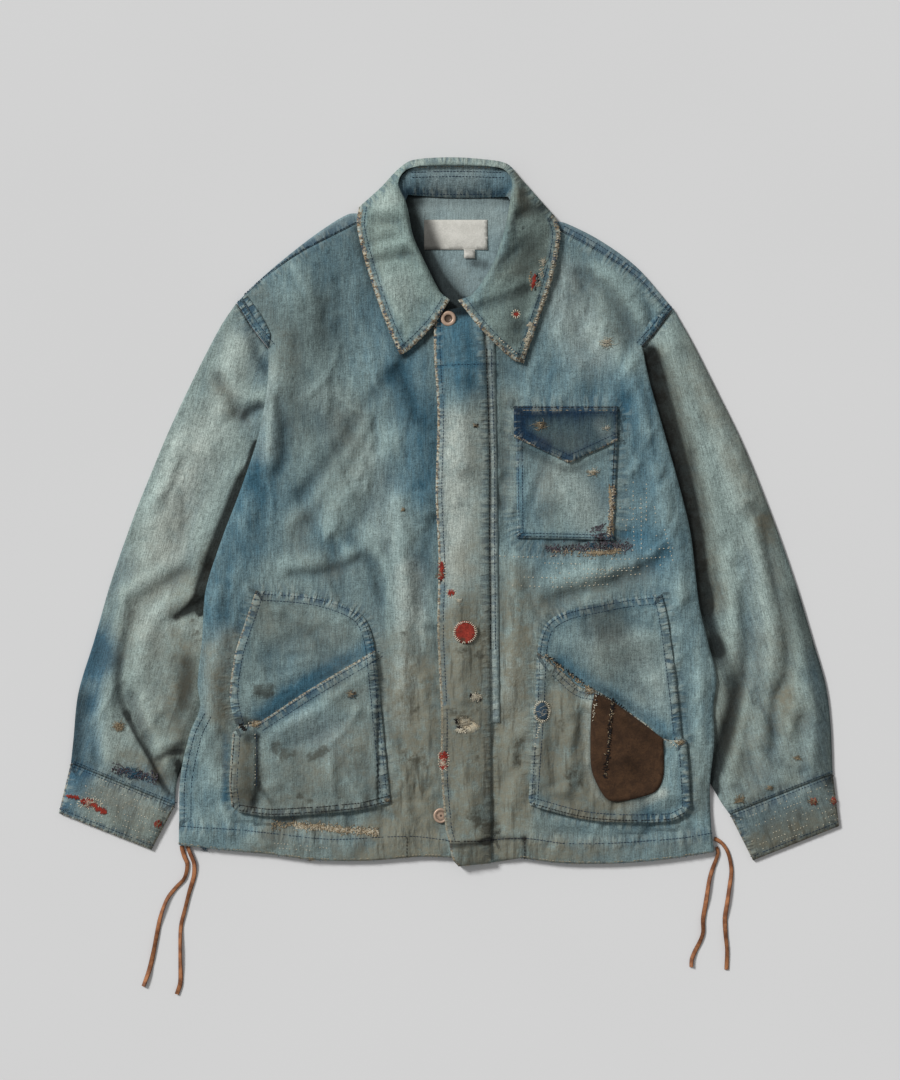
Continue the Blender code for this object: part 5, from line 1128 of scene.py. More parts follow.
class JacketColours(bpy.types.PropertyGroup):
    """Colours of the jacket's cloths, threads, stains, painted shade and highlight, and metal."""

    faded: colour_setting("Faded denim", "Body denim where the dye has gone", 120, 139, 138)
    deep: colour_setting("Blue denim", "Body denim where dye is left", 60, 96, 112)
    sleeve_faded: colour_setting("Faded sleeve", "Sage sleeve denim", 131, 147, 143)
    sleeve_deep: colour_setting("Blue sleeve", "Sleeve denim where dye is left", 66, 98, 114)
    collar_faded: colour_setting("Faded collar", "Sage collar denim", 124, 142, 137)
    inside_faded: colour_setting("Wrong side", "Grey wrong side of the denim", 128, 147, 150)
    inside_deep: colour_setting("Wrong side, darker", "Darker wrong side of the denim", 84, 106, 116)
    indigo_faded: colour_setting("Indigo flap, rubbed", "Rubbed indigo of the chest pocket's flap",
                                 80, 98, 98)
    indigo: colour_setting("Indigo flap", "Indigo of the chest pocket's flap", 22, 46, 66)
    # also used for painted highlight where the pale wash marks lit ridges
    bleached_and_highlight: colour_setting("Bleached denim", "Yarn with almost no dye", 162, 170, 162)
    seam_blue: colour_setting("Seam blue", "Unfaded dye in the hollows of a seam", 42, 70, 92)
    worn_pale: colour_setting("Rubbed edge", "Pale cotton at a rubbed edge", 178, 170, 148)
    worn_tan: colour_setting("Tan edge", "Soiled cotton at a rubbed edge", 138, 114, 84)
    # also darkens painted shade where the grime wash marks the gaps and edges
    dark_grime_and_shade: colour_setting("Dark grime", "Grime that has sunk into seams and creases", 60, 57, 46)
    # brown-grey soil, also used for painted shade along the gaps between sleeves and body and on the sleeves'
    # edges
    grime_and_shade: colour_setting("Grime", "Brown-grey mud and oil", 118, 115, 99)
    # dark oil spots, also used for painted shadow in the gaps beside the sleeves and at a pocket's notch
    oil_and_shadow: colour_setting("Oil", "Dark oil spots", 58, 58, 50)
    cream: colour_setting("Cream backing", "Cotton behind the torn hole", 206, 192, 164)
    brown: colour_setting("Brown patch", "Brown cotton", 78, 56, 38)
    brown_shade: colour_setting("Brown patch, darker", "Brown cotton where it is soiled", 52, 37, 26)
    red: colour_setting("Red patch", "Red cotton", 170, 66, 52)
    red_shade: colour_setting("Red patch, darker", "Red cotton where it is soiled", 108, 36, 30)
    label: colour_setting("Label", "Off-white woven tape", 218, 216, 208)
    label_shade: colour_setting("Label, darker", "Tape in its folds", 190, 188, 180)
    blue_patch: colour_setting("Blue scrap", "Blue cotton darned on a hand pocket", 66, 86, 100)
    blue_patch_shade: colour_setting("Blue scrap, darker", "Soiled blue cotton", 44, 60, 72)
    blue_thread: colour_setting("Blue thread", "Machine stitches", 34, 54, 76)
    blue_thread_shade: colour_setting("Blue thread, darker", "Soiled machine stitches", 20, 32, 46)
    pale_thread: colour_setting("Pale thread", "Worn machine stitches", 168, 158, 136)
    pale_thread_shade: colour_setting("Pale thread, darker", "Soiled pale stitches", 120, 112, 94)
    white_thread: colour_setting("White thread", "Hand stitches", 208, 202, 184)
    tan_thread: colour_setting("Tan thread", "Darning cotton", 176, 160, 132)
    tan_thread_shade: colour_setting("Tan thread, darker", "Soiled darning cotton", 100, 86, 68)
    dark_thread: colour_setting("Dark thread", "Dark darning cotton", 40, 36, 36)
    dark_thread_shade: colour_setting("Dark thread, darker", "Soiled dark darning cotton", 17, 15, 15)
    plum_thread: colour_setting("Plum thread", "Purple-grey darning cotton", 104, 98, 104)
    plum_thread_shade: colour_setting("Plum thread, darker", "Soiled purple-grey cotton", 56, 52, 58)
    leather: colour_setting("Leather", "Tan lace leather", 164, 110, 74)
    leather_dark: colour_setting("Leather, darker", "Handled lace leather", 114, 72, 48)
    leather_edge: colour_setting("Leather edge", "Burnished edge of the laces", 74, 44, 30)
    metal: colour_setting("Button metal", "Rubbed copper-brass", 176, 150, 130)
    metal_dark: colour_setting("Button metal, dark", "Tarnish in the button's hollows", 86, 70, 58)
    floor: colour_setting("Floor", "Pale studio floor", 212, 212, 212)


class JacketSizes(bpy.types.PropertyGroup):
    """Sizes of stitches and threads, and the strength of the lamps."""

    stitch_pitch: length_setting("Stitch pitch", "From one machine stitch to the next", 0.0034)
    stitch_length: length_setting("Stitch length", "Length of a machine stitch", 0.0032)
    thread_width: length_setting("Thread width", "Width of the sewing thread", 0.0008)
    darn_width: length_setting("Darning thread", "Width of the darning thread", 0.0009)
    fray_width: length_setting("Frayed yarn", "Width of one frayed yarn", 0.00045)
    key_strength: FloatProperty(name="Key light", description="Strength of the key lamp", default=3.2, min=0)
    fill_strength: FloatProperty(name="Fill light", description="Strength of the even fill", default=0.36,
                                 min=0)
    seed: IntProperty(name="Seed", description="Start of every random choice", default=7, min=0)


def inside(points, loop):
    """Which of the points lie inside a closed outline, by counting its crossings to one side."""
    hit = np.zeros(len(points), dtype=bool)
    near = np.nonzero(np.all((points >= loop.min(axis=0)) & (points <= loop.max(axis=0)), axis=1))[0]
    x, y = points[near].T
    odd = np.zeros(len(near), dtype=bool)
    for a, b in zip(loop, np.roll(loop, -1, axis=0)):
        if a[1] != b[1]:
            crosses = (a[1] > y) != (b[1] > y)
            odd ^= crosses & (x < a[0] + (y - a[1]) * (b[0] - a[0]) / (b[1] - a[1]))
    hit[near] = odd
    return hit


def follow(points, line):
    """Each point's distance to a line of straight stretches, and how far along the line that is."""
    gap = np.full(len(points), np.inf)
    run = np.zeros(len(points))
    start = 0.0
    for a, b in zip(line, line[1:]):
        along = b - a
        length = hypot(*along)
        if length == 0:
            continue
        t = np.clip((points - a) @ along / length**2, 0, 1)
        offset = points - a - t[:, None] * along
        away = np.hypot(offset[:, 0], offset[:, 1])
        closer = away < gap
        gap[closer] = away[closer]
        run[closer] = start + t[closer] * length
        start += length
    return gap, run


def distance(points, line):
    return follow(points, line)[0]


def near_line(points, line, reach):
    """Numbers of the points within a box around a line."""
    low, high = line.min(axis=0) - reach, line.max(axis=0) + reach
    return np.nonzero(np.all((points > low) & (points < high), axis=1))[0]


def soft_step(value, low, high):
    """0 below low, 1 above high and a smooth change between."""
    t = np.clip((value - low) / (high - low), 0, 1)
    return t * t * (3 - 2 * t)


def bell(gap, width):
    return np.exp(-(gap / width)**2)


def closed(loop):
    return np.concatenate([loop, loop[:1]])


def search_tree(spots):
    """A tree that finds the nearest of some points of the plan."""
    tree = KDTree(len(spots))
    for i, (x, y) in enumerate(spots):
        tree.insert((x, y, 0), i)
    tree.balance()
    return tree


@cache
def plan():
    """The jacket's plan cut into triangles along every outline and opening, with a fine lattice between."""
    verts, edges = [], []
    for line in [closed(loop) for loop in REGIONS.values()] + [smooth(line) for _, line in OPENINGS.values()]:
        start = len(verts)
        verts.extend(line)
        edges.extend((start + i, start + i + 1) for i in range(len(line) - 1))
    tree = search_tree(verts)
    low, high = np.min(verts, axis=0), np.max(verts, axis=0)
    row = PLAN_STEP * sin(pi / 3)
    lattice = np.array([(x + (j % 2) * PLAN_STEP / 2, y)
                        for j, y in enumerate(np.arange(low[1], high[1], row))
                        for x in np.arange(low[0], high[0], PLAN_STEP)])
    lattice = lattice[np.any([inside(lattice, REGIONS[name]) for name in COVERING], axis=0)]
    verts.extend(spot for spot in lattice if tree.find((*spot, 0))[2] > LATTICE_CLEARANCE)
    points, _, faces, *_ = delaunay_2d_cdt([tuple(v) for v in verts], edges, [], 0, SAME_POINT / 2)
    return np.array([tuple(p) for p in points]), np.array([tuple(f) for f in faces])


def sort_triangles(points, triangles):
    """Say for every region which of the plan's triangles it holds."""
    centres = points[triangles].mean(axis=1)
    held = {name: inside(centres, loop) for name, loop in REGIONS.items()}
    for name, (pocket, line) in OPENINGS.items():
        run = smooth(line)
        bottom = REGIONS[pocket][:, 1].min() - PLAN_STEP
        below = np.concatenate([run, [(run[-1][0], bottom), (run[0][0], bottom)]])
        held[name] = held[pocket] & inside(centres, below)
    return held


def fold_height(points, folds):
    """Sum of the folds' soft ridges and valleys at each point."""
    height = np.zeros(len(points))
    for rise, half_width, *line in folds:
        spread = half_width * PIXEL
        line = smooth(run_of(line), COARSE_STEP)
        near = near_line(points, line, FOLD_END * spread)
        height[near] += rise * MILLIMETRE * bell(distance(points[near], line), spread)
    return height


def small_creases(kind):
    """Short creases between the given folds, the same at every run."""
    dice = np.random.default_rng(CREASE_SEED + len(kind))
    creases = []
    for count, (left, top, right, bottom), lean, spread in SMALL_CREASES.get(kind, []):
        for _ in range(count):
            x, y = dice.uniform(left, right), dice.uniform(top, bottom)
            turn = radians(lean + dice.normal(0, spread))
            reach, bend = dice.uniform(*CREASE_REACH), dice.normal(0, CREASE_BEND)
            ahead, side = (cos(turn), sin(turn)), (-sin(turn), cos(turn))
            line = [(x + t * reach * ahead[0] + (1 - t * t) * bend * side[0],
                     y + t * reach * ahead[1] + (1 - t * t) * bend * side[1]) for t in (-1, 0, 1)]
            rise = dice.choice((-1, 1)) * dice.uniform(*CREASE_RISE)
            creases.append((rise, dice.uniform(*CREASE_WIDTH), line))
    return creases


def rumple(points, kind):
    """Soft hills and hollows, the same at every run."""
    size, height = RUMPLE[kind]
    dice = np.random.default_rng(len(kind))
    total = np.zeros(len(points))
    for _ in range(RUMPLE_WAVES):
        turn, start = dice.uniform(0, 2 * pi, 2)
        wave = 2 * pi / (size * dice.uniform(*RUMPLE_SPREAD))
        total += np.sin(points @ (cos(turn), sin(turn)) * wave + start)
    return total * height / sqrt(RUMPLE_WAVES)


def loft_of(kind, points, from_edge):
    """How far a sheet stands off what it lies on: least at its edges, most along its folds."""
    if kind == "stand":
        front = np.linalg.norm(points - metres(COLLAR_FRONT), axis=1)
        seam = np.min([distance(points, smooth(run)) for run in (NECK_BACK, NECK_LEFT, NECK_RIGHT)], axis=0)
        rise = STAND_RISE * bell(distance(points, smooth(ROLL_LINE)), STAND_SPREAD)
        return rise * np.minimum(front / STAND_FRONT_EASE, 1)**2 * np.minimum(seam / STAND_SEAM_EASE, 1)
    if kind == "collar":
        off_roll = distance(points, smooth(ROLL_LINE)) - COLLAR_ROLL_INSET
        rise = COLLAR_LIFT + COLLAR_ROLL * bell(off_roll, COLLAR_ROLL_WIDTH)
        return np.minimum(distance(points, smooth(COLLAR_SILHOUETTE)) / COLLAR_EASE, 1) * rise
    loft, reach = LOFTS[kind]
    return soft_step(from_edge, 0, reach) * loft


def creases_of(kind, points, from_edge):
    """The folds, creases and soft hills of a sheet, which fade out at its edges."""
    reach = LOFTS.get(kind, (0, COLLAR_EASE))[1]
    rise = fold_height(points, FOLDS.get(kind, [])) + fold_height(points, small_creases(kind))
    rise = np.clip(FOLD_SCALE * rise + rumple(points, kind), -FOLD_LIMIT, FOLD_LIMIT)
    return soft_step(from_edge, 0, FOLD_FADE * reach) * rise


def triangle_sides(triangles):
    return np.concatenate([triangles[:, [0, 1]], triangles[:, [1, 2]], triangles[:, [2, 0]]])


def neighbours(triangles):
    """Pairs of points that share an edge, and the pairs that lie on the boundary."""
    pairs, count = np.unique(np.sort(triangle_sides(triangles), axis=1), axis=0, return_counts=True)
    return pairs, pairs[count == 1]


def drape(target, pairs, rim):
    """Let a sheet bridge the steps under it: hollows rise towards their neighbours, and nothing sinks.

    A point on the rim listens to the rim alone.
    """
    on_rim = np.zeros(len(target), dtype=bool)
    on_rim[rim] = True
    both = np.concatenate([pairs, pairs[:, ::-1]])
    both = np.concatenate([both[~on_rim[both[:, 0]]], rim, rim[:, ::-1]])
    to, source = both.T
    count = np.bincount(to, minlength=len(target))
    height = target.copy()
    for _ in range(DRAPE_ROUNDS):
        total = np.bincount(to, height[source], len(target))
        mean = np.where(count > 0, total / np.maximum(count, 1), height)
        height = np.maximum(target, (height + mean) / 2)
    return height


def rim_distance(points, used, rim):
    """Distance of each used point to the nearest stretch of a sheet's rim."""
    tree = search_tree(points[rim].mean(axis=1))
    nearest = np.array([tree.find((*points[p], 0))[1] for p in used])
    a, b = points[rim[nearest, 0]], points[rim[nearest, 1]]
    along = b - a
    t = np.clip(((points[used] - a) * along).sum(axis=1) / (along**2).sum(axis=1), 0, 1)
    return np.linalg.norm(points[used] - a - t[:, None] * along, axis=1)


@cache
def laid_cloth():
    """Lay the sheets from the floor up. Gives each node's cells, levels and edge distances, and all tops."""
    points, triangles = plan()
    held = sort_triangles(points, triangles)
    top = np.zeros(len(points))
    nodes, tops = {}, []
    for name, level, regions, wall, kind in SHEETS:
        cells = np.any([held[r] for r in regions], axis=0)
        if name in HOLES:
            cells = cells & ~held[HOLES[name]]
        used = np.unique(triangles[cells])
        pairs, rim = neighbours(triangles[cells])
        from_edge = np.full(len(points), np.inf)
        from_edge[used] = rim_distance(points, used, rim)
        rest = np.where(top > 0, top + SEAM_GAP, 0)
        crease = np.zeros(len(points))
        ground = rest.copy()
        if level is None:
            rest[used] = rest[used].max()
        else:
            if kind:
                rest[used] += loft_of(kind, points[used], from_edge[used])
            rest = drape(rest, pairs, rim)
        if kind in RUMPLE:
            crease[used] = creases_of(kind, points[used], from_edge[used])
            rest[used] = np.maximum(rest + crease, ground + CREASE_GAP)[used]
        band = TURNED_EDGES.get(name, 0) if level != 0 or name not in JOINS else 0
        thick = wall + TURNED_RISE * (1 - soft_step(from_edge, band, band + TURNED_EASE)) * (band > 0)
        node = nodes.setdefault(name, {"cells": {}, "levels": np.full((len(points), 4), np.nan),
                                       "edge": np.full((len(points), 4), np.nan),
                                       "fold": np.zeros((len(points), 4))})
        node["cells"][level or 0] = cells
        first = 2 * (level or 0)
        rounded = EDGE_ROUNDING * (from_edge < PLAN_STEP / 4)
        node["levels"][used, first] = rest[used]
        node["levels"][used, first + 1] = (rest + thick - rounded)[used]
        node["edge"][used, first:first + 2] = from_edge[used, None]
        node["fold"][used, first + 1] = crease[used] / MILLIMETRE
        top[used] = rest[used] + thick[used]
        if level is not None:
            tops.append((cells, node["levels"][:, first + 1]))
    joins = {name: np.any([held[s] for s in strips], axis=0) for name, strips in JOINS.items()}
    return nodes, joins, tops


@cache
def surface():
    """The jacket's upper side as one tree, for laying threads on it."""
    points, triangles = plan()
    corners, faces = [], []
    for cells, level in laid_cloth()[2]:
        used, local = np.unique(triangles[cells], return_inverse=True)
        faces.extend((local.reshape(-1, 3) + len(corners)).tolist())
        corners.extend(np.column_stack([points[used], level[used]]).tolist())
    return BVHTree.FromPolygons(corners, faces, all_triangles=True)


def height_at(x, y):
    """How high the jacket's upper side is, or the floor beside it."""
    hit = surface().ray_cast(Vector((x, y, 1)), Vector((0, 0, -1)))[0]
    return hit.z if hit else 0.0


def mesh_from(name, points, triangles, quads=None):
    """A smooth-shaded mesh from arrays of corners, triangles and quads."""
    quads = np.zeros((0, 4), dtype=int) if quads is None else quads
    loops = np.concatenate([np.ravel(triangles), np.ravel(quads)])
    used, loops = np.unique(loops, return_inverse=True)
    mesh = bpy.data.meshes.new(name)
    mesh.vertices.add(len(used))
    mesh.vertices.foreach_set("co", np.ravel(points[used]).astype(np.float32))
    mesh.loops.add(len(loops))
    mesh.loops.foreach_set("vertex_index", loops.astype(np.int32))
    starts = np.concatenate([np.arange(len(triangles)) * 3, len(triangles) * 3 + np.arange(len(quads)) * 4])
    mesh.polygons.add(len(starts))
    mesh.polygons.foreach_set("loop_start", starts.astype(np.int32))
    mesh.update(calc_edges=True)
    mesh.validate()
    mesh.shade_smooth()
    return mesh, used


def add_field(mesh, name, values):
    mesh.attributes.new(name, "FLOAT", "POINT").data.foreach_set("value", values.astype(np.float32))


def add_weave(mesh, spots):
    """Give a mesh's cloth the direction of its yarns, from each point's place in the flat weave."""
    corner_of = np.zeros(len(mesh.loops), dtype=np.int32)
    mesh.loops.foreach_get("vertex_index", corner_of)
    mesh.uv_layers.new(name="weave").data.foreach_set("uv", spots[corner_of].astype(np.float32).ravel())


def add_piece(name, mesh, material):
    """Put a finished mesh in the scene as a piece that rides on the jacket and takes a slot's finish."""
    piece = bpy.data.objects.new(name, mesh)
    mesh.materials.append(material)
    bpy.context.scene.collection.objects.link(piece)
    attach(piece, "root")
    return piece


def beside(line, offset):
    """A line kept at an even distance beside another, on its left for a positive offset."""
    moved = line + offset * directions(line)[1]
    return moved[distance(moved, line) > BESIDE_SHARE * abs(offset)]


def paint(points, name):
    """How strong each wash, stain, fade, painted shade and painted highlight is at the points of one piece.
    """
    washes = {wash: np.zeros(len(points)) for wash in WASHES}
    for pieces, kinds in STROKES.items():
        if pieces and name not in pieces:
            continue
        for wash, strokes in kinds.items():
            for strength, half_width, *line in strokes:
                spread = half_width * PIXEL
                line = smooth(run_of(line), COARSE_STEP)
                near = near_line(points, line, STROKE_END * spread)
                gap = distance(points[near], line)
                fading = soft_step(gap, STROKE_CORE * spread, STROKE_END * spread)
                washes[wash][near] += strength * (1 - fading)
    for offset, *line in BLUE_ROWS:
        line = smooth(run_of(line), SEAM_STEP)
        near = near_line(points, line, (abs(offset) + SEAM_DYE_REACH_PX + 1) * PIXEL)
        gap = distance(points[near], beside(line, offset * PIXEL) if offset else line)
        washes["blue"][near] += SEAM_DYE * (1 - soft_step(gap, 0, SEAM_DYE_REACH_PX * PIXEL))
    return washes


def seam_fields(points, name):
    """Distance to the nearest seam of a piece, or else to its outline, and how far along that line it is."""
    gap, run = np.full(len(points), np.inf), np.zeros(len(points))
    lines = [smooth(line, SEAM_STEP) for line in SEAMS[name]] if name in SEAMS else [closed(REGIONS[name])]
    for line in lines:
        far, along = follow(points, line)
        closer = far < gap
        gap[closer], run[closer] = far[closer], along[closer]
    return gap, run


def cloth_mesh(name):
    """Close a node's one or two sheets, and what joins them, into one solid wall."""
    points, triangles = plan()
    nodes, joins, _ = laid_cloth()
    node = nodes[name]
    none = np.zeros(len(triangles), dtype=bool)
    lower, upper = node["cells"].get(0, none), node["cells"].get(1, none)
    filled = np.stack([lower, lower & upper & joins.get(name, none), upper], axis=1)
    layers = np.pad(filled, ((0, 0), (1, 1)))
    faces, quads = [], []
    for level in range(4):
        below, above = layers[:, level], layers[:, level + 1]
        faces.append(triangles[below & ~above] * 4 + level)
        faces.append(triangles[above & ~below][:, ::-1] * 4 + level)
    for layer in range(3):
        sides = triangle_sides(triangles[filled[:, layer]])
        there, back = sides @ (len(points), 1), sides @ (1, len(points))
        p, q = sides[~np.isin(there, back)].T
        quads.append(np.stack([p * 4 + layer, q * 4 + layer, q * 4 + layer + 1, p * 4 + layer + 1], axis=1))
    corners = np.column_stack([np.repeat(points, 4, axis=0), node["levels"].ravel()])
    mesh, used = mesh_from(name, corners, np.concatenate(faces), np.concatenate(quads))
    spots = corners[used, :2]
    gap, run = seam_fields(spots, name)
    edge = node["edge"].ravel()[used]
    if name not in WORN_ALL_ROUND:
        worn = [distance(spots, smooth(line, SEAM_STEP)) for line in WORN_EDGES.get(name, [])]
        edge = np.min([np.full(len(spots), 1.0), *worn], axis=0)
    fields = {**paint(spots, name), "edge": edge, "fold": node["fold"].ravel()[used],
              "seam_gap": gap, "seam_run": run}
    for field, values in fields.items():
        add_field(mesh, field, np.nan_to_num(values, posinf=1.0))
    turn = 0
    if name in SLEEVES:
        turn = -SLEEVE_TURN if name.endswith("right") else SLEEVE_TURN
    add_weave(mesh, spots @ np.array([[cos(turn), -sin(turn)], [sin(turn), cos(turn)]]))
    return mesh


def build_cloth(name, material):
    """Lay one piece of cloth over its CAD node, which it hides."""
    mesh = cloth_mesh(name)
    piece = add_piece(f"{name}_cloth", mesh, material)
    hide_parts(name)
    return piece


def full_turn(sides):
    return np.arange(sides) * 2 * pi / sides


def button_mesh(name, centre, base, profile):
    """Turn a button from its profile, closed to a point at the axis."""
    turns = full_turn(BUTTON_SIDES)
    ring = np.stack([np.cos(turns), np.sin(turns)], axis=1)
    corners, triangles, quads = [], [], []
    first = np.arange(BUTTON_SIDES)
    after = np.roll(first, -1)
    for i, (radius, height, _) in enumerate(profile):
        corners.append(np.column_stack([centre + ring * radius * BUTTON_RADIUS,
                                        np.full(BUTTON_SIDES, base + height * BUTTON_HEIGHT)]))
        low, high = (i - 1) * BUTTON_SIDES, i * BUTTON_SIDES
        if i == 1:
            triangles.append(np.stack([first * 0, high + after, high + first], axis=1))
        elif i == len(profile) - 1:
            triangles.append(np.stack([low + first, low + after, first * 0 + high], axis=1))
        elif i:
            quads.append(np.stack([low + first, low + after, high + after, high + first], axis=1))
    mesh, used = mesh_from(name, np.concatenate(corners), np.concatenate(triangles), np.concatenate(quads))
    add_field(mesh, "raised", np.repeat([rub for _, _, rub in profile], BUTTON_SIDES)[used])
    return mesh


def lace_mesh(name, route):
    """A flat leather strip along a lace's route, lying on the floor and a little twisted."""
    line = smooth(route, LACE_STEP)
    across = directions(line)[1]
    run = np.concatenate([[0], np.cumsum(np.linalg.norm(np.diff(line, axis=0), axis=1))])
    dice = np.random.default_rng(sum(ord(letter) for letter in name))
    wave, start = dice.uniform(*LACE_TWIST_WAVES), dice.uniform(0, 2 * pi)
    twist = LACE_TWIST * np.sin(run * wave + start)
    width = LACE_WIDTH * (1 - LACE_NARROWING + LACE_NARROWING * np.sin(run * LACE_NARROWING_WAVE + start))
    centre = SEAM_GAP / 3 + np.abs(np.sin(twist)) * width / 2 + LACE_THICKNESS / 2
    side, lift = LACE_SECTION[:, 0] * width[:, None], LACE_SECTION[:, 1] * LACE_THICKNESS
    flat = side * np.cos(twist)[:, None] - lift * np.sin(twist)[:, None]
    up = side * np.sin(twist)[:, None] + lift * np.cos(twist)[:, None]
    corners = np.concatenate([line[:, None] + flat[..., None] * across[:, None],
                              (centre[:, None] + up)[..., None]], axis=2)
    count = len(LACE_SECTION)
    last = (len(line) - 1) * count
    quads = [(start + i, start + (i + 1) % count, start + count + (i + 1) % count, start + count + i)
             for start in range(0, last, count) for i in range(count)]
    caps = [(0, j, j + 1) for j in range(1, count - 1)]
    caps += [(last, last + j + 1, last + j) for j in range(1, count - 1)]
    mesh, used = mesh_from(name, corners.reshape(-1, 3), np.array(caps), np.array(quads))
    add_field(mesh, "side", np.tile(np.abs(LACE_SECTION[:, 0]) * 2, len(line))[used])
    add_field(mesh, "seam_run", np.repeat(run, count)[used])
    return mesh, [tuple(float(part) for part in (x, y, z)) for (x, y), z in zip(line, centre)]


class Nodes:
    """Adds nodes to a tree one by one and links them as they come."""

    def __init__(self, tree):
        self.tree = tree

    def add(self, kind, *values, **settings):
        """Add a node, set its properties, and feed its inputs in order (None leaves one as it is)."""
        node = self.tree.nodes.new(kind)
        for key, value in settings.items():
            setattr(node, key, value)
        for socket, value in zip(node.inputs, values):
            self.feed(socket, value)
        return node

    def feed(self, socket, value):
        if isinstance(value, bpy.types.NodeSocket):
            self.tree.links.new(value, socket)
        elif value is not None:
            socket.default_value = value

    def math(self, operation, a, b=None, clamp=False):
        return self.add("ShaderNodeMath", a, b, operation=operation, use_clamp=clamp).outputs[0]

    def times(self, a, b, clamp=False):
        return self.math("MULTIPLY", a, b, clamp)

    def plus(self, *parts, clamp=False):
        """The sum of two or more numbers, held between 0 and 1 where it's clamped."""
        total = parts[0]
        for part in parts[1:-1]:
            total = self.math("ADD", total, part)
        return self.math("ADD", total, parts[-1], clamp)


class Recipe(Nodes):
    """A material, whose colours are given as sockets or by the names of the colour settings."""

    def __init__(self, name):
        self.material = bpy.data.materials.new(name)
        self.material.use_nodes = True
        super().__init__(self.material.node_tree)
        self.shader = self.tree.nodes["Principled BSDF"]
        self.spot = self.add("ShaderNodeTexCoord").outputs["Object"]

    def about(self, noise, amount):
        """Turn a noise into a push of either sign."""
        return self.times(self.math("SUBTRACT", noise, 0.5), amount)

    def mix(self, share, a, b, blend="MIX"):
        node = self.add("ShaderNodeMix", data_type="RGBA", blend_type=blend)
        for number, value in zip(COLOUR_MIX_INPUTS, (share, a, b)):
            if isinstance(value, str):
                value = (*getattr(bpy.context.scene.jacket_colours, value), 1)
            self.feed(node.inputs[number], value)
        return node.outputs[2]

    def lit(self, colour, light):
        """A colour made darker or lighter by a factor."""
        grey = self.add("ShaderNodeCombineColor", light, light, light).outputs[0]
        return self.mix(1.0, colour, grey, "MULTIPLY")

    def step(self, value, low, high, start=0.0, end=1.0):
        """A smooth change from start to end as the value goes from low to high."""
        node = self.add("ShaderNodeMapRange", value, low, high, start, end, interpolation_type="SMOOTHSTEP")
        return node.outputs[0]

    def noise(self, size, detail=3.0, roughness=0.55, where=None, stretch=(1, 1, 1)):
        """Noise between about 0.25 and 0.75 with lumps of a given size in metres."""
        scaled = self.add("ShaderNodeMapping", where or self.spot, None, None, stretch).outputs[0]
        node = self.add("ShaderNodeTexNoise", scaled)
        for key, value in (("Scale", 1 / size), ("Detail", detail), ("Roughness", roughness)):
            node.inputs[key].default_value = value
        return node.outputs["Fac"]

    def weave(self):
        return self.add("ShaderNodeUVMap", uv_map="weave").outputs[0]

    def field(self, name):
        return self.add("ShaderNodeAttribute", attribute_name=name).outputs["Fac"]

    def finish(self, colour, roughness, height, sheen=0.0, metallic=0.0):
        """Feed the shader, with height in millimetres for the bumps."""
        bump = self.add("ShaderNodeBump")
        bump.inputs["Strength"].default_value = 1.0
        bump.inputs["Distance"].default_value = MILLIMETRE
        self.feed(bump.inputs["Height"], height)
        for name, value in (("Base Color", colour), ("Roughness", roughness), ("Normal", bump.outputs[0]),
                            ("Metallic", metallic), ("Sheen Weight", sheen),
                            ("Specular IOR Level", METAL_SHINE if metallic else CLOTH_SHINE)):
            self.feed(self.shader.inputs[name], value)
        return self.material


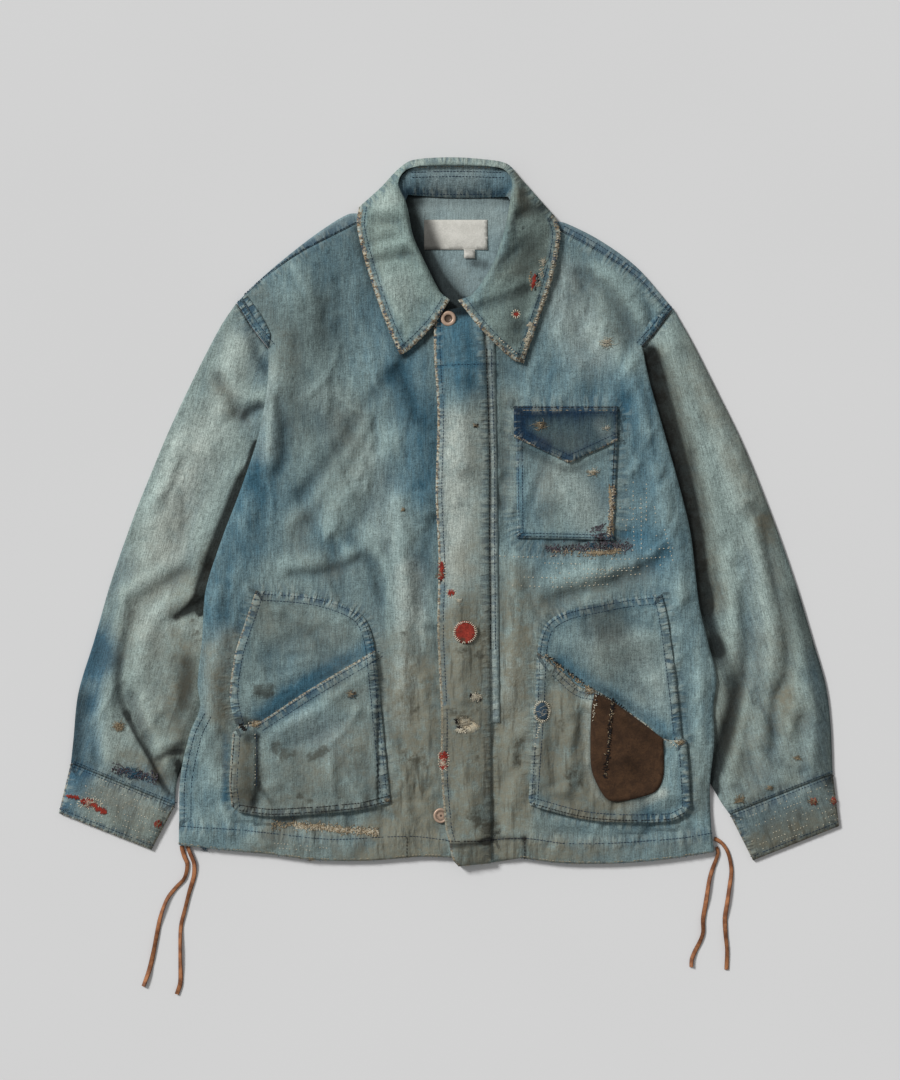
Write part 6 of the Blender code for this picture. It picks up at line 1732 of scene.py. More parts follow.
def denim(name, faded, deep, cast=0.0, wear=0.0, rub=0.0026, pucker=0.7, speckle=1.0):
    """Worn twill: faded and deep dye by the painted washes, slubs, stains, puckered seams and rubbed edges,
    with painted shade and highlight in the folds, along the gaps and on lit ridges.

    The cast is the least share of deep dye, wear how much of an edge's dye is rubbed off over the width rub,
    pucker how strongly the seams are gathered and speckle how strongly single yarns differ.
    """
    r = Recipe(name)
    weave = r.weave()
    blue, shade, grime_and_shade, dark, pale, cream = (r.field(field) for field in WASHES)
    edge, gap, run, fold = (r.field(field) for field in ("edge", "seam_gap", "seam_run", "fold"))
    cloudy = r.noise(0.060, 6, 0.62)
    patchy = r.noise(0.016, 5, 0.65)
    speck = r.noise(0.0045, 4, 0.6)
    grain = r.noise(0.0012, 3, 0.7)
    slub = r.noise(0.0010, 2, 0.6, weave, (1, 0.06, 1))
    streak = r.noise(0.006, 4, 0.6, weave, (1, 0.14, 1))
    weft = r.noise(0.0010, 1, 0.6, weave, (0.10, 1, 1))

    # dye: more of it is left in hollows, less on ridges
    share = r.plus(blue, r.about(cloudy, 0.8), r.about(streak, 0.75), r.about(patchy, 0.35),
                   r.times(fold, -0.10), cast, clamp=True)
    colour = r.mix(share, faded, deep)
    # pale wash: partly bleached yarn, partly painted highlight on lit ridges and upper sides
    pale_bleach_and_highlight = r.times(pale, r.step(patchy, 0.3, 0.6, 0.55, 1.0), clamp=True)
    colour = r.mix(pale_bleach_and_highlight, colour, "bleached_and_highlight")

    # yarns
    yarn = r.plus(slub, r.times(grain, 1.5), r.times(weft, 0.3), r.times(speck, 0.45))
    light = r.step(yarn, 1.13, 2.12, 1 - 0.52 * speckle, 1 + 0.50 * speckle)

    # folds: painted shade darkens the hollows, and painted highlight with rubbed wear lightens the ridges
    hill = r.plus(fold, r.about(r.noise(0.022, 4, 0.6, None, (1, 0.55, 1)), 3.6))
    colour = r.lit(colour, r.times(light, r.step(hill, -3.2, 3.0, 0.76, 1.18)))

    # puckers beside the seams: rubbed ridges and deep hollows that fade away from the stitches
    across = r.add("ShaderNodeCombineXYZ", run, r.times(gap, 0.28)).outputs[0]
    wave = r.step(r.noise(0.0046, 1.5, 0.5, across), 0.40, 0.60, -1.0, 1.0)
    near = r.step(gap, 0.45 * PUCKER_REACH, 1.15 * PUCKER_REACH, 1.0, 0.0)
    gather = r.times(wave, r.times(near, r.step(patchy, 0.34, 0.62, 0.45, 1.1)))
    ridge = r.times(r.math("MAXIMUM", gather, 0.0), 0.40 * pucker, clamp=True)
    hollow = r.times(r.math("MAXIMUM", r.times(gather, -1.0), 0.0), 0.60 * pucker, clamp=True)
    colour = r.mix(hollow, r.mix(ridge, colour, "bleached_and_highlight"), "seam_blue")

    # rubbed edge, like a pale and brown rope with dark gaps
    rope = r.noise(0.0027, 3, 0.6, across)
    ragged = r.plus(edge, r.about(speck, 0.006))
    rubbed = r.times(r.step(ragged, 0.45 * rub, rub, wear, 0.0), r.step(rope, 0.30, 0.45, 0.55, 1.0))
    worn = r.mix(r.step(rope, 0.48, 0.56), "worn_tan", "worn_pale")
    worn = r.mix(r.step(rope, 0.42, 0.47, 1.0, 0.0), worn, "dark_grime_and_shade")
    worn = r.mix(r.step(speck, 0.50, 0.58), worn, "bleached_and_highlight")
    worn = r.mix(r.step(speck, 0.40, 0.46, 0.8, 0.0), worn, "seam_blue")
    colour = r.mix(rubbed, colour, worn)

    # stains, spots of oil, lint and painted shade; the grime and oil mixes also paint shade and shadow along
    # the gaps between sleeves and body and on the sleeves' edges
    soil_and_shade = r.times(grime_and_shade, r.step(patchy, 0.28, 0.66, 0.35, 1.25))
    soil_and_shade = r.times(soil_and_shade, r.step(cloudy, 0.3, 0.62, 0.6, 1.15), clamp=True)
    soil_and_shade = r.times(soil_and_shade, r.step(speck, 0.32, 0.66, 0.66, 0.92))
    colour = r.mix(soil_and_shade, colour, "grime_and_shade")
    sunk_soil_and_shade = r.times(r.times(grime_and_shade, r.step(streak, 0.50, 0.68)), 0.45, clamp=True)
    colour = r.mix(sunk_soil_and_shade, colour, "dark_grime_and_shade")
    oil_and_shadow_blot = r.plus(dark, r.about(patchy, 2.6), r.about(speck, 1.5))
    oil_and_shadow_blot = r.times(r.step(oil_and_shadow_blot, 0.15, 0.85), r.step(dark, 0.0, 0.30), clamp=True)
    colour = r.mix(r.times(oil_and_shadow_blot, 0.70), colour, "oil_and_shadow")
    lint = r.times(cream, r.step(speck, 0.3, 0.6, 0.6, 1.0), clamp=True)
    colour = r.lit(r.mix(lint, colour, "cream"), r.step(shade, 0.0, 1.0, 1.0, 0.12))

    twill = r.add("ShaderNodeVectorMath", weave, (1, 1, 0), operation="DOT_PRODUCT").outputs["Value"]
    twill = r.math("SINE", r.times(twill, 2 * pi / TWILL_PITCH))
    height = r.plus(r.times(twill, 0.03), r.times(yarn, 0.24), r.times(patchy, 2.0), r.times(hill, 0.45),
                    r.times(gather, 0.5 * pucker), r.times(r.times(rope, rubbed), 0.8))
    return r.finish(colour, r.step(grime_and_shade, 0.0, 1.0, 0.93, 0.82), height, sheen=0.03)


def plain_cloth(name, colour, shade, pitch=0.0009, fuzz=0.5, soil=None):
    """Plain weave with worn, mottled colour, spots of soil where its colour is given, and painted shade from
    the shade wash.
    """
    r = Recipe(name)
    apart = r.add("ShaderNodeSeparateXYZ", r.weave())
    across, along = (r.math("SINE", r.times(apart.outputs[i], 2 * pi / pitch)) for i in (0, 1))
    mottled = r.noise(0.012, 5, 0.65)
    grain = r.noise(0.0016, 3, 0.7)
    tone = r.plus(r.times(mottled, 0.7), r.times(grain, 0.6))
    tint = r.mix(r.step(tone, 0.42, 0.9), shade, colour)
    if soil:
        tint = r.mix(r.step(r.noise(0.007, 4, 0.6), 0.48, 0.66, 0.0, 0.75), tint, soil)
    tint = r.mix(r.step(r.field("edge"), 0.0005, 0.003, 0.45, 0.0), tint, shade)
    # painted shade from the shade wash
    tint = r.lit(tint, r.step(r.field("shade"), 0.0, 1.0, 1.0, 0.16))
    height = r.plus(r.times(r.times(across, along), 0.04), r.times(grain, fuzz), r.times(mottled, 0.6))
    return r.finish(tint, 0.93, height, sheen=0.02)


def thread(name, colour, shade):
    """Cotton sewing thread: twisted, matt and unevenly dyed."""
    r = Recipe(name)
    twist = r.noise(0.0007, 2, 0.6)
    tone = r.plus(r.times(twist, 0.6), r.times(r.noise(0.006, 3, 0.6), 0.7))
    return r.finish(r.mix(r.step(tone, 0.45, 0.85), shade, colour), 0.9, r.times(twist, 0.3))


def leather(name):
    """Tan lace leather with darker, burnished edges and fine creases across."""
    r = Recipe(name)
    grain = r.noise(0.0012, 4, 0.65)
    patchy = r.noise(0.011, 4, 0.6)
    colour = r.mix(r.step(patchy, 0.36, 0.64), "leather_dark", "leather")
    colour = r.mix(r.times(r.step(r.field("side"), 0.62, 0.95), 0.8), colour, "leather_edge")
    colour = r.mix(r.step(grain, 0.5, 0.72, 0.0, 0.35), colour, "leather_edge")
    crease = r.math("SINE", r.plus(r.times(r.field("seam_run"), 2 * pi / 0.0017), r.times(patchy, 20.0)))
    height = r.plus(r.times(grain, 0.25), r.times(crease, 0.02))
    return r.finish(colour, r.step(patchy, 0.3, 0.7, 0.48, 0.66), height)


def button_metal(name):
    """Dull copper-brass with dark hollows and rubbed high spots."""
    r = Recipe(name)
    worn = r.noise(0.0022, 4, 0.65)
    high = r.plus(r.field("raised"), r.about(worn, 0.6))
    colour = r.mix(r.step(high, 0.35, 0.85), "metal_dark", "metal")
    return r.finish(colour, r.step(worn, 0.3, 0.7, 0.38, 0.58), r.times(r.noise(0.0006, 3, 0.6), 0.12),
                    metallic=0.35)


def floor_paper(name):
    """The pale, plain studio floor."""
    r = Recipe(name)
    soft = r.noise(0.4, 2)
    return r.finish(r.lit("floor", r.step(soft, 0.3, 0.7, 1.0, 0.985)), 0.95, r.times(soft, 0.02))


def stitch_tree():
    """Geometry nodes that set stitches along lines: pitch, size, turn, jitter and how many are worn away."""
    tree = bpy.data.node_groups.new("stitches_along_lines", "GeometryNodeTree")
    tree.is_modifier = True
    for name, kind in STITCH_INPUTS:
        tree.interface.new_socket(name, in_out="INPUT", socket_type=f"NodeSocket{kind}")
    tree.interface.new_socket("Stitches", in_out="OUTPUT", socket_type="NodeSocketGeometry")
    n = Nodes(tree)
    given = n.add("NodeGroupInput").outputs

    def random(low, high, offset):
        """A random number for each stitch."""
        seed = n.plus(given["Seed"], offset)
        node = n.add("FunctionNodeRandomValue", None, None, low, high, None, None, None, None, seed,
                     data_type="FLOAT")
        return node.outputs[1]

    curve = n.add("GeometryNodeMeshToCurve", given["Lines"]).outputs[0]
    spots = n.add("GeometryNodeCurveToPoints", curve, None, given["Pitch"], mode="LENGTH").outputs
    gone = n.math("LESS_THAN", random(0.0, 1.0, 11), given["Worn away"])
    kept = n.add("GeometryNodeDeleteGeometry", spots["Points"], gone, domain="POINT").outputs[0]
    along = n.add("FunctionNodeAlignRotationToVector", None, None, spots["Tangent"], axis="X").outputs[0]
    angle = n.plus(given["Turn"], n.times(given["Jitter"], random(-1.0, 1.0, 23)))
    turn = n.add("FunctionNodeEulerToRotation", n.add("ShaderNodeCombineXYZ", None, None, angle).outputs[0])
    turned = n.add("FunctionNodeRotateRotation", along, turn.outputs[0], rotation_space="LOCAL").outputs[0]
    length = n.times(given["Length"], random(*STITCH_LENGTHS, 37))
    size = n.add("ShaderNodeCombineXYZ", length, given["Width"], given["Height"]).outputs[0]
    stitch = n.add("GeometryNodeMeshUVSphere", 6, 4, 0.5).outputs["Mesh"]
    laid = n.add("GeometryNodeInstanceOnPoints", kept, None, stitch, None, None, turned, size).outputs[0]
    real = n.add("GeometryNodeRealizeInstances", laid).outputs[0]
    soft = n.add("GeometryNodeSetShadeSmooth", real).outputs[0]
    dyed = n.add("GeometryNodeSetMaterial", soft, None, given["Thread"]).outputs[0]
    n.add("NodeGroupOutput", dyed)
    return tree


def row_lines(rows):
    """The lines of a list of rows: how far beside each run in pixels, then the run."""
    lines = []
    for offset, *run in rows:
        line = smooth(run_of(run))
        lines.append(beside(line, offset * PIXEL) if offset else line)
    return [line for line in lines if len(line) > 1]


def ring_lines(rings):
    """Closed lines round ellipses, each given by its centre and half sizes in pixels."""
    turns = full_turn(RING_SIDES)
    lines = []
    for centre, half in rings:
        x, y = metres(centre)
        lines.append(closed(np.stack([x + half[0] * PIXEL * np.cos(turns),
                                      y + half[1] * PIXEL * np.sin(turns)], axis=1)))
    return lines


def keep_above_floor(mesh):
    """Lift the points of a mesh that lie under the surface that the jacket rests on."""
    spots = np.zeros(len(mesh.vertices) * 3, dtype=np.float32)
    mesh.vertices.foreach_get("co", spots)
    spots[2::3] = np.maximum(spots[2::3], LOWEST)
    mesh.vertices.foreach_set("co", spots)
    mesh.update()


def sew(name, lines, material, slot, pitch, length, width, height=None, turn=0.0, jitter=0.12, worn=0.05):
    """Set stitches along plan lines and make them one plain mesh."""
    height = height or width * 0.8
    corners, edges = [], []
    for line in lines:
        start = len(corners)
        corners.extend((x, y, height_at(x, y) + STITCH_LIFT * height) for x, y in line)
        edges.extend((start + i, start + i + 1) for i in range(len(line) - 1))
    mesh = bpy.data.meshes.new(name)
    mesh.from_pydata(corners, edges, [])
    rows = bpy.data.objects.new(name, mesh)
    bpy.context.scene.collection.objects.link(rows)
    tree = bpy.data.node_groups.get("stitches_along_lines") or stitch_tree()
    modifier = rows.modifiers.new("Stitches", "NODES")
    modifier.node_group = tree
    values = {"Pitch": pitch, "Length": length, "Width": width, "Height": height, "Turn": turn,
              "Jitter": jitter, "Worn away": worn, "Thread": material,
              "Seed": bpy.context.scene.jacket_sizes.seed + len(name)}
    for item in tree.interface.items_tree:
        if item.name in values:
            modifier[item.identifier] = values[item.name]
    rows.update_tag()
    made = bpy.data.meshes.new_from_object(rows.evaluated_get(bpy.context.evaluated_depsgraph_get()))
    if not made.polygons:
        raise RuntimeError(f"{name} has no stitches")
    rows.modifiers.remove(modifier)
    rows.data = made
    made.name = name
    keep_above_floor(made)
    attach(rows, "root")


def yarns(name, paths, width, material, sides):
    """Thin round yarns along paths of points, closed at both ends, as one mesh."""
    turns = full_turn(sides)
    one, two = np.arange(sides), np.roll(np.arange(sides), -1)
    corners, quads, triangles = [], [], []
    start = 0
    for path in paths:
        along = directions(path)[0]
        side = np.cross(along, (0, 0, 1.0))
        side /= np.maximum(np.linalg.norm(side, axis=1), TINY)[:, None]
        up = np.cross(side, along)
        taper = np.ones(len(path))
        taper[[0, -1]] = YARN_END
        ring = side[:, None] * np.cos(turns)[:, None] + up[:, None] * np.sin(turns)[:, None]
        corners.append((path[:, None] + ring * (width / 2 * taper)[:, None, None]).reshape(-1, 3))
        steps = np.arange(len(path) - 1)[:, None] * sides + start
        quads.append(np.stack([steps + one, steps + two, steps + sides + two, steps + sides + one],
                              axis=2).reshape(-1, 4))
        last = start + (len(path) - 1) * sides
        triangles.extend((start, start + i + 1, start + i) for i in range(1, sides - 1))
        triangles.extend((last, last + i, last + i + 1) for i in range(1, sides - 1))
        start += len(path) * sides
    mesh, _ = mesh_from(name, np.concatenate(corners), np.array(triangles), np.concatenate(quads))
    keep_above_floor(mesh)
    add_piece(name, mesh, material)


def arched(start, end, rise, points=4):
    """One yarn over the cloth from point to point of the plan, dipping in at both ends."""
    lift = rise * np.sin(np.linspace(0, pi, points))
    return np.array([(x, y, height_at(x, y) + THREAD_GAP + z)
                     for (x, y), z in zip(np.linspace(start, end, points), lift)])


def filled_ellipse(centre, half, turn, spacing, dice):
    """Parallel yarns that fill a ragged ellipse, across its long side."""
    middle = np.array(metres(centre))
    long_way = np.array([cos(turn), sin(turn)])
    short_way = np.array([-sin(turn), cos(turn)])
    long_half, short_half = half[0] * PIXEL, half[1] * PIXEL
    paths = []
    for along in np.arange(-long_half, long_half, spacing):
        off = abs(along) / long_half
        reach = short_half * (sqrt(1 - off**2) if half[0] < 2 * half[1] else min(1, 4 * (1 - off)))
        low, high = reach * dice.uniform(*DARN_RAGGED, 2)
        spot = middle + along * long_way
        slant = long_way * dice.normal(0, DARN_SLANT)
        paths.append(arched(spot - low * short_way - slant, spot + high * short_way + slant, DARN_RISE))
    return paths


def loops(run, half_width, count, dice):
    """Short loops of yarn strewn over a strip, most of them across it."""
    line = smooth(run)
    paths = []
    for i in dice.integers(0, len(line) - 1, count):
        ahead = line[i + 1] - line[i]
        left = np.array([-ahead[1], ahead[0]])
        heading = left + ahead * dice.normal(0, 1.2)
        heading *= dice.uniform(*LOOP_REACH) / hypot(*heading)
        aside = left / hypot(*ahead) * dice.normal(0, 0.5 * half_width)
        spot = line[i] + ahead * dice.uniform(0, 1) + aside
        paths.append(arched(spot - heading, spot + heading, LOOP_RISE, points=3))
    return paths


def tuft(centre, radius, count, dice):
    """Loose yarns that bridge a worn spot, mostly side by side, with a few ends astray."""
    middle = np.array(metres(centre))
    paths = []
    for _ in range(count):
        heading = dice.normal(0, 0.3 if dice.uniform() < 0.75 else 1.2)
        reach = radius * PIXEL * dice.uniform(0.35, 1.1)
        start = middle + dice.normal(0, 0.28 * radius * PIXEL, 2)
        bend, lift = dice.normal(0, 0.5), dice.uniform(*TUFT_RISE)
        path = []
        for t in (-1, -0.4, 0.2, 1):
            x, y = start + reach * t * np.array([cos(heading + bend * t), sin(heading + bend * t)])
            path.append((x, y, height_at(x, y) + 2 * THREAD_GAP + lift * (1 - t * t)))
        paths.append(np.array(path))
    return paths


def fringe(run, density, length, outward, dice):
    """Short frayed yarns along an edge, pointing out to its left side for +1."""
    line = smooth(run)
    along, left = directions(line)
    total = sum(hypot(*(b - a)) for a, b in zip(line, line[1:]))
    paths = []
    for _ in range(int(total * density)):
        i = dice.integers(0, len(line) - 1)
        t = dice.uniform(0, 1)
        spot = line[i] * (1 - t) + line[i + 1] * t
        out = outward * left[i]
        heading = out + along[i] * dice.normal(0, 0.5)
        reach = length * dice.uniform(0.35, 1.2)
        start = spot - out * FRINGE_ROOT
        middle = start + heading * reach * 0.5
        end = middle + (heading + along[i] * dice.normal(0, 0.6)) * reach * 0.5
        base = height_at(*(spot - out * 2 * FRINGE_ROOT))
        drop = dice.uniform(0.0, FRINGE_DROP)
        paths.append(np.array([(*start, base), (*middle, base + FRINGE_LIFT),
                               (*end, max(base - drop, FRINGE_LOWEST))]))
    return paths


def scrap(name, slot, centre, half, turn, material):
    """A small ragged piece of cloth that is darned on."""
    half_x, half_y = half[0] * PIXEL, half[1] * PIXEL
    dice = np.random.default_rng(len(name))
    turns = full_turn(SCRAP_SIDES)
    ragged = 1 + 0.07 * np.sin(3 * turns + dice.uniform(0, 6)) + 0.05 * np.sin(5 * turns + dice.uniform(0, 6))
    middle = np.array(metres(centre))
    spots, edge = [middle], [min(half) * PIXEL]
    for ring in range(1, SCRAP_RINGS + 1):
        share = ring / SCRAP_RINGS
        x, y = half_x * share * ragged * np.cos(turns), half_y * share * ragged * np.sin(turns)
        turned = np.stack([x * cos(turn) - y * sin(turn), x * sin(turn) + y * cos(turn)], axis=1)
        spots.extend(middle + turned)
        edge.extend([min(half) * PIXEL * (1 - share)] * SCRAP_SIDES)
    ground = np.array([height_at(x, y) for x, y in spots]) + THREAD_GAP
    domed = ground + SCRAP_CLOTH + SCRAP_DOME * np.minimum(np.array(edge) / MILLIMETRE, 1)
    one, two = np.arange(SCRAP_SIDES), np.roll(np.arange(SCRAP_SIDES), -1)
    count = len(spots)
    fan = np.stack([one * 0, 1 + one, 1 + two], axis=1)
    starts = [1 + ring * SCRAP_SIDES for ring in range(SCRAP_RINGS)]
    bands = np.concatenate([np.stack([low + one, high + one, high + two, low + two], axis=1)
                            for low, high in zip(starts, starts[1:])])
    rim = starts[-1]
    wall = np.stack([rim + one + count, rim + two + count, rim + two, rim + one], axis=1)
    corners = np.column_stack([np.tile(spots, (2, 1)), np.concatenate([domed, ground])])
    mesh, used = mesh_from(name, corners, np.concatenate([fan, fan[:, ::-1] + count]),
                           np.concatenate([bands, bands[:, ::-1] + count, wall]))
    add_field(mesh, "edge", np.tile(edge, 2)[used])
    add_weave(mesh, corners[used, :2])
    piece = add_piece(name, mesh, material)


class Step(bpy.types.Operator):
    """A step that builds one piece or group of pieces."""

    bl_idname = "jacket.step"
    bl_label = "Jacket step"
    bl_options = {"REGISTER", "UNDO"}

    def execute(self, context):
        self.build(context.scene, context.scene.jacket_sizes)
        return {"FINISHED"}


class SetStage(Step):
    """Put up the floor, the lamps and the camera over the jacket"""

    bl_idname = "jacket.stage"
    bl_label = "Stage and camera"

    def build(self, scene, sizes):
        scene.view_settings.view_transform = "Standard"
        corners = np.array([(x * FLOOR_HALF, y * FLOOR_HALF, FLOOR_LEVEL)
                            for x, y in ((-1, -1), (1, -1), (1, 1), (-1, 1))])
        mesh, _ = mesh_from("studio_floor", corners, np.zeros((0, 3), dtype=int), np.array([[0, 1, 2, 3]]))
        mesh.materials.append(floor_paper("floor_paper"))
        floor = bpy.data.objects.new("studio_floor", mesh)
        scene.collection.objects.link(floor)
        world = bpy.data.worlds.new("studio_air")
        world.use_nodes = True
        background = world.node_tree.nodes["Background"].inputs
        background["Color"].default_value = (1, 1, 1, 1)
        background["Strength"].default_value = sizes.fill_strength
        scene.world = world
        lamp = bpy.data.lights.new("key_lamp", "SUN")
        lamp.energy = sizes.key_strength
        lamp.angle = KEY_SPREAD
        key = bpy.data.objects.new("key_lamp", lamp)
        key.location = KEY_PLACE
        key.rotation_euler = (-key.location).to_track_quat("-Z", "Y").to_euler()
        scene.collection.objects.link(key)
        data = bpy.data.cameras.new("photo_camera")
        data.sensor_width = SENSOR
        data.lens = SENSOR * (CAMERA_HEIGHT - CAMERA_PLANE) / (PHOTO_PX[1] * PIXEL)
        camera = bpy.data.objects.new("photo_camera", data)
        camera.location = (*CAMERA_CENTRE, CAMERA_HEIGHT)
        scene.collection.objects.link(camera)
        scene.camera = camera


class MakeLaces(Step):
    """Cut the four free lace ends and lay them below the hem"""

    bl_idname = "jacket.laces"
    bl_label = "Leather laces"

    def build(self, scene, sizes):
        material = leather("lace_leather")
        for name, route in LACES.items():
            mesh, path = lace_mesh(name, route)
            lace = add_piece(f"{name}_leather", mesh, material)
            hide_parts(name)


class LayBody(Step):
    """Lay the back and the two fronts"""

    bl_idname = "jacket.body"
    bl_label = "Back and fronts"

    def build(self, scene, sizes):
        wrong_side = denim("denim_wrong_side", "inside_faded", "inside_deep", cast=-0.1, speckle=0.7)
        cloth = denim("denim_body", "faded", "deep", cast=0.12, wear=0.35, pucker=0.45)
        back = build_cloth("back", wrong_side)
        right = build_cloth("front_right", cloth)
        build_cloth("front_left", cloth)


class LaySleeves(Step):
    """Lay the sleeves, their cuffs and the felled armhole seams"""

    bl_idname = "jacket.sleeves"
    bl_label = "Sleeves and cuffs"

    def build(self, scene, sizes):
        cloth = denim("denim_sleeve", "sleeve_faded", "sleeve_deep", cast=0.02, pucker=0.4)
        cuff = denim("denim_cuff", "sleeve_faded", "sleeve_deep", cast=0.08, wear=0.6, pucker=0.8)
        band = denim("denim_armhole", "faded", "deep", cast=0.45, pucker=1.0)
        for side in ("right", "left"):
            build_cloth(f"sleeve_{side}", cloth)
            build_cloth(f"cuff_{side}", cuff)
        for side in ("right", "left"):
            build_cloth(f"armhole_band_{side}", band)


class LayCollar(Step):
    """Stand the collar band up and fold the collar over it"""

    bl_idname = "jacket.collar"
    bl_label = "Collar"

    def build(self, scene, sizes):
        stand = denim("denim_stand", "inside_faded", "deep", cast=0.3, pucker=0.9)
        cloth = denim("denim_collar", "collar_faded", "deep", wear=1.0, rub=0.0052, pucker=0.75)
        build_cloth("collar_stand", stand)
        build_cloth("collar", cloth)


class LayPlacket(Step):
    """Lay the fly placket and the band of its facing"""

    bl_idname = "jacket.placket"
    bl_label = "Placket"

    def build(self, scene, sizes):
        cloth = denim("denim_placket", "faded", "deep", cast=0.05, wear=0.95, rub=0.0034)
        build_cloth("fly_placket", cloth)
        build_cloth("fly_facing", cloth)


class LayPockets(Step):
    """Lay the chest pocket with its flap, and the two hand pockets with their panels"""

    bl_idname = "jacket.pockets"
    bl_label = "Pockets"

    def build(self, scene, sizes):
        cloth = denim("denim_pocket", "faded", "deep", cast=0.08, wear=0.75, pucker=1.15)
        flap = denim("denim_indigo", "indigo_faded", "indigo", cast=0.42, wear=0.95, rub=0.0034)
        build_cloth("chest_pocket", cloth)
        build_cloth("chest_pocket_flap", flap)
        for name in POCKETS:
            build_cloth(name, cloth)


class LayPatches(Step):
    """Lay the brown and the red patch"""

    bl_idname = "jacket.patches"
    bl_label = "Patches"

    def build(self, scene, sizes):
        brown = plain_cloth("brown_cotton", "brown", "brown_shade", soil="brown_shade")
        red = plain_cloth("red_cotton", "red", "red_shade", soil="dark_grime_and_shade")
        build_cloth("brown_patch", brown)
        build_cloth("red_patch", red)


class LayLabels(Step):
    """Lay the blank neck label and size tab"""

    bl_idname = "jacket.labels"
    bl_label = "Blank labels"

    def build(self, scene, sizes):
        tape = plain_cloth("woven_tape", "label", "label_shade", pitch=0.0006, fuzz=0.15)
        build_cloth("neck_label", tape)
        build_cloth("size_tab", tape)


class MakeButtons(Step):
    """Turn the two metal buttons"""

    bl_idname = "jacket.buttons"
    bl_label = "Buttons"

    def build(self, scene, sizes):
        metal = button_metal("dull_brass")
        for name, (centre, profile) in BUTTONS.items():
            low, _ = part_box(name)
            mesh = button_mesh(name, metres(centre), low[2], profile)
            piece = add_piece(f"{name}_turned", mesh, metal)
            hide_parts(name)


class SewSeams(Step):
    """Sew the machine stitches along every seam"""

    bl_idname = "jacket.seams"
    bl_label = "Machine stitches"

    def build(self, scene, sizes):
        blue = thread("thread_blue", "blue_thread", "blue_thread_shade")
        pale = thread("thread_pale", "pale_thread", "pale_thread_shade")
        size = (sizes.stitch_pitch, sizes.stitch_length, sizes.thread_width)
        sew("seam_stitches_blue", row_lines(BLUE_ROWS), blue, "thread_blue", *size)
        sew("seam_stitches_pale", row_lines(PALE_ROWS), pale, "thread_pale", *size, worn=0.45)


class SewMends(Step):
    """Sew the running stitches, whipped edges and darns of the repairs"""

    bl_idname = "jacket.mends"
    bl_label = "Repairs and darns"

    def build(self, scene, sizes):
        white = thread("thread_white", "white_thread", "pale_thread")
        tan = thread("thread_tan", "tan_thread", "tan_thread_shade")
        dark = thread("thread_dark", "dark_thread", "dark_thread_shade")
        red = thread("thread_red", "red", "red_shade")
        scrap(*BLUE_SCRAP, plain_cloth("blue_scrap", "blue_patch", "blue_patch_shade"))
        sew("running_stitches_white", row_lines(RUNNING_ROWS), white, "thread_pale",
            pitch=0.0046, length=0.0019, width=0.0010, jitter=0.6, worn=0.35)
        sew("cuff_stitches_white", row_lines(CUFF_ROWS), white, "thread_pale",
            pitch=0.0034, length=0.0015, width=0.0009, jitter=0.8, worn=0.5)
        sew("whip_stitches_dense", ring_lines(DENSE_RINGS), white, "thread_pale",
            pitch=0.0020, length=0.0036, width=0.0012, height=0.0014, turn=pi / 2, jitter=0.45)
        sew("seam_stitches_dark", row_lines(DARK_ROWS), dark, "thread_blue", pitch=sizes.stitch_pitch,
            length=1.15 * sizes.stitch_length, width=1.2 * sizes.thread_width)
        sew("whip_stitches_white", ring_lines(WHIPPED_RINGS) + row_lines(WHIPPED_RUNS), white, "thread_pale",
            pitch=0.0026, length=0.0034, width=0.0010, turn=pi / 2, jitter=0.7, worn=0.25)
        sew("whip_stitches_dark", row_lines(DARK_WHIPS), dark, "thread_blue",
            pitch=0.0026, length=0.0046, width=0.0012, turn=pi / 2, jitter=0.5)
        dice = np.random.default_rng(sizes.seed)
        indigo = thread("thread_indigo", "deep", "seam_blue")
        plum = thread("thread_plum", "plum_thread", "plum_thread_shade")
        fills = {"white": (white, "thread_pale"), "tan": (tan, "thread_pale"), "dark": (dark, "thread_blue"),
                 "indigo": (indigo, "thread_blue"), "plum": (plum, "thread_blue"), "red": (red, "thread_red")}
        for key, (material, slot) in fills.items():
            paths = []
            for centre, half, turn in DARNS.get(key, []):
                paths += filled_ellipse(centre, half, radians(turn), DARN_SPACING * sizes.darn_width, dice)
            for half_width, count, *run in LOOPS.get(key, []):
                paths += loops(run_of(run), half_width * PIXEL, count, dice)
            yarns(f"darns_{key}", paths, sizes.darn_width, material, sides=4)


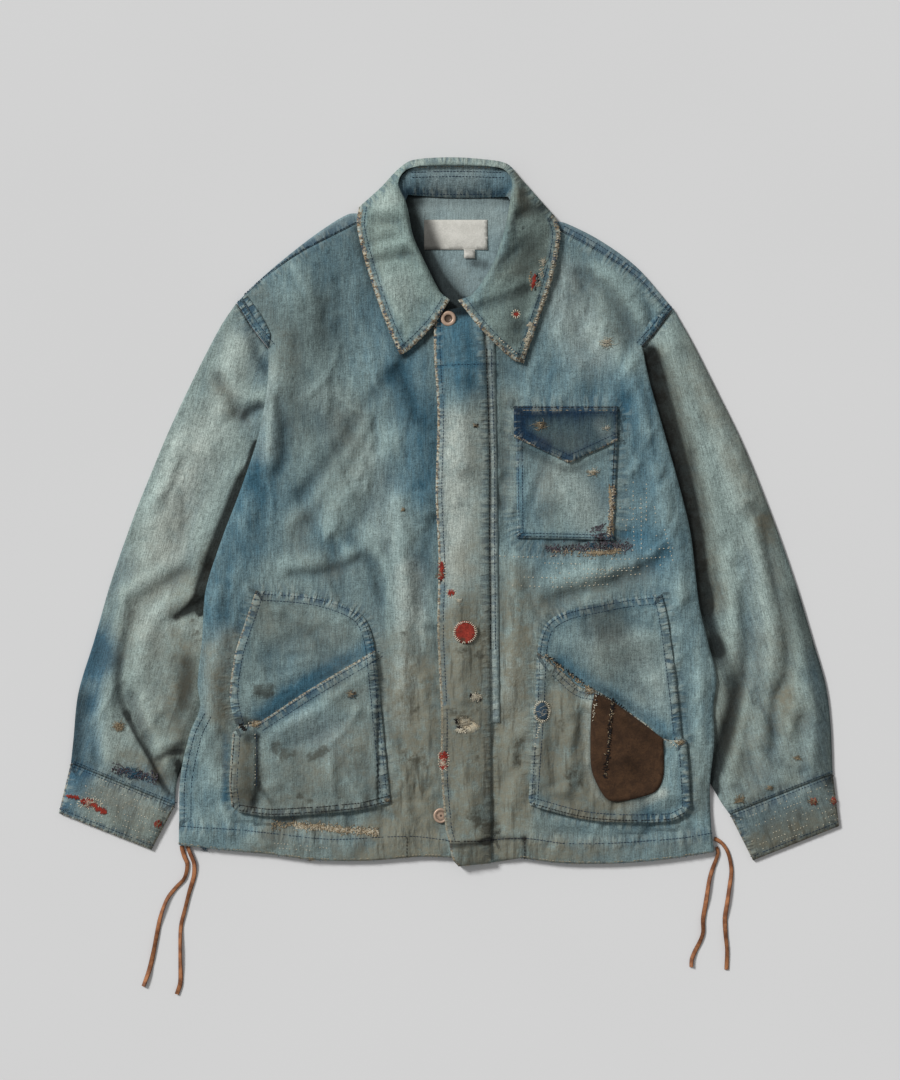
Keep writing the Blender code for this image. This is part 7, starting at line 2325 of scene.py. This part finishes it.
class FrayEdges(Step):
    """Pull out the frayed yarns of worn edges and spots"""

    bl_idname = "jacket.frays"
    bl_label = "Frays"

    def build(self, scene, sizes):
        dice = np.random.default_rng(sizes.seed + 1)
        frays = {"pale": (thread("yarn_pale", "white_thread", "pale_thread"), "thread_pale"),
                 "tan": (thread("yarn_tan", "tan_thread", "tan_thread_shade"), "thread_pale"),
                 "blue": (thread("yarn_blue", "deep", "seam_blue"), "thread_blue")}
        for key, (material, slot) in frays.items():
            paths = []
            for centre, radius, count in TUFTS[key]:
                paths += tuft(centre, radius, count, dice)
            for density, length, outward, run in FRINGES[key]:
                paths += fringe(run, density, length * MILLIMETRE, outward, dice)
            yarns(f"frayed_{key}", paths, sizes.fray_width, material, sides=3)


STEPS = (SetStage, MakeLaces, LayBody, LaySleeves, LayCollar, LayPlacket, LayPockets, LayPatches, LayLabels,
         MakeButtons, SewSeams, SewMends, FrayEdges)


class JacketPanel(bpy.types.Panel):
    """The jacket's steps, colours and sizes"""

    bl_idname = "VIEW3D_PT_jacket"
    bl_label = "Patched denim jacket"
    bl_space_type = "VIEW_3D"
    bl_region_type = "UI"
    bl_category = "Jacket"

    def draw(self, context):
        column = self.layout.column()
        for step in STEPS:
            column.operator(step.bl_idname)
        for group in (context.scene.jacket_colours, context.scene.jacket_sizes):
            box = self.layout.box()
            for name in group.__annotations__:
                box.prop(group, name)


CLASSES = (JacketColours, JacketSizes, *STEPS, JacketPanel)


def register():
    for item in CLASSES:
        bpy.utils.register_class(item)
    bpy.types.Scene.jacket_colours = PointerProperty(type=JacketColours)
    bpy.types.Scene.jacket_sizes = PointerProperty(type=JacketSizes)


def unregister():
    del bpy.types.Scene.jacket_colours
    del bpy.types.Scene.jacket_sizes
    for item in reversed(CLASSES):
        bpy.utils.unregister_class(item)


def main():
    register()
    for step in STEPS:
        group, name = step.bl_idname.split(".")
        if getattr(getattr(bpy.ops, group), name)() != {"FINISHED"}:
            raise RuntimeError(f"{step.bl_label} didn't finish")


if __name__ == "__main__":
    main()
